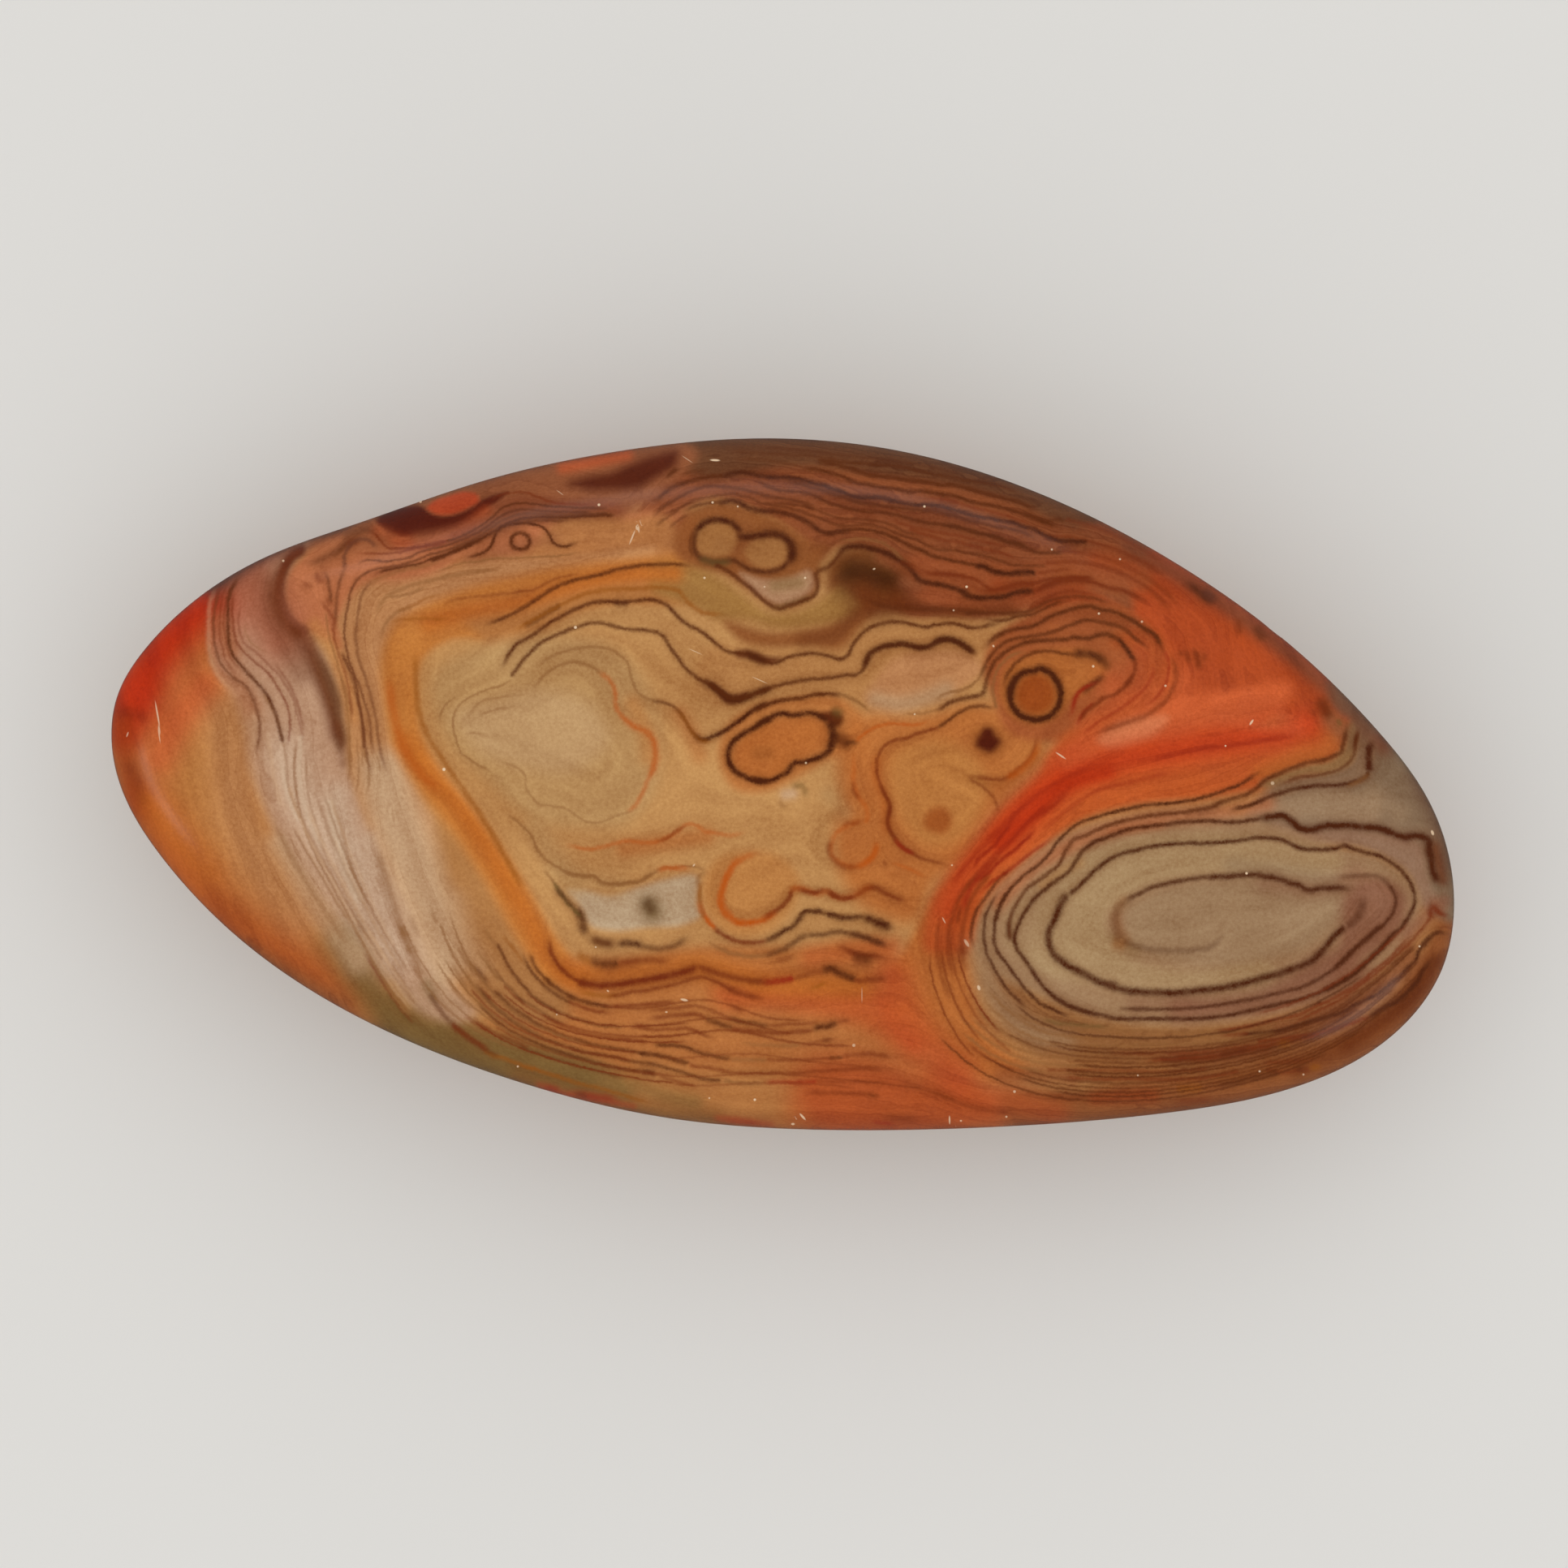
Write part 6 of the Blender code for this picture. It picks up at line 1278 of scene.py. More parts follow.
    ("bark", 6.2, 0.75, [(706, 1116), (713, 1123), (717, 1132), (718, 1142), (722, 1149), (729, 1155)]),
    ("umber", 7.0, 0.9, [(722, 1150), (729, 1156), (755, 1163), (765, 1162)]),
    ("bark", 5.0, 0.75, [(755, 1164), (776, 1162), (795, 1166)]),
    ("bark", 4.3, 0.5, [(785, 1164), (795, 1167), (829, 1166), (847, 1155), (855, 1151)]),
    ("ochre", 5.5, 0.57, [(708, 1172), (724, 1183), (733, 1186)]),
    ("umber", 6.2, 0.68, [(724, 1183), (743, 1188), (762, 1187)]),
    ("rust", 9.0, 0.38, [(730, 1190), (745, 1192), (760, 1190), (800, 1184)]),
    ("rust", 4.6, 0.52, [(762, 1187), (798, 1183), (822, 1184), (834, 1181)]),
    ("tan", 3.2, 0.66, [(690, 1070), (697, 1075), (717, 1080), (735, 1082), (740, 1088), (748, 1090),
        (768, 1089), (788, 1086), (801, 1077), (808, 1073)]),
    ("orange", 3.9, 0.57, [(806, 1073), (813, 1071), (855, 1070)]),
    # flank and the bundle beside it
    ("rust", 2.1, 0.42, [(411, 760), (412, 785), (418, 808), (426, 830), (434, 885)]),
    ("tan", 3.0, 0.47, [(462, 764), (468, 746), (481, 732), (505, 722), (540, 713), (582, 705), (622, 701)]),
    ("tan", 2.5, 0.43, [(470, 792), (474, 771), (486, 756), (512, 746)]),
    ("orange", 6.4, 0.44, [(478, 830), (490, 900), (502, 930), (520, 955), (545, 978)]),
    ("ochre", 4.1, 0.57, [(511, 800), (520, 890), (548, 940), (586, 994), (648, 1100)]),
    ("tan", 5.6, 0.47, [(462, 1040), (494, 1140), (508, 1172), (520, 1202)]),
    ("rust", 5.0, 0.47, [(385, 705), (392, 712), (398, 722)]),
    ("rust", 3.9, 0.38, [(400, 735), (405, 742), (408, 750)]),
    ("rust", 4.6, 0.43, [(425, 674), (436, 668), (446, 668)]),
    ("rust", 3.9, 0.38, [(370, 718), (380, 722), (388, 720)]),
    ("pale", 2.8, 0.3, [(444, 1142), (460, 1170), (498, 1226), (520, 1250)]),
    ("pale", 2.3, 0.25, [(452, 1142), (468, 1170), (504, 1222), (524, 1244)]),
    ("pale", 5.0, 0.25, [(470, 1030), (476, 1062), (486, 1096), (512, 1164), (528, 1196)]),
    ("tan", 3.9, 0.38, [(336, 1010), (356, 1050), (430, 1168)]),
    # right end of the shoulder
    ("rust", 3.4, 0.47, [(1284, 661), (1320, 662), (1360, 672), (1400, 688), (1440, 712)]),
    ("rust", 3.2, 0.43, [(1308, 679), (1345, 684), (1425, 720), (1458, 750)]),
    ("rust", 3.2, 0.43, [(1288, 694), (1330, 692), (1410, 722), (1448, 756)]),
    ("rust", 3.2, 0.38, [(1312, 640), (1350, 650), (1395, 670), (1440, 696)]),
    ("rust", 3.2, 0.47, [(1190, 716), (1206, 727), (1226, 729), (1252, 722), (1280, 718)]),
    ("rust", 3.9, 0.38, [(1110, 690), (1140, 706), (1170, 708), (1196, 712)]),
    ("umber", 3.2, 0.47, [(1060, 735), (1090, 747), (1130, 750), (1180, 752), (1225, 756)]),
    # outer bands of the lobes
    ("rust", 3.4, 0.47, [(1440, 800), (1449, 830), (1440, 858), (1415, 880), (1380, 893), (1345, 905)]),
    ("rust", 3.2, 0.38, [(1400, 770), (1422, 784), (1436, 806)]),
    # round the red zone
    ("red", 3.9, 0.57, [(1300, 985), (1270, 1010), (1245, 1035), (1196, 1092), (1184, 1130)]),
    ("red", 3.9, 0.47, [(1360, 940), (1320, 955), (1280, 978), (1246, 1008), (1216, 1038), (1190, 1066),
        (1170, 1096)]),
    ("red", 3.4, 0.47, [(1600, 905), (1540, 915), (1470, 925), (1410, 938)]),
    ("red", 3.2, 0.38, [(1450, 950), (1400, 962), (1350, 975), (1315, 998), (1280, 1028)]),
    ("rust", 3.7, 0.52, [(1222, 1075), (1200, 1102), (1188, 1135), (1184, 1168), (1192, 1200)]),
    ("rust", 3.2, 0.47, [(1210, 1070), (1186, 1100), (1168, 1172), (1176, 1210)]),
    ("rust", 3.0, 0.38, [(1160, 1120), (1154, 1155), (1158, 1195), (1172, 1235)]),
    # right end
    ("rust", 5.6, 0.57, [(1620, 858), (1630, 873), (1638, 888)]),
    ("tan", 3.4, 0.47, [(1690, 950), (1676, 962), (1656, 970)]),
    # thin lines under the eye and up its right end
    ("sepia", 1.7, 0.55, [(1246, 1232), (1272, 1254), (1310, 1270), (1362, 1277), (1566, 1258), (1630, 1232),
        (1684, 1198)]),
    ("rust", 1.9, 0.47, [(1540, 1252), (1604, 1232), (1708, 1164), (1740, 1132)]),
    ("rust", 1.9, 0.52, [(1590, 1262), (1650, 1232), (1704, 1192), (1744, 1154), (1766, 1126)]),
    # more of the shoulder's thin lines
    ("tan", 2.0, 0.46, [(402, 754), (404, 775), (424, 848), (431, 940), (429, 968)]),
    ("cocoa", 2.0, 0.46, [(421, 800), (428, 818), (445, 882), (448, 905), (458, 960)]),
    ("rust", 2.4, 0.47, [(392, 735), (398, 744), (411, 762), (417, 778)]),
    ("umber", 2.5, 0.52, [(400, 700), (406, 726), (408, 742)]),
    ("plum", 3.0, 0.52, [(425, 700), (424, 688), (428, 676), (447, 664), (456, 667), (463, 675), (472, 681)]),
    ("umber", 2.6, 0.47, [(405, 690), (414, 684), (440, 660), (450, 658)]),
    ("rust", 2.3, 0.38, [(334, 812), (358, 846), (377, 905)]),
]


def closed_spline(points, count):
    """count points on the smooth closed curve through the given points, evenly spaced by chord length."""
    following = np.roll(points, -1, axis=0)
    chord = np.linalg.norm(following - points, axis=1)
    size = len(points)
    matrix = np.zeros((size, size))
    for i in range(size):
        matrix[i, i - 1] += 1 / chord[i - 1]
        matrix[i, i] += 2 / chord[i - 1] + 2 / chord[i]
        matrix[i, (i + 1) % size] += 1 / chord[i]
    pull = (following - points) / chord[:, None] ** 2
    tangents = np.linalg.solve(matrix, 3 * (pull + np.roll(pull, 1, axis=0)))
    knots = np.concatenate([[0], np.cumsum(chord)])
    wanted = np.arange(count) / count * knots[-1]
    i = np.searchsorted(knots, wanted, side="right") - 1
    j = (i + 1) % size
    t = ((wanted - knots[i]) / chord[i])[:, None]
    leave, arrive = tangents[i] * chord[i][:, None], tangents[j] * chord[i][:, None]
    hold_start, hold_end = 2 * t**3 - 3 * t**2 + 1, 3 * t**2 - 2 * t**3
    held = points[i] * hold_start + points[j] * hold_end
    return held + leave * (t**3 - 2 * t**2 + t) + arrive * (t**3 - t**2)


class Plan:
    """The photograph's pixels and the stone seen from above, each turned into the other."""

    def __init__(self):
        self.tilt = math.atan2(EYE_TIP[1] - RED_TIP[1], EYE_TIP[0] - RED_TIP[0])
        cosine, sine = math.cos(self.tilt), math.sin(self.tilt)
        # This matrix is its own inverse.
        self.turn = np.array([[cosine, sine], [sine, -cosine]])
        curve = closed_spline(np.array(OUTLINE_PIXELS, float) @ self.turn.T, OUTLINE_SAMPLES)
        low, high = curve.min(axis=0), curve.max(axis=0)
        self.middle = (low + high) / 2
        self.scale = LENGTH / (high[0] - low[0])
        self.rim = (curve - self.middle) * self.scale
        angles = np.arctan2(self.rim[:, 1], self.rim[:, 0])
        order = np.argsort(angles)
        self.angles = angles[order]
        self.radii = np.linalg.norm(self.rim, axis=1)[order]
        self.centre = self.metres(np.array([[FRAME_PIXELS / 2, FRAME_PIXELS / 2]]))[0]
        self.view_distance = LENS_MM / SENSOR_MM * FRAME_PIXELS * self.scale

    def metres(self, pixels):
        return (pixels @ self.turn.T - self.middle) * self.scale

    def radius(self, angle):
        """How far the rim is from the middle, in this direction."""
        return np.interp(angle, self.angles, self.radii, period=2 * math.pi)

    def pixels(self, points):
        """Where the photograph shows these points of the stone. What is nearer looks a little larger."""
        nearer = self.view_distance / (self.view_distance - (points[:, 2:3] - GIRDLE_HEIGHT))
        level = self.centre + (points[:, :2] - self.centre) * nearer
        depth = np.clip(GIRDLE_HEIGHT - points[:, 2:3], 0, None)
        return ((level + np.array(BAND_LEAN) * depth) / self.scale + self.middle) @ self.turn


def section(reach):
    """Height of the superellipse at this share of the way out: 1 in the middle and 0 at the girdle."""
    return np.clip(1 - reach**SECTION_POWER, 0, None) ** (1 / SECTION_POWER)


def girdle_height(angle):
    return GIRDLE_HEIGHT + GIRDLE_WAVE * np.sin(2 * angle + GIRDLE_PHASE)


def crown_heights(x, reach, angle):
    rise = section(reach)
    return girdle_height(angle) * (1 - rise) + HEIGHT * rise + CROWN_LEAN * rise * reach * x / (LENGTH / 2)


def under_heights(reach, angle):
    rise = np.minimum(section(reach) / section(FLAT_SHARE), 1)
    return girdle_height(angle) * (1 - rise)


def unrolled_reach(stretch):
    """Tables of the share of the way out, and of the same share with the steep side laid out flatter."""
    slant = np.linspace(0, math.pi / 2, SECTION_STEPS)
    reach = np.sin(slant) ** (2 / SECTION_POWER)
    rise = np.cos(slant) ** (2 / SECTION_POWER) * stretch
    steps = np.hypot(np.diff(reach), np.diff(rise))
    return reach, np.concatenate([[0], np.cumsum(steps)])


def lattice(side, spacing):
    """Points on a triangular lattice over a square about the origin."""
    rows = np.arange(-side / 2, side / 2, spacing * math.sqrt(3) / 2)
    columns = np.arange(-side / 2, side / 2, spacing)
    x, y = np.meshgrid(columns, rows)
    x[1::2] += spacing / 2
    return np.stack([x.ravel(), y.ravel()], axis=1)


def half_mesh(plan, spacing, stretch, rim_gap, extra=()):
    """Plan positions, shares of the way out and triangles of one side of the stone, and the same points laid
    out flat. The girdle's points come first."""
    reaches, unrolled = unrolled_reach(stretch)
    whole = unrolled[-1]
    around = np.linspace(-math.pi, math.pi, RIM_STEPS)
    rim = np.stack([np.cos(around), np.sin(around)], axis=1) * plan.radius(around)[:, None]
    walked = np.concatenate([[0], np.cumsum(np.linalg.norm(np.diff(rim, axis=0), axis=1))])
    angle = np.interp(np.arange(GIRDLE_POINTS) / GIRDLE_POINTS * walked[-1], walked, around)
    girdle = np.stack([np.cos(angle), np.sin(angle)], axis=1) * plan.radius(angle)[:, None] * whole
    flat = [girdle]
    if len(extra):
        flat.append(extra * np.interp(FLAT_SHARE, reaches, unrolled) / FLAT_SHARE)
    step = spacing * plan.scale
    inner = lattice(LATTICE_SIDE * LENGTH, step)
    share = np.linalg.norm(inner, axis=1) / plan.radius(np.arctan2(inner[:, 1], inner[:, 0])) / whole
    inner = inner[share < 1 - rim_gap * step / (LENGTH / 3)]
    if len(extra):
        near = np.min(np.linalg.norm(inner[:, None] - flat[1][None], axis=2), axis=1)
        inner = inner[near > FLAT_EDGE_GAP * step]
    flat.append(inner)
    flat = np.concatenate(flat)
    corners = [tuple(place) for place in flat]
    faces = delaunay_2d_cdt(corners, [], [list(range(GIRDLE_POINTS))], 1, TINY)[2]
    reach = np.linalg.norm(flat, axis=1) / plan.radius(np.arctan2(flat[:, 1], flat[:, 0]))
    actual = np.interp(reach, unrolled, reaches)
    shrink = np.where(reach > TINY, actual / np.maximum(reach, TINY), 1 / unrolled[1] * reaches[1])
    return flat * shrink[:, None], np.clip(actual, 0, 1), np.array(faces), flat


def stone_points(plan):
    """Vertices and triangles of the whole stone, each triangle corner's place on the flat maps, and the numbers
    of the vertices round the edge of the flat."""
    edge = np.linspace(-math.pi, math.pi, FLAT_EDGE_POINTS, endpoint=False)
    flat_edge = np.stack([np.cos(edge), np.sin(edge)], axis=1) * plan.radius(edge)[:, None] * FLAT_SHARE
    face_half = half_mesh(plan, FACE_SPACING, WALL_STRETCH, FACE_RIM_GAP)
    under_half = half_mesh(plan, UNDER_SPACING, UNDER_STRETCH, UNDER_RIM_GAP, flat_edge)
    face_plan, face_reach, face_triangles, face_flat = face_half
    under_plan, under_reach, under_triangles, under_flat = under_half
    face_angle = np.arctan2(face_plan[:, 1], face_plan[:, 0])
    under_angle = np.arctan2(under_plan[:, 1], under_plan[:, 0])
    face = np.column_stack([face_plan, crown_heights(face_plan[:, 0], face_reach, face_angle)])
    under = np.column_stack([under_plan, under_heights(under_reach, under_angle)])[GIRDLE_POINTS:]
    face_map = map_places(face_flat, 1, FACE_MAP_MIDDLE)[face_triangles]
    under_map = map_places(under_flat, -1, UNDER_MAP_MIDDLE)[under_triangles[:, ::-1]]
    shared = under_triangles < GIRDLE_POINTS
    under_triangles = np.where(shared, under_triangles, under_triangles - GIRDLE_POINTS + len(face))[:, ::-1]
    points = np.concatenate([face, under])
    flat_rim = range(len(face), len(face) + FLAT_EDGE_POINTS)
    triangles = np.concatenate([face_triangles, under_triangles])
    return press_chip(plan, hand_worn(points)), triangles, np.concatenate([face_map, under_map]), flat_rim


def map_places(flat, sense, middle):
    """One side of the stone, laid out flat, in its half of the square map."""
    size = MAP_HALF / np.ptp(flat[:, 1])
    centre = (flat.max(axis=0) + flat.min(axis=0)) / 2
    return (flat - centre) * size * (sense, 1) + (0.5, middle)


def hand_worn(points):
    """The very slight waviness that hand polishing leaves. The flat stays flat."""
    x, y = points[:, 0] * MILLIMETRES, points[:, 1] * MILLIMETRES
    wave = sum(share * np.sin(along * x + across * y + phase) for share, along, across, phase in WEAR_WAVES)
    upper = np.clip((points[:, 2] - WEAR_FROM) / WEAR_RISE, 0, 1)
    points[:, 2] += WEAR_DEPTH * wave * upper
    return points


def press_chip(plan, points):
    """A small worn chip in the rim."""
    spot = plan.metres(np.array([CHIP_PIXELS], float))[0]
    away = np.linalg.norm(points[:, :2] - spot, axis=1) / (CHIP_RADIUS * plan.scale)
    lower = np.abs(points[:, 2] - GIRDLE_HEIGHT) / CHIP_HEIGHT
    push = np.clip(1 - away**2 - lower**2, 0, None) ** 2 * CHIP_DEPTH
    points[:, :2] -= spot / np.linalg.norm(spot) * push[:, None]
    return points


def smooth_path(points):
    """A finer line through the points of a stroke."""
    points = np.array(points, float)
    if len(points) < 3:
        return points
    length = np.linalg.norm(np.diff(points, axis=0), axis=1)
    slope = np.diff(points, axis=0) / length[:, None]
    closed = bool((points[0] == points[-1]).all())
    before, after = (np.roll(slope, 1, axis=0), slope) if closed else (slope[:-1], slope[1:])
    gap_before, gap_after = (np.roll(length, 1), length) if closed else (length[:-1], length[1:])
    middle = (before * gap_after[:, None] + after * gap_before[:, None]) / (gap_before + gap_after)[:, None]
    tangent = np.concatenate([middle, middle[:1]] if closed else [slope[:1], middle, slope[-1:]])
    finer = [points[:1]]
    for share in np.arange(1, PATH_STEPS + 1) / PATH_STEPS:
        start = points[:-1] * (2 * share**3 - 3 * share**2 + 1) + points[1:] * (3 * share**2 - 2 * share**3)
        bend = tangent[:-1] * (share**3 - 2 * share**2 + share) + tangent[1:] * (share**3 - share**2)
        finer.append(start + bend * length[:, None])
    return np.concatenate([finer[0], np.stack(finer[1:], axis=1).reshape(-1, 2)])


def beside_path(places, path):
    """For each place its signed distance from the path, and how far along the path the nearest point lies. The
    last value is the path's length."""
    best = np.full(len(places), np.inf)
    signed = np.zeros(len(places))
    along = np.zeros(len(places))
    walked = 0.0
    for start, end in zip(path[:-1], path[1:]):
        step = end - start
        length = float(np.hypot(*step))
        if length < TINY:
            continue
        offset = places - start
        share = np.clip((offset @ step) / length**2, 0, 1)
        away = np.hypot(offset[:, 0] - share * step[0], offset[:, 1] - share * step[1])
        side = np.where(step[0] * offset[:, 1] - step[1] * offset[:, 0] < 0, -1.0, 1.0)
        closer = away < best - TINY
        best = np.where(closer, away, best)
        signed = np.where(closer, away * side, signed)
        along = np.where(closer, walked + share * length, along)
        walked += length
    return signed, along, walked


def evenly(path, count):
    """count points along a path, the same distance apart."""
    walked = np.concatenate([[0], np.cumsum(np.linalg.norm(np.diff(path, axis=0), axis=1))])
    wanted = np.linspace(0, walked[-1], count)
    return np.stack([np.interp(wanted, walked, path[:, 0]), np.interp(wanted, walked, path[:, 1])], axis=1)


def bundle_strokes():
    """The lines of each bundle, nearly evenly spaced, each with its own width, strength and ends."""
    rng = np.random.default_rng(BUNDLE_SEED)
    strokes = []
    for tint, width, strength, count, first, last in BUNDLES:
        first, last = evenly(smooth_path(first), BUNDLE_STEPS), evenly(smooth_path(last), BUNDLE_STEPS)
        for i in range(count):
            share = (i + 0.5 + rng.uniform(-BUNDLE_WANDER, BUNDLE_WANDER)) / count
            path = first * (1 - share) + last * share
            start, end = rng.integers(0, BUNDLE_SHORTER), BUNDLE_STEPS - rng.integers(0, BUNDLE_SHORTER)
            points = [tuple(point) for point in path[start:end]]
            this_width = width * rng.uniform(*BUNDLE_WIDTHS)
            strokes.append((tint, this_width, strength * rng.uniform(*BUNDLE_STRENGTHS), points))
    return strokes


def smoothstep(low, high, value):
    share = np.clip((value - low) / (high - low), 0, 1)
    return share * share * (3 - 2 * share)


def reach_of(width):
    """How far from a stroke of this half width its line is drawn in full, and where it is nothing."""
    return [share * width + more for share, more in (LINE_FULL, LINE_END)]


def sort_into_layers(strokes):
    """Each stroke's layer, so that no two strokes of one layer come near each other."""
    paths = [smooth_path(points) for _, _, _, points in strokes]
    ends = [reach_of(width)[1] for _, width, _, _ in strokes]
    low = np.array([path.min(axis=0) - end for path, end in zip(paths, ends)])
    high = np.array([path.max(axis=0) + end for path, end in zip(paths, ends)])
    layer = []
    for i, path in enumerate(paths):
        overlapping = ((low[:i] < high[i] + LAYER_GAP) & (high[:i] > low[i] - LAYER_GAP)).all(axis=1)
        taken = set()
        for j in np.nonzero(overlapping)[0]:
            gap = np.linalg.norm(path[:, None] - paths[j][None], axis=2).min()
            if gap < ends[i] + ends[j] + LAYER_GAP:
                taken.add(layer[j])
        layer.append(min(set(range(len(strokes))) - taken))
    return paths, layer


def longest_fade(length):
    return min(END_FADE, END_SHARE * length)


def end_fades(paths):
    """How far each stroke fades at its start and end: long where the line runs out, and over the part that it
    shares with the stroke that carries it on."""
    low = np.array([path.min(axis=0) - SAME_LINE for path in paths])
    high = np.array([path.max(axis=0) + SAME_LINE for path in paths])
    fades = []
    for i, path in enumerate(paths):
        both = []
        for points in (path, path[::-1]):
            walked = np.concatenate([[0], np.cumsum(np.linalg.norm(np.diff(points, axis=0), axis=1))])
            shared = []
            for j in np.nonzero(((points[0] > low) & (points[0] < high)).all(axis=1))[0]:
                same = np.linalg.norm(points[:, None] - paths[j][None], axis=2).min(axis=1) < SAME_LINE
                if j != i and same[0]:
                    shared.append(walked[len(same) - 1 if same.all() else np.argmin(same) - 1])
            both.append(float(np.clip(max(shared), 1, JOIN_FADE)) if shared else longest_fade(walked[-1]))
        fades.append(both)
    return fades


def end_taper(along, whole, fades):
    return smoothstep(0, fades[0], along) * smoothstep(0, fades[1], whole - along)


def band_layers(places, strokes):
    """Per layer and vertex: signed distance, strength, half width and tint of the nearest stroke. The second
    value is how far each vertex lies in the stain round the dark ones."""
    paths, layer_of = sort_into_layers(strokes)
    count = max(layer_of) + 1
    names = list(TINTS)
    layers = np.zeros((count, len(places), 4))
    layers[:, :, 0] = FAR
    layers[:, :, 2] = EMPTY_WIDTH
    stain = np.zeros(len(places))
    for stroke, path, number, fades in zip(strokes, paths, layer_of, end_fades(paths)):
        tint, width, strength, points = stroke
        full, end = reach_of(width)
        margin = max(end + NEAR_MARGIN, HALO_REACH * HALO_WIDTH * width)
        box = (places > path.min(axis=0) - margin) & (places < path.max(axis=0) + margin)
        near = np.nonzero(box.all(axis=1))[0]
        if not len(near):
            continue
        signed, along, whole = beside_path(places[near], path)
        away = np.abs(signed)
        taper = 1.0 if points[0] == points[-1] else end_taper(along, whole, fades)
        drawn = strength * taper * (1 - smoothstep(full, end, away))
        if tint in HALO_TINTS:
            halo = HALO_STRENGTH * strength * taper * np.exp(-((away / (HALO_WIDTH * width)) ** 2))
            stain[near] = 1 - (1 - stain[near]) * (1 - halo)
        closer = away < np.minimum(np.abs(layers[number, near, 0]), margin)
        rows = near[closer]
        layers[number, rows, 0] = signed[closer]
        layers[number, rows, 1] = drawn[closer]
        layers[number, rows, 2] = width
        layers[number, rows, 3] = (names.index(tint) + 0.5) / len(names)
    return layers, stain


def linear(colour):
    """A display colour, 0 to 255, as the linear values that Blender works with, less what the polish mirrors."""
    value = np.array(colour, float) / 255
    # The sRGB standard's own curve.
    value = np.where(value <= 0.04045, value / 12.92, ((value + 0.055) / 1.055) ** 2.4)
    return np.clip(value - POLISH_VEIL, DARKEST, 1)


def inside_by(places, outline):
    """Signed distance from a closed outline: positive inside."""
    path = smooth_path(outline + outline[:1])
    away, _, _ = beside_path(places, path)
    x, y = places[:, 0], places[:, 1]
    crossings = np.zeros(len(places), int)
    for (x0, y0), (x1, y1) in zip(path[:-1], path[1:]):
        spans = (y0 > y) != (y1 > y)
        if spans.any():
            cut = x0 + (y - y0) * (x1 - x0) / (y1 - y0)
            crossings += spans & (x < cut)
    return np.where(crossings % 2 == 1, 1, -1) * np.abs(away)


def with_layering(tone):
    return np.array([*linear(TONES[tone]), LAYERING.get(tone, DEFAULT_LAYERING)])


def ground_colour(places, stain):
    """The colour under the fine lines, and as its fourth value how strongly the layering shows: zones with
    soft edges, then wide soft strokes over them, then the stain round the dark lines."""
    colour = np.tile([*linear(TONES[BASE_TONE]), DEFAULT_LAYERING], (len(places), 1))
    for tone, strength, feather, outline in ZONES:
        cover = strength * smoothstep(-feather, feather, inside_by(places, outline))
        colour += (with_layering(tone) - colour) * cover[:, None]
    for tone, width, strength, points in WASHES:
        away, _, _ = beside_path(places, smooth_path(points))
        cover = strength * np.exp(-np.abs(away / width) ** WASH_FALL)
        colour += (with_layering(tone) - colour) * cover[:, None]
    for tone, width, strength, points in [stroke for stroke in STROKES if stroke[1] >= WIDE]:
        away, along, whole = beside_path(places, smooth_path(points))
        taper = end_taper(along, whole, [longest_fade(whole)] * 2)
        cover = strength * np.exp(-np.abs(away / width) ** WIDE_FALL) * taper
        colour[:, :3] += (linear(TINTS[tone]) - colour[:, :3]) * cover[:, None]
    colour[:, :3] += (linear(HALO_COLOUR) - colour[:, :3]) * stain[:, None]
    return colour


def blurred(grid, spread):
    """The grid smoothed by this many cells each way."""
    reach = int(BELL_REACH * spread)
    bell = np.exp(-0.5 * (np.arange(-reach, reach + 1) / spread) ** 2)
    bell /= bell.sum()

    def smooth(row):
        return np.convolve(np.pad(row, reach, mode="edge"), bell, mode="valid")

    return np.apply_along_axis(smooth, 1, np.apply_along_axis(smooth, 0, grid))


def sample(grid, low, cell, places):
    """Values between the cells of a grid, at these places."""
    spot = (places - low) / cell
    x = np.clip(spot[:, 0], 0, grid.shape[1] - LAST_CELL)
    y = np.clip(spot[:, 1], 0, grid.shape[0] - LAST_CELL)
    i, j = x.astype(int), y.astype(int)
    u, v = smoothstep(0, 1, x - i), smoothstep(0, 1, y - j)
    upper = grid[j, i] * (1 - u) + grid[j, i + 1] * u
    return upper * (1 - v) + (grid[j + 1, i] * (1 - u) + grid[j + 1, i + 1] * u) * v


def flow_grid():
    """Which way the bands run, over a coarse grid, spread outwards from the strokes. The angle is doubled, so
    that the two ways along a band count as one."""
    cosines, sines = np.zeros(FLOW_SIZE[::-1]), np.zeros(FLOW_SIZE[::-1])
    for _, _, strength, points in STROKES:
        path = smooth_path(points)
        step = np.diff(path, axis=0)
        spot = (((path[:-1] + path[1:]) / 2 - FLOW_LOW) / FLOW_CELL).astype(int)
        angle = 2 * np.arctan2(step[:, 1], step[:, 0])
        weight = np.hypot(step[:, 0], step[:, 1]) * strength
        np.add.at(cosines, (spot[:, 1], spot[:, 0]), np.cos(angle) * weight)
        np.add.at(sines, (spot[:, 1], spot[:, 0]), np.sin(angle) * weight)
    cosines = sum(blurred(cosines, spread) * share for spread, share in FLOW_SPREADS)
    sines = sum(blurred(sines, spread) * share for spread, share in FLOW_SPREADS)
    # Never nothing, even where no stroke is near.
    size = np.hypot(cosines, sines) + 1e-12
    return cosines / size, sines / size


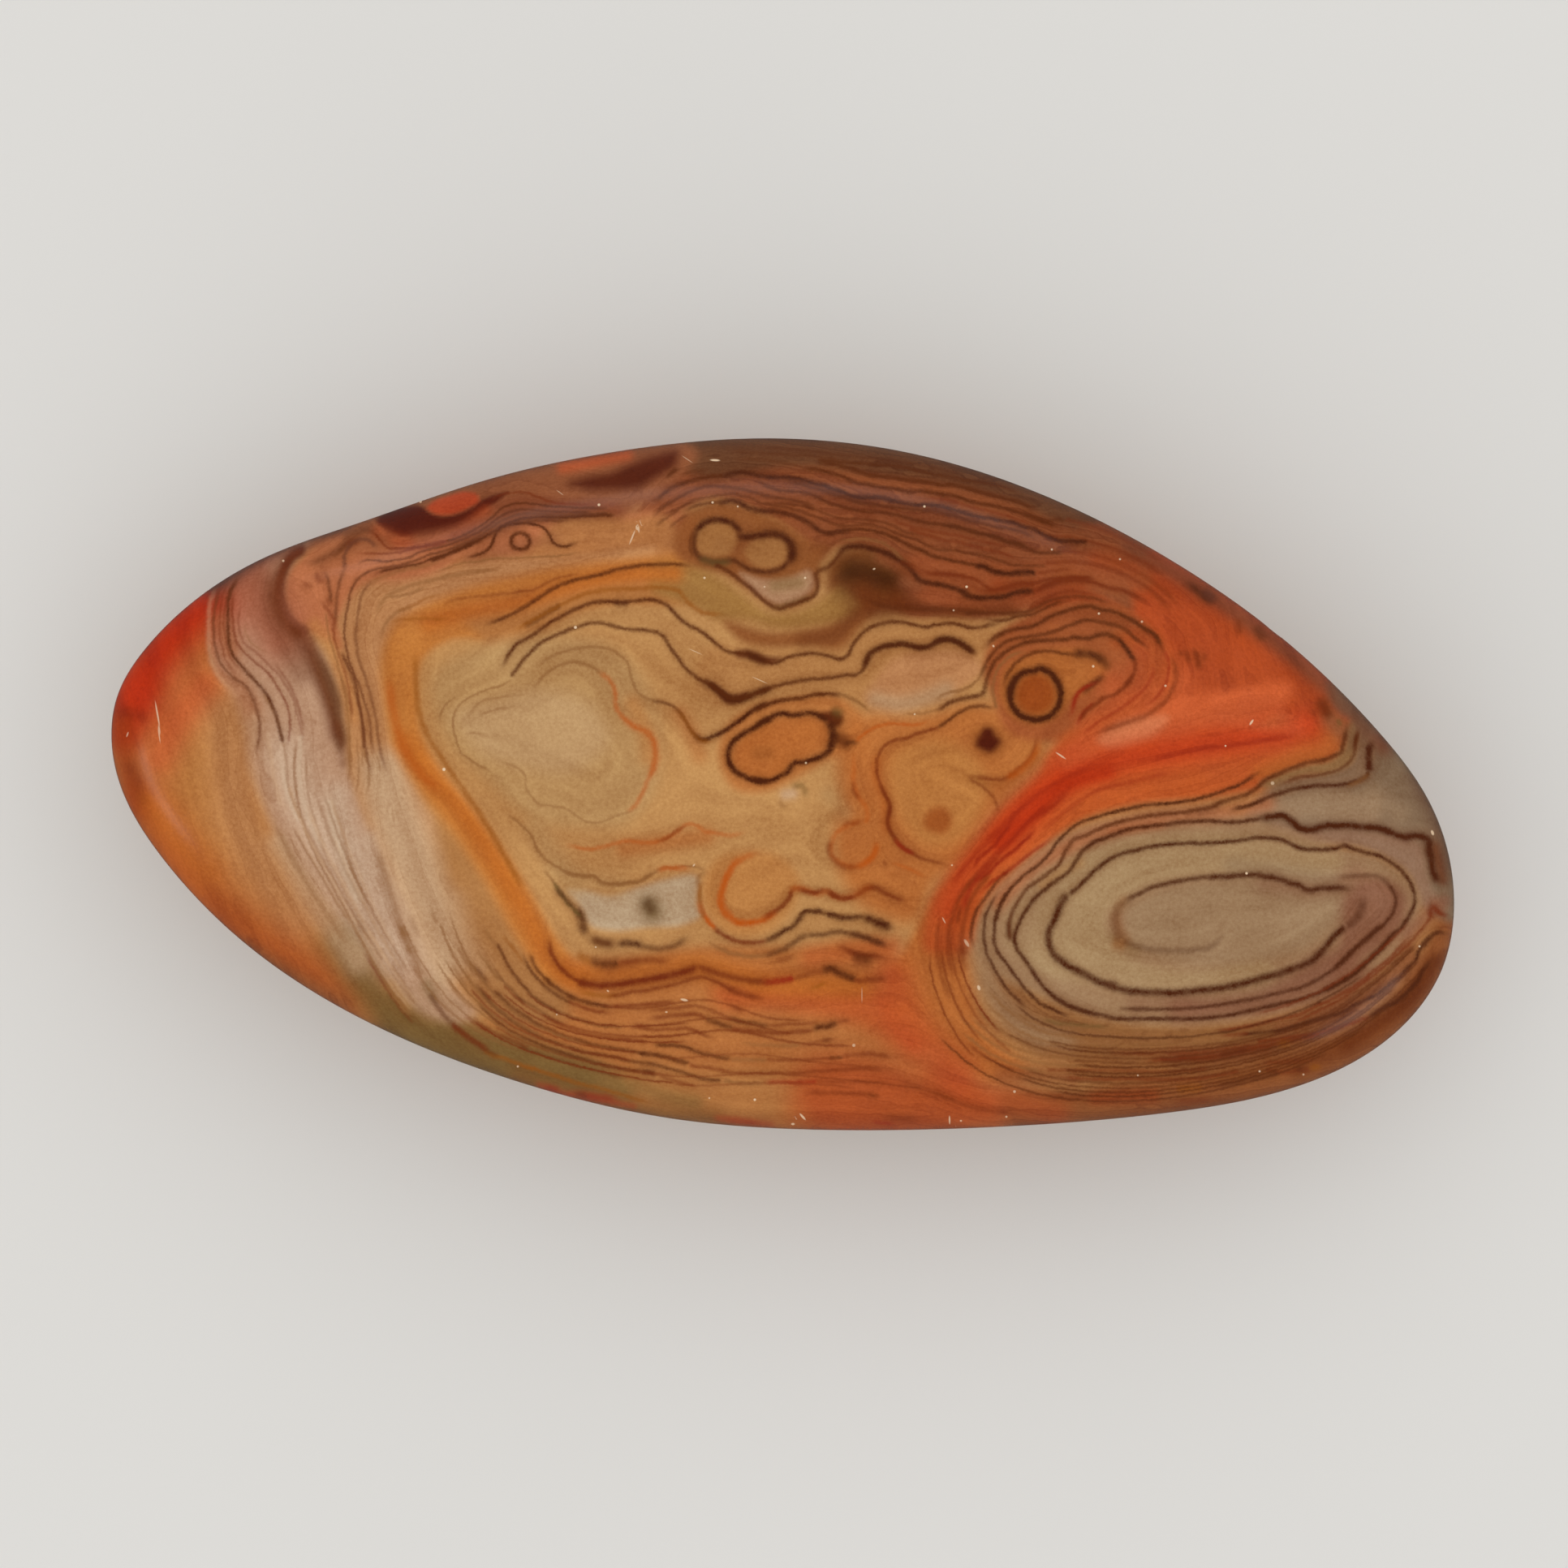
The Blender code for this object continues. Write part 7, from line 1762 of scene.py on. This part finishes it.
def flow_streaks(places):
    """Random grain drawn out along the bands: one value from broad and one from fine grain."""
    cosines, sines = flow_grid()

    def direction(spots, before):
        sine, cosine = [sample(grid, FLOW_LOW, FLOW_CELL, spots) for grid in (sines, cosines)]
        angle = np.arctan2(sine, cosine) / 2
        way = np.stack([np.cos(angle), np.sin(angle)], axis=1)
        return way * np.where((way * before).sum(axis=1) < 0, -1, 1)[:, None]

    values = np.zeros((len(places), 4))
    for channel, (cell, length, seed) in enumerate((BROAD_STREAKS, FINE_STREAKS)):
        size = (int(FLOW_SIZE[1] * FLOW_CELL / cell) + 2, int(FLOW_SIZE[0] * FLOW_CELL / cell) + 2)
        grain = np.random.default_rng(seed).standard_normal(size)
        total = sample(grain, FLOW_LOW, cell, places)
        for sense in (1.0, -1.0):
            spots = places.copy()
            way = direction(spots, np.array([FLOW_START])) * sense
            for _ in range(int(length / FLOW_STEP)):
                way = direction(spots, way)
                spots += way * FLOW_STEP
                total += sample(grain, FLOW_LOW, cell, spots)
        values[:, channel] = np.clip((total - total.mean()) / total.std(), -STREAK_LIMIT, STREAK_LIMIT)
    return values


def under_depth(plan, points):
    """How far each point lies under the girdle, in pixels."""
    girdle = girdle_height(np.arctan2(points[:, 1], points[:, 0]))
    return np.clip(girdle - points[:, 2], 0, None) / plan.scale


def under_level(plan, points, depth):
    """Which shell of the underside each point lies in: a smooth value, in pixels from the innermost one."""
    x = points[:, 0] / plan.scale - UNDER_CENTRE[0]
    y = points[:, 1] / plan.scale - UNDER_CENTRE[1]
    level = np.hypot(x / UNDER_LENGTHEN, y) - UNDER_SINK * depth
    for height, along, across, down, phase in UNDER_WAVES:
        level += height * np.sin(along * x + across * y + down * depth + phase)
    return level


def under_edges():
    """The levels at which one shell of the underside ends and the next begins."""
    rng = np.random.default_rng(UNDER_SEED)
    return UNDER_LOWEST + np.cumsum(rng.uniform(*UNDER_GAPS, UNDER_SHELLS))


def under_tones(level):
    """The colour of each point's shell, soft at its edges."""
    edges = under_edges()
    tones = [with_layering(UNDER_TONES[i % len(UNDER_TONES)]) for i in range(UNDER_SHELLS + 1)]
    colour = np.tile(tones[0], (len(level), 1))
    for edge, tone in zip(edges, tones[1:]):
        colour += (tone - colour) * smoothstep(-UNDER_FEATHER, UNDER_FEATHER, level - edge)[:, None]
    return colour


def under_streaks(level):
    """Broad shades from shell to shell, and an even run for the fine layering inside them."""
    rng = np.random.default_rng(UNDER_SEED)
    knots = np.arange(UNDER_LOWEST, UNDER_LOWEST + UNDER_SHADED, UNDER_SHADE)
    streaks = np.zeros((len(level), 4))
    streaks[:, 0] = np.interp(level, knots, rng.uniform(-STREAK_LIMIT, STREAK_LIMIT, len(knots)))
    streaks[:, 1] = STREAK_LIMIT * np.sin(level / UNDER_RUN)
    return streaks


def under_lines(layers, level, depth):
    """The dark lines on the edges of the underside's shells, by turns in the first and the second layer."""
    names = list(TINTS)
    shown = smoothstep(UNDER_BLEND[1], UNDER_BLEND[1] + UNDER_LINE_FADE, depth)
    rows = np.nonzero(depth > UNDER_BLEND[1])[0]
    edges = under_edges()
    for first in (0, 1):
        numbers = np.arange(first, UNDER_SHELLS, 2)
        nearest = numbers[np.abs(level[rows, None] - edges[numbers]).argmin(axis=1)]
        kinds = [(names.index(tint) + 0.5, width, strength) for tint, width, strength in UNDER_LINES]
        lines = np.array(kinds)
        tint, width, strength = lines[nearest % len(lines)].T
        offset = level[rows] - edges[nearest]
        layers[first, rows, 0] = offset
        layers[first, rows, 1] = strength * shown[rows] * (1 - smoothstep(*reach_of(width), np.abs(offset)))
        layers[first, rows, 2] = width
        layers[first, rows, 3] = tint / len(names)


def blended(above, below, share):
    return above + (below - above) * share[:, None]


class Nodes:
    """Short calls that add nodes to a material and link them."""

    def __init__(self, tree):
        self.tree = tree

    def add(self, kind, inputs=(), **settings):
        node = self.tree.nodes.new(kind)
        for name, value in settings.items():
            setattr(node, name, value)
        for key, value in dict(inputs).items():
            self.give(node.inputs[key], value)
        return node

    def give(self, socket, value):
        if isinstance(value, bpy.types.NodeSocket):
            self.tree.links.new(value, socket)
        else:
            socket.default_value = value

    def math(self, operation, *values):
        return self.add("ShaderNodeMath", enumerate(values), operation=operation).outputs[0]

    def mix(self, factor, first, second, blend="MIX"):
        node = self.add("ShaderNodeMix", data_type="RGBA", blend_type=blend)
        self.give(node.inputs[0], factor)
        self.give(node.inputs[6], first)
        self.give(node.inputs[7], second)
        return node.outputs[2]

    def between(self, value, low, high, new_low=0.0, new_high=1.0):
        inputs = {0: value, 1: low, 2: high, 3: new_low, 4: new_high}
        return self.add("ShaderNodeMapRange", inputs, interpolation_type="SMOOTHSTEP").outputs[0]

    def noise(self, place, scale, detail=2.0, roughness=0.5):
        inputs = {"Vector": place, "Scale": scale, "Detail": detail, "Roughness": roughness}
        return self.add("ShaderNodeTexNoise", inputs)

    def attribute(self, name):
        return self.add("ShaderNodeAttribute", attribute_name=name)

    def split(self, colour):
        return self.add("ShaderNodeSeparateColor", {0: colour}).outputs


def tint_ramp(nodes, value):
    """The tint whose number a stroke carries."""
    node = nodes.add("ShaderNodeValToRGB", {0: value})
    ramp = node.color_ramp
    ramp.interpolation = "CONSTANT"
    tints = list(TINTS.values())
    ramp.elements.remove(ramp.elements[1])
    for i, tint in enumerate(tints):
        element = ramp.elements.new(i / len(tints)) if i else ramp.elements[0]
        element.color = (*linear(tint), 1)
    return node.outputs["Color"]


def wobbling_lines(nodes, millimetres):
    """Slight waviness and feathering of every line's edges, in pixels, and how dark the lines are here."""
    wave = nodes.split(nodes.noise(millimetres, *WAVE_NOISE).outputs["Color"])
    feather = nodes.split(nodes.noise(millimetres, *FEATHER_NOISE).outputs["Color"])
    wiggle = nodes.math("MULTIPLY_ADD", wave[0], 2 * WAVE_PIXELS, -WAVE_PIXELS)
    feathering = nodes.math("MULTIPLY_ADD", feather[0], 2 * FEATHER_PIXELS, -FEATHER_PIXELS)
    broad = nodes.math("MULTIPLY_ADD", wave[1], *WAVE_DARKNESS)
    fine = nodes.math("MULTIPLY_ADD", feather[1], *FEATHER_DARKNESS)
    return nodes.math("ADD", wiggle, feathering), nodes.math("MULTIPLY", broad, fine)


def shaded_ground(nodes, millimetres, grain):
    """The ground's colour, with faint streaks and layers that flow with the bands, mottling and grain."""
    ground = nodes.attribute("ground").outputs
    streak = nodes.split(nodes.attribute("streak").outputs["Color"])
    fine = nodes.add("ShaderNodeTexNoise", {"W": streak[1], **LAYER_NOISE}, noise_dimensions="1D")
    mottle = nodes.noise(millimetres, *MOTTLE_NOISE).outputs["Fac"]
    layer = nodes.math("MULTIPLY", nodes.math("SUBTRACT", fine.outputs["Fac"], 0.5), ground["Alpha"])
    shade = nodes.math("MULTIPLY", layer, LAYER_CONTRAST)
    shade = nodes.math("MULTIPLY_ADD", streak[0], STREAK_CONTRAST, shade)
    shade = nodes.math("MULTIPLY_ADD", streak[1], FINE_STREAK_CONTRAST, shade)
    for pattern, contrast in ((mottle, MOTTLE_CONTRAST), (grain, GRAIN_CONTRAST)):
        shade = nodes.math("ADD", shade, nodes.math("MULTIPLY_ADD", pattern, contrast, -contrast / 2))
    shades = {i: nodes.math("MULTIPLY_ADD", shade, STAIN[i], 1.0) for i in range(3)}
    return nodes.mix(1.0, ground["Color"], nodes.add("ShaderNodeCombineColor", shades).outputs[0], "MULTIPLY")


def draw_bands(nodes, colour, layer_count, millimetres):
    """The fine lines over the ground, one layer of strokes after another."""
    wiggle, darkness = wobbling_lines(nodes, millimetres)
    for number in range(layer_count):
        band = nodes.attribute(f"band_{number}").outputs
        distance, strength, half_width = nodes.split(band["Color"])
        offset = nodes.math("ABSOLUTE", nodes.math("ADD", distance, wiggle))
        share = nodes.math("POWER", nodes.math("DIVIDE", offset, half_width), LINE_FALL)
        profile = nodes.math("EXPONENT", nodes.math("MULTIPLY", share, -1.0))
        cover = nodes.math("MULTIPLY", nodes.math("MULTIPLY", profile, strength), darkness)
        colour = nodes.mix(nodes.math("MINIMUM", cover, 1.0), colour, tint_ramp(nodes, band["Alpha"]))
    return colour


def speck_and_glint_cover(nodes):
    """How far the bright specks, scratches and painted glints cover each place."""
    along, across, white = nodes.split(nodes.attribute("speck_and_glint").outputs["Color"])
    squares = nodes.math("ADD", nodes.math("POWER", along, 2.0), nodes.math("POWER", across, 2.0))
    return nodes.math("MULTIPLY", nodes.between(nodes.math("SQRT", squares), *SPECK_AND_GLINT_EDGE, 1.0, 0.0), white)


def roughness(nodes, millimetres, grain, specks_and_glints):
    """A good polish with faint smears, a little duller in its specks, scratches and painted glints."""
    smear = nodes.noise(millimetres, *SMEAR_NOISE).outputs["Fac"]
    rough = nodes.math("MULTIPLY_ADD", smear, SMEAR_ROUGHNESS, ROUGHNESS - SMEAR_ROUGHNESS / 2)
    graining = nodes.math("MULTIPLY_ADD", grain, GRAIN_ROUGHNESS, -GRAIN_ROUGHNESS / 2)
    return nodes.math("MULTIPLY_ADD", specks_and_glints, SPECK_AND_GLINT_ROUGHNESS, nodes.math("ADD", rough, graining))


def fine_relief(nodes, millimetres, grain, specks_and_glints):
    """Polishing pits, grain and the hollows of the specks, scratches and painted glints."""
    pits = nodes.add("ShaderNodeTexVoronoi", {"Vector": millimetres, "Scale": PITS_PER_MM, "Randomness": 1.0})
    pit = nodes.between(pits.outputs["Distance"], *PIT_EDGE)
    height = nodes.math("MULTIPLY_ADD", grain, GRAIN_HEIGHT, pit)
    height = nodes.math("MULTIPLY_ADD", specks_and_glints, SPECK_AND_GLINT_HEIGHT, height)
    relief = {"Height": height, "Strength": BUMP_STRENGTH, "Distance": BUMP_DEPTH}
    return nodes.add("ShaderNodeBump", relief).outputs[0]


def agate_material(layer_count):
    material = bpy.data.materials.new("banded_agate_polished")
    material.use_nodes = True
    nodes = Nodes(material.node_tree)
    shader = material.node_tree.nodes["Principled BSDF"]
    place = nodes.add("ShaderNodeTexCoord").outputs["Object"]
    scaled = nodes.add("ShaderNodeVectorMath", {0: place, 3: MILLIMETRES}, operation="SCALE")
    millimetres = scaled.outputs[0]
    grain = nodes.noise(millimetres, *GRAIN_NOISE).outputs["Fac"]
    specks_and_glints = speck_and_glint_cover(nodes)
    colour = draw_bands(nodes, shaded_ground(nodes, millimetres, grain), layer_count, millimetres)
    # Bright specks, scratches and painted glints, white in the base colour.
    nodes.give(shader.inputs["Base Color"], nodes.mix(specks_and_glints, colour, (*linear(SPECK_AND_GLINT_WHITE), 1)))
    nodes.give(shader.inputs["Roughness"], roughness(nodes, millimetres, grain, specks_and_glints))
    nodes.give(shader.inputs["Normal"], fine_relief(nodes, millimetres, grain, specks_and_glints))
    shader.inputs["IOR"].default_value = AGATE_IOR
    shader.inputs["Specular IOR Level"].default_value = SPECULAR_LEVEL
    shader.inputs["Subsurface Weight"].default_value = 0.0
    return material


def speck_and_glint_marks(places):
    """Offset from the nearest speck, scratch or painted glint in its own half length and half width, and how
    white it is.
    """
    marks = np.zeros((len(places), 4))
    marks[:, :2] = SPECK_AND_GLINT_FAR
    for x, y, half_length, half_width, turn, white in SPECKS_AND_GLINTS:
        offset = places - (x, y)
        near = np.nonzero(np.abs(offset).max(axis=1) < half_length + SPECK_AND_GLINT_ROOM)[0]
        if not len(near):
            continue
        cosine, sine = math.cos(math.radians(turn)), math.sin(math.radians(turn))
        along = (offset[near, 0] * cosine + offset[near, 1] * sine) / half_length
        across = (offset[near, 1] * cosine - offset[near, 0] * sine) / half_width
        closer = np.hypot(along, across) < np.hypot(marks[near, 0], marks[near, 1])
        rows = near[closer]
        past_end = np.clip(np.abs(offset[near] @ (cosine, sine)) - half_length, 0, None)
        past = np.hypot(past_end, across * half_width)
        marks[rows, 0] = along[closer]
        marks[rows, 1] = across[closer]
        marks[rows, 2] = white * (past[closer] < SPECK_AND_GLINT_CLEAR)
    return marks


def set_values(mesh, name, values):
    """Four values at each vertex, which the material reads by this name."""
    attribute = mesh.attributes.new(name, "FLOAT_COLOR", "POINT")
    attribute.data.foreach_set("color", np.ascontiguousarray(values, np.float32).ravel())


def build_stone(plan):
    points, triangles, maps, flat_rim = stone_points(plan)
    mesh = bpy.data.meshes.new("agate_stone")
    mesh.from_pydata(points.tolist(), [], triangles.tolist())
    mesh.shade_smooth()
    mesh.update()
    mesh.uv_layers.new(name="OFBake").data.foreach_set("uv", maps.astype(np.float32).ravel())
    for edge in mesh.edges:
        edge.use_edge_sharp = edge.vertices[0] in flat_rim and edge.vertices[1] in flat_rim
    layer_count = colour_stone(plan, points, mesh)
    mesh.materials.append(agate_material(layer_count))
    stone = bpy.data.objects.new("agate_stone", mesh)
    bpy.context.scene.collection.objects.link(stone)
    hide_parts("agate")
    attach(stone, "root")
    print("stone:", len(mesh.vertices), "vertices,", len(mesh.polygons), "triangles,", layer_count, "layers")


def colour_stone(plan, points, mesh):
    """Give the vertices what the material draws the pattern from. Returns how many layers of lines there are."""
    places = plan.pixels(points)
    fine = [stroke for stroke in STROKES + bundle_strokes() if stroke[1] < WIDE]
    layers, stain = band_layers(places, fine)
    depth = under_depth(plan, points)
    level = under_level(plan, points, depth)
    under = smoothstep(*UNDER_BLEND, depth)
    layers[:, :, 1] *= 1 - under
    under_lines(layers, level, depth)
    ground = blended(ground_colour(places, stain), under_tones(level), under)
    streaks = blended(flow_streaks(places), under_streaks(level), under)
    specks_and_glints = speck_and_glint_marks(places)
    specks_and_glints[:, 2] *= under == 0
    set_values(mesh, "ground", ground)
    set_values(mesh, "streak", streaks)
    set_values(mesh, "speck_and_glint", specks_and_glints)
    for number, layer in enumerate(layers):
        set_values(mesh, f"band_{number}", layer)
    return len(layers)


def build_floor():
    mesh = bpy.data.meshes.new("floor")
    half = FLOOR_SIDE / 2
    corners = [(-half, -half, 0), (half, -half, 0), (half, half, 0), (-half, half, 0)]
    mesh.from_pydata(corners, [], [(0, 1, 2, 3)])
    floor = bpy.data.objects.new("floor", mesh)
    bpy.context.scene.collection.objects.link(floor)
    material = bpy.data.materials.new("pale_floor")
    material.use_nodes = True
    nodes = Nodes(material.node_tree)
    shader = material.node_tree.nodes["Principled BSDF"]
    place = nodes.add("ShaderNodeTexCoord").outputs["Object"]
    cloud = nodes.noise(place, *FLOOR_CLOUDS).outputs["Fac"]
    pale = nodes.mix(cloud, *FLOOR_TONES)
    mirrored = nodes.add("ShaderNodeLightPath").outputs["Is Glossy Ray"]
    nodes.give(shader.inputs["Base Color"], nodes.mix(mirrored, pale, FLOOR_MIRRORED))
    nodes.give(shader.inputs["Roughness"], nodes.math("MULTIPLY_ADD", cloud, *FLOOR_ROUGHNESS))
    shader.inputs["Specular IOR Level"].default_value = FLOOR_SPECULAR
    mesh.materials.append(material)


def add_light(name, azimuth, elevation, distance, width, height, power):
    """A soft oblong lamp that faces the stone."""
    lamp = bpy.data.lights.new(name, "AREA")
    lamp.shape = "RECTANGLE"
    lamp.size, lamp.size_y = width, height
    lamp.energy = power
    light = bpy.data.objects.new(name, lamp)
    flat = distance * math.cos(math.radians(elevation))
    light.location = (
        flat * math.cos(math.radians(azimuth)),
        flat * math.sin(math.radians(azimuth)),
        distance * math.sin(math.radians(elevation)),
    )
    light.rotation_euler = (math.radians(90 - elevation), 0, math.radians(azimuth + 90))
    light.visible_camera = False
    bpy.context.scene.collection.objects.link(light)


def soft_sky():
    """An even soft light from all round, which the polish mirrors only dimly."""
    world = bpy.data.worlds.new("studio")
    world.use_nodes = True
    bpy.context.scene.world = world
    nodes = Nodes(world.node_tree)
    background = world.node_tree.nodes["Background"]
    direction = nodes.add("ShaderNodeTexCoord").outputs["Generated"]
    height = nodes.add("ShaderNodeSeparateXYZ", {0: direction}).outputs[2]
    bright = nodes.between(height, *SKY_CAP, SKY_SIDE, SKY_TOP)
    mirrored = nodes.add("ShaderNodeLightPath").outputs["Is Glossy Ray"]
    lit = nodes.math("MULTIPLY", bright, nodes.math("SUBTRACT", 1.0, mirrored))
    nodes.give(background.inputs["Color"], SKY_COLOUR)
    nodes.give(background.inputs["Strength"], nodes.math("MULTIPLY_ADD", mirrored, SKY_MIRRORED, lit))


def build_camera(plan):
    camera = bpy.data.cameras.new("camera")
    camera.lens = LENS_MM
    camera.sensor_width = SENSOR_MM
    camera.clip_start, camera.clip_end = CAMERA_CLIP
    holder = bpy.data.objects.new("camera", camera)
    holder.location = (plan.centre[0], plan.centre[1], GIRDLE_HEIGHT + plan.view_distance)
    holder.rotation_euler = (0, 0, plan.tilt)
    bpy.context.scene.collection.objects.link(holder)
    bpy.context.scene.camera = holder


def main():
    plan = Plan()
    build_stone(plan)
    build_floor()
    soft_sky()
    for lamp in LAMPS:
        add_light(*lamp)
    build_camera(plan)
    bpy.context.scene.view_settings.view_transform = "Standard"
    bpy.context.view_layer.update()


main()
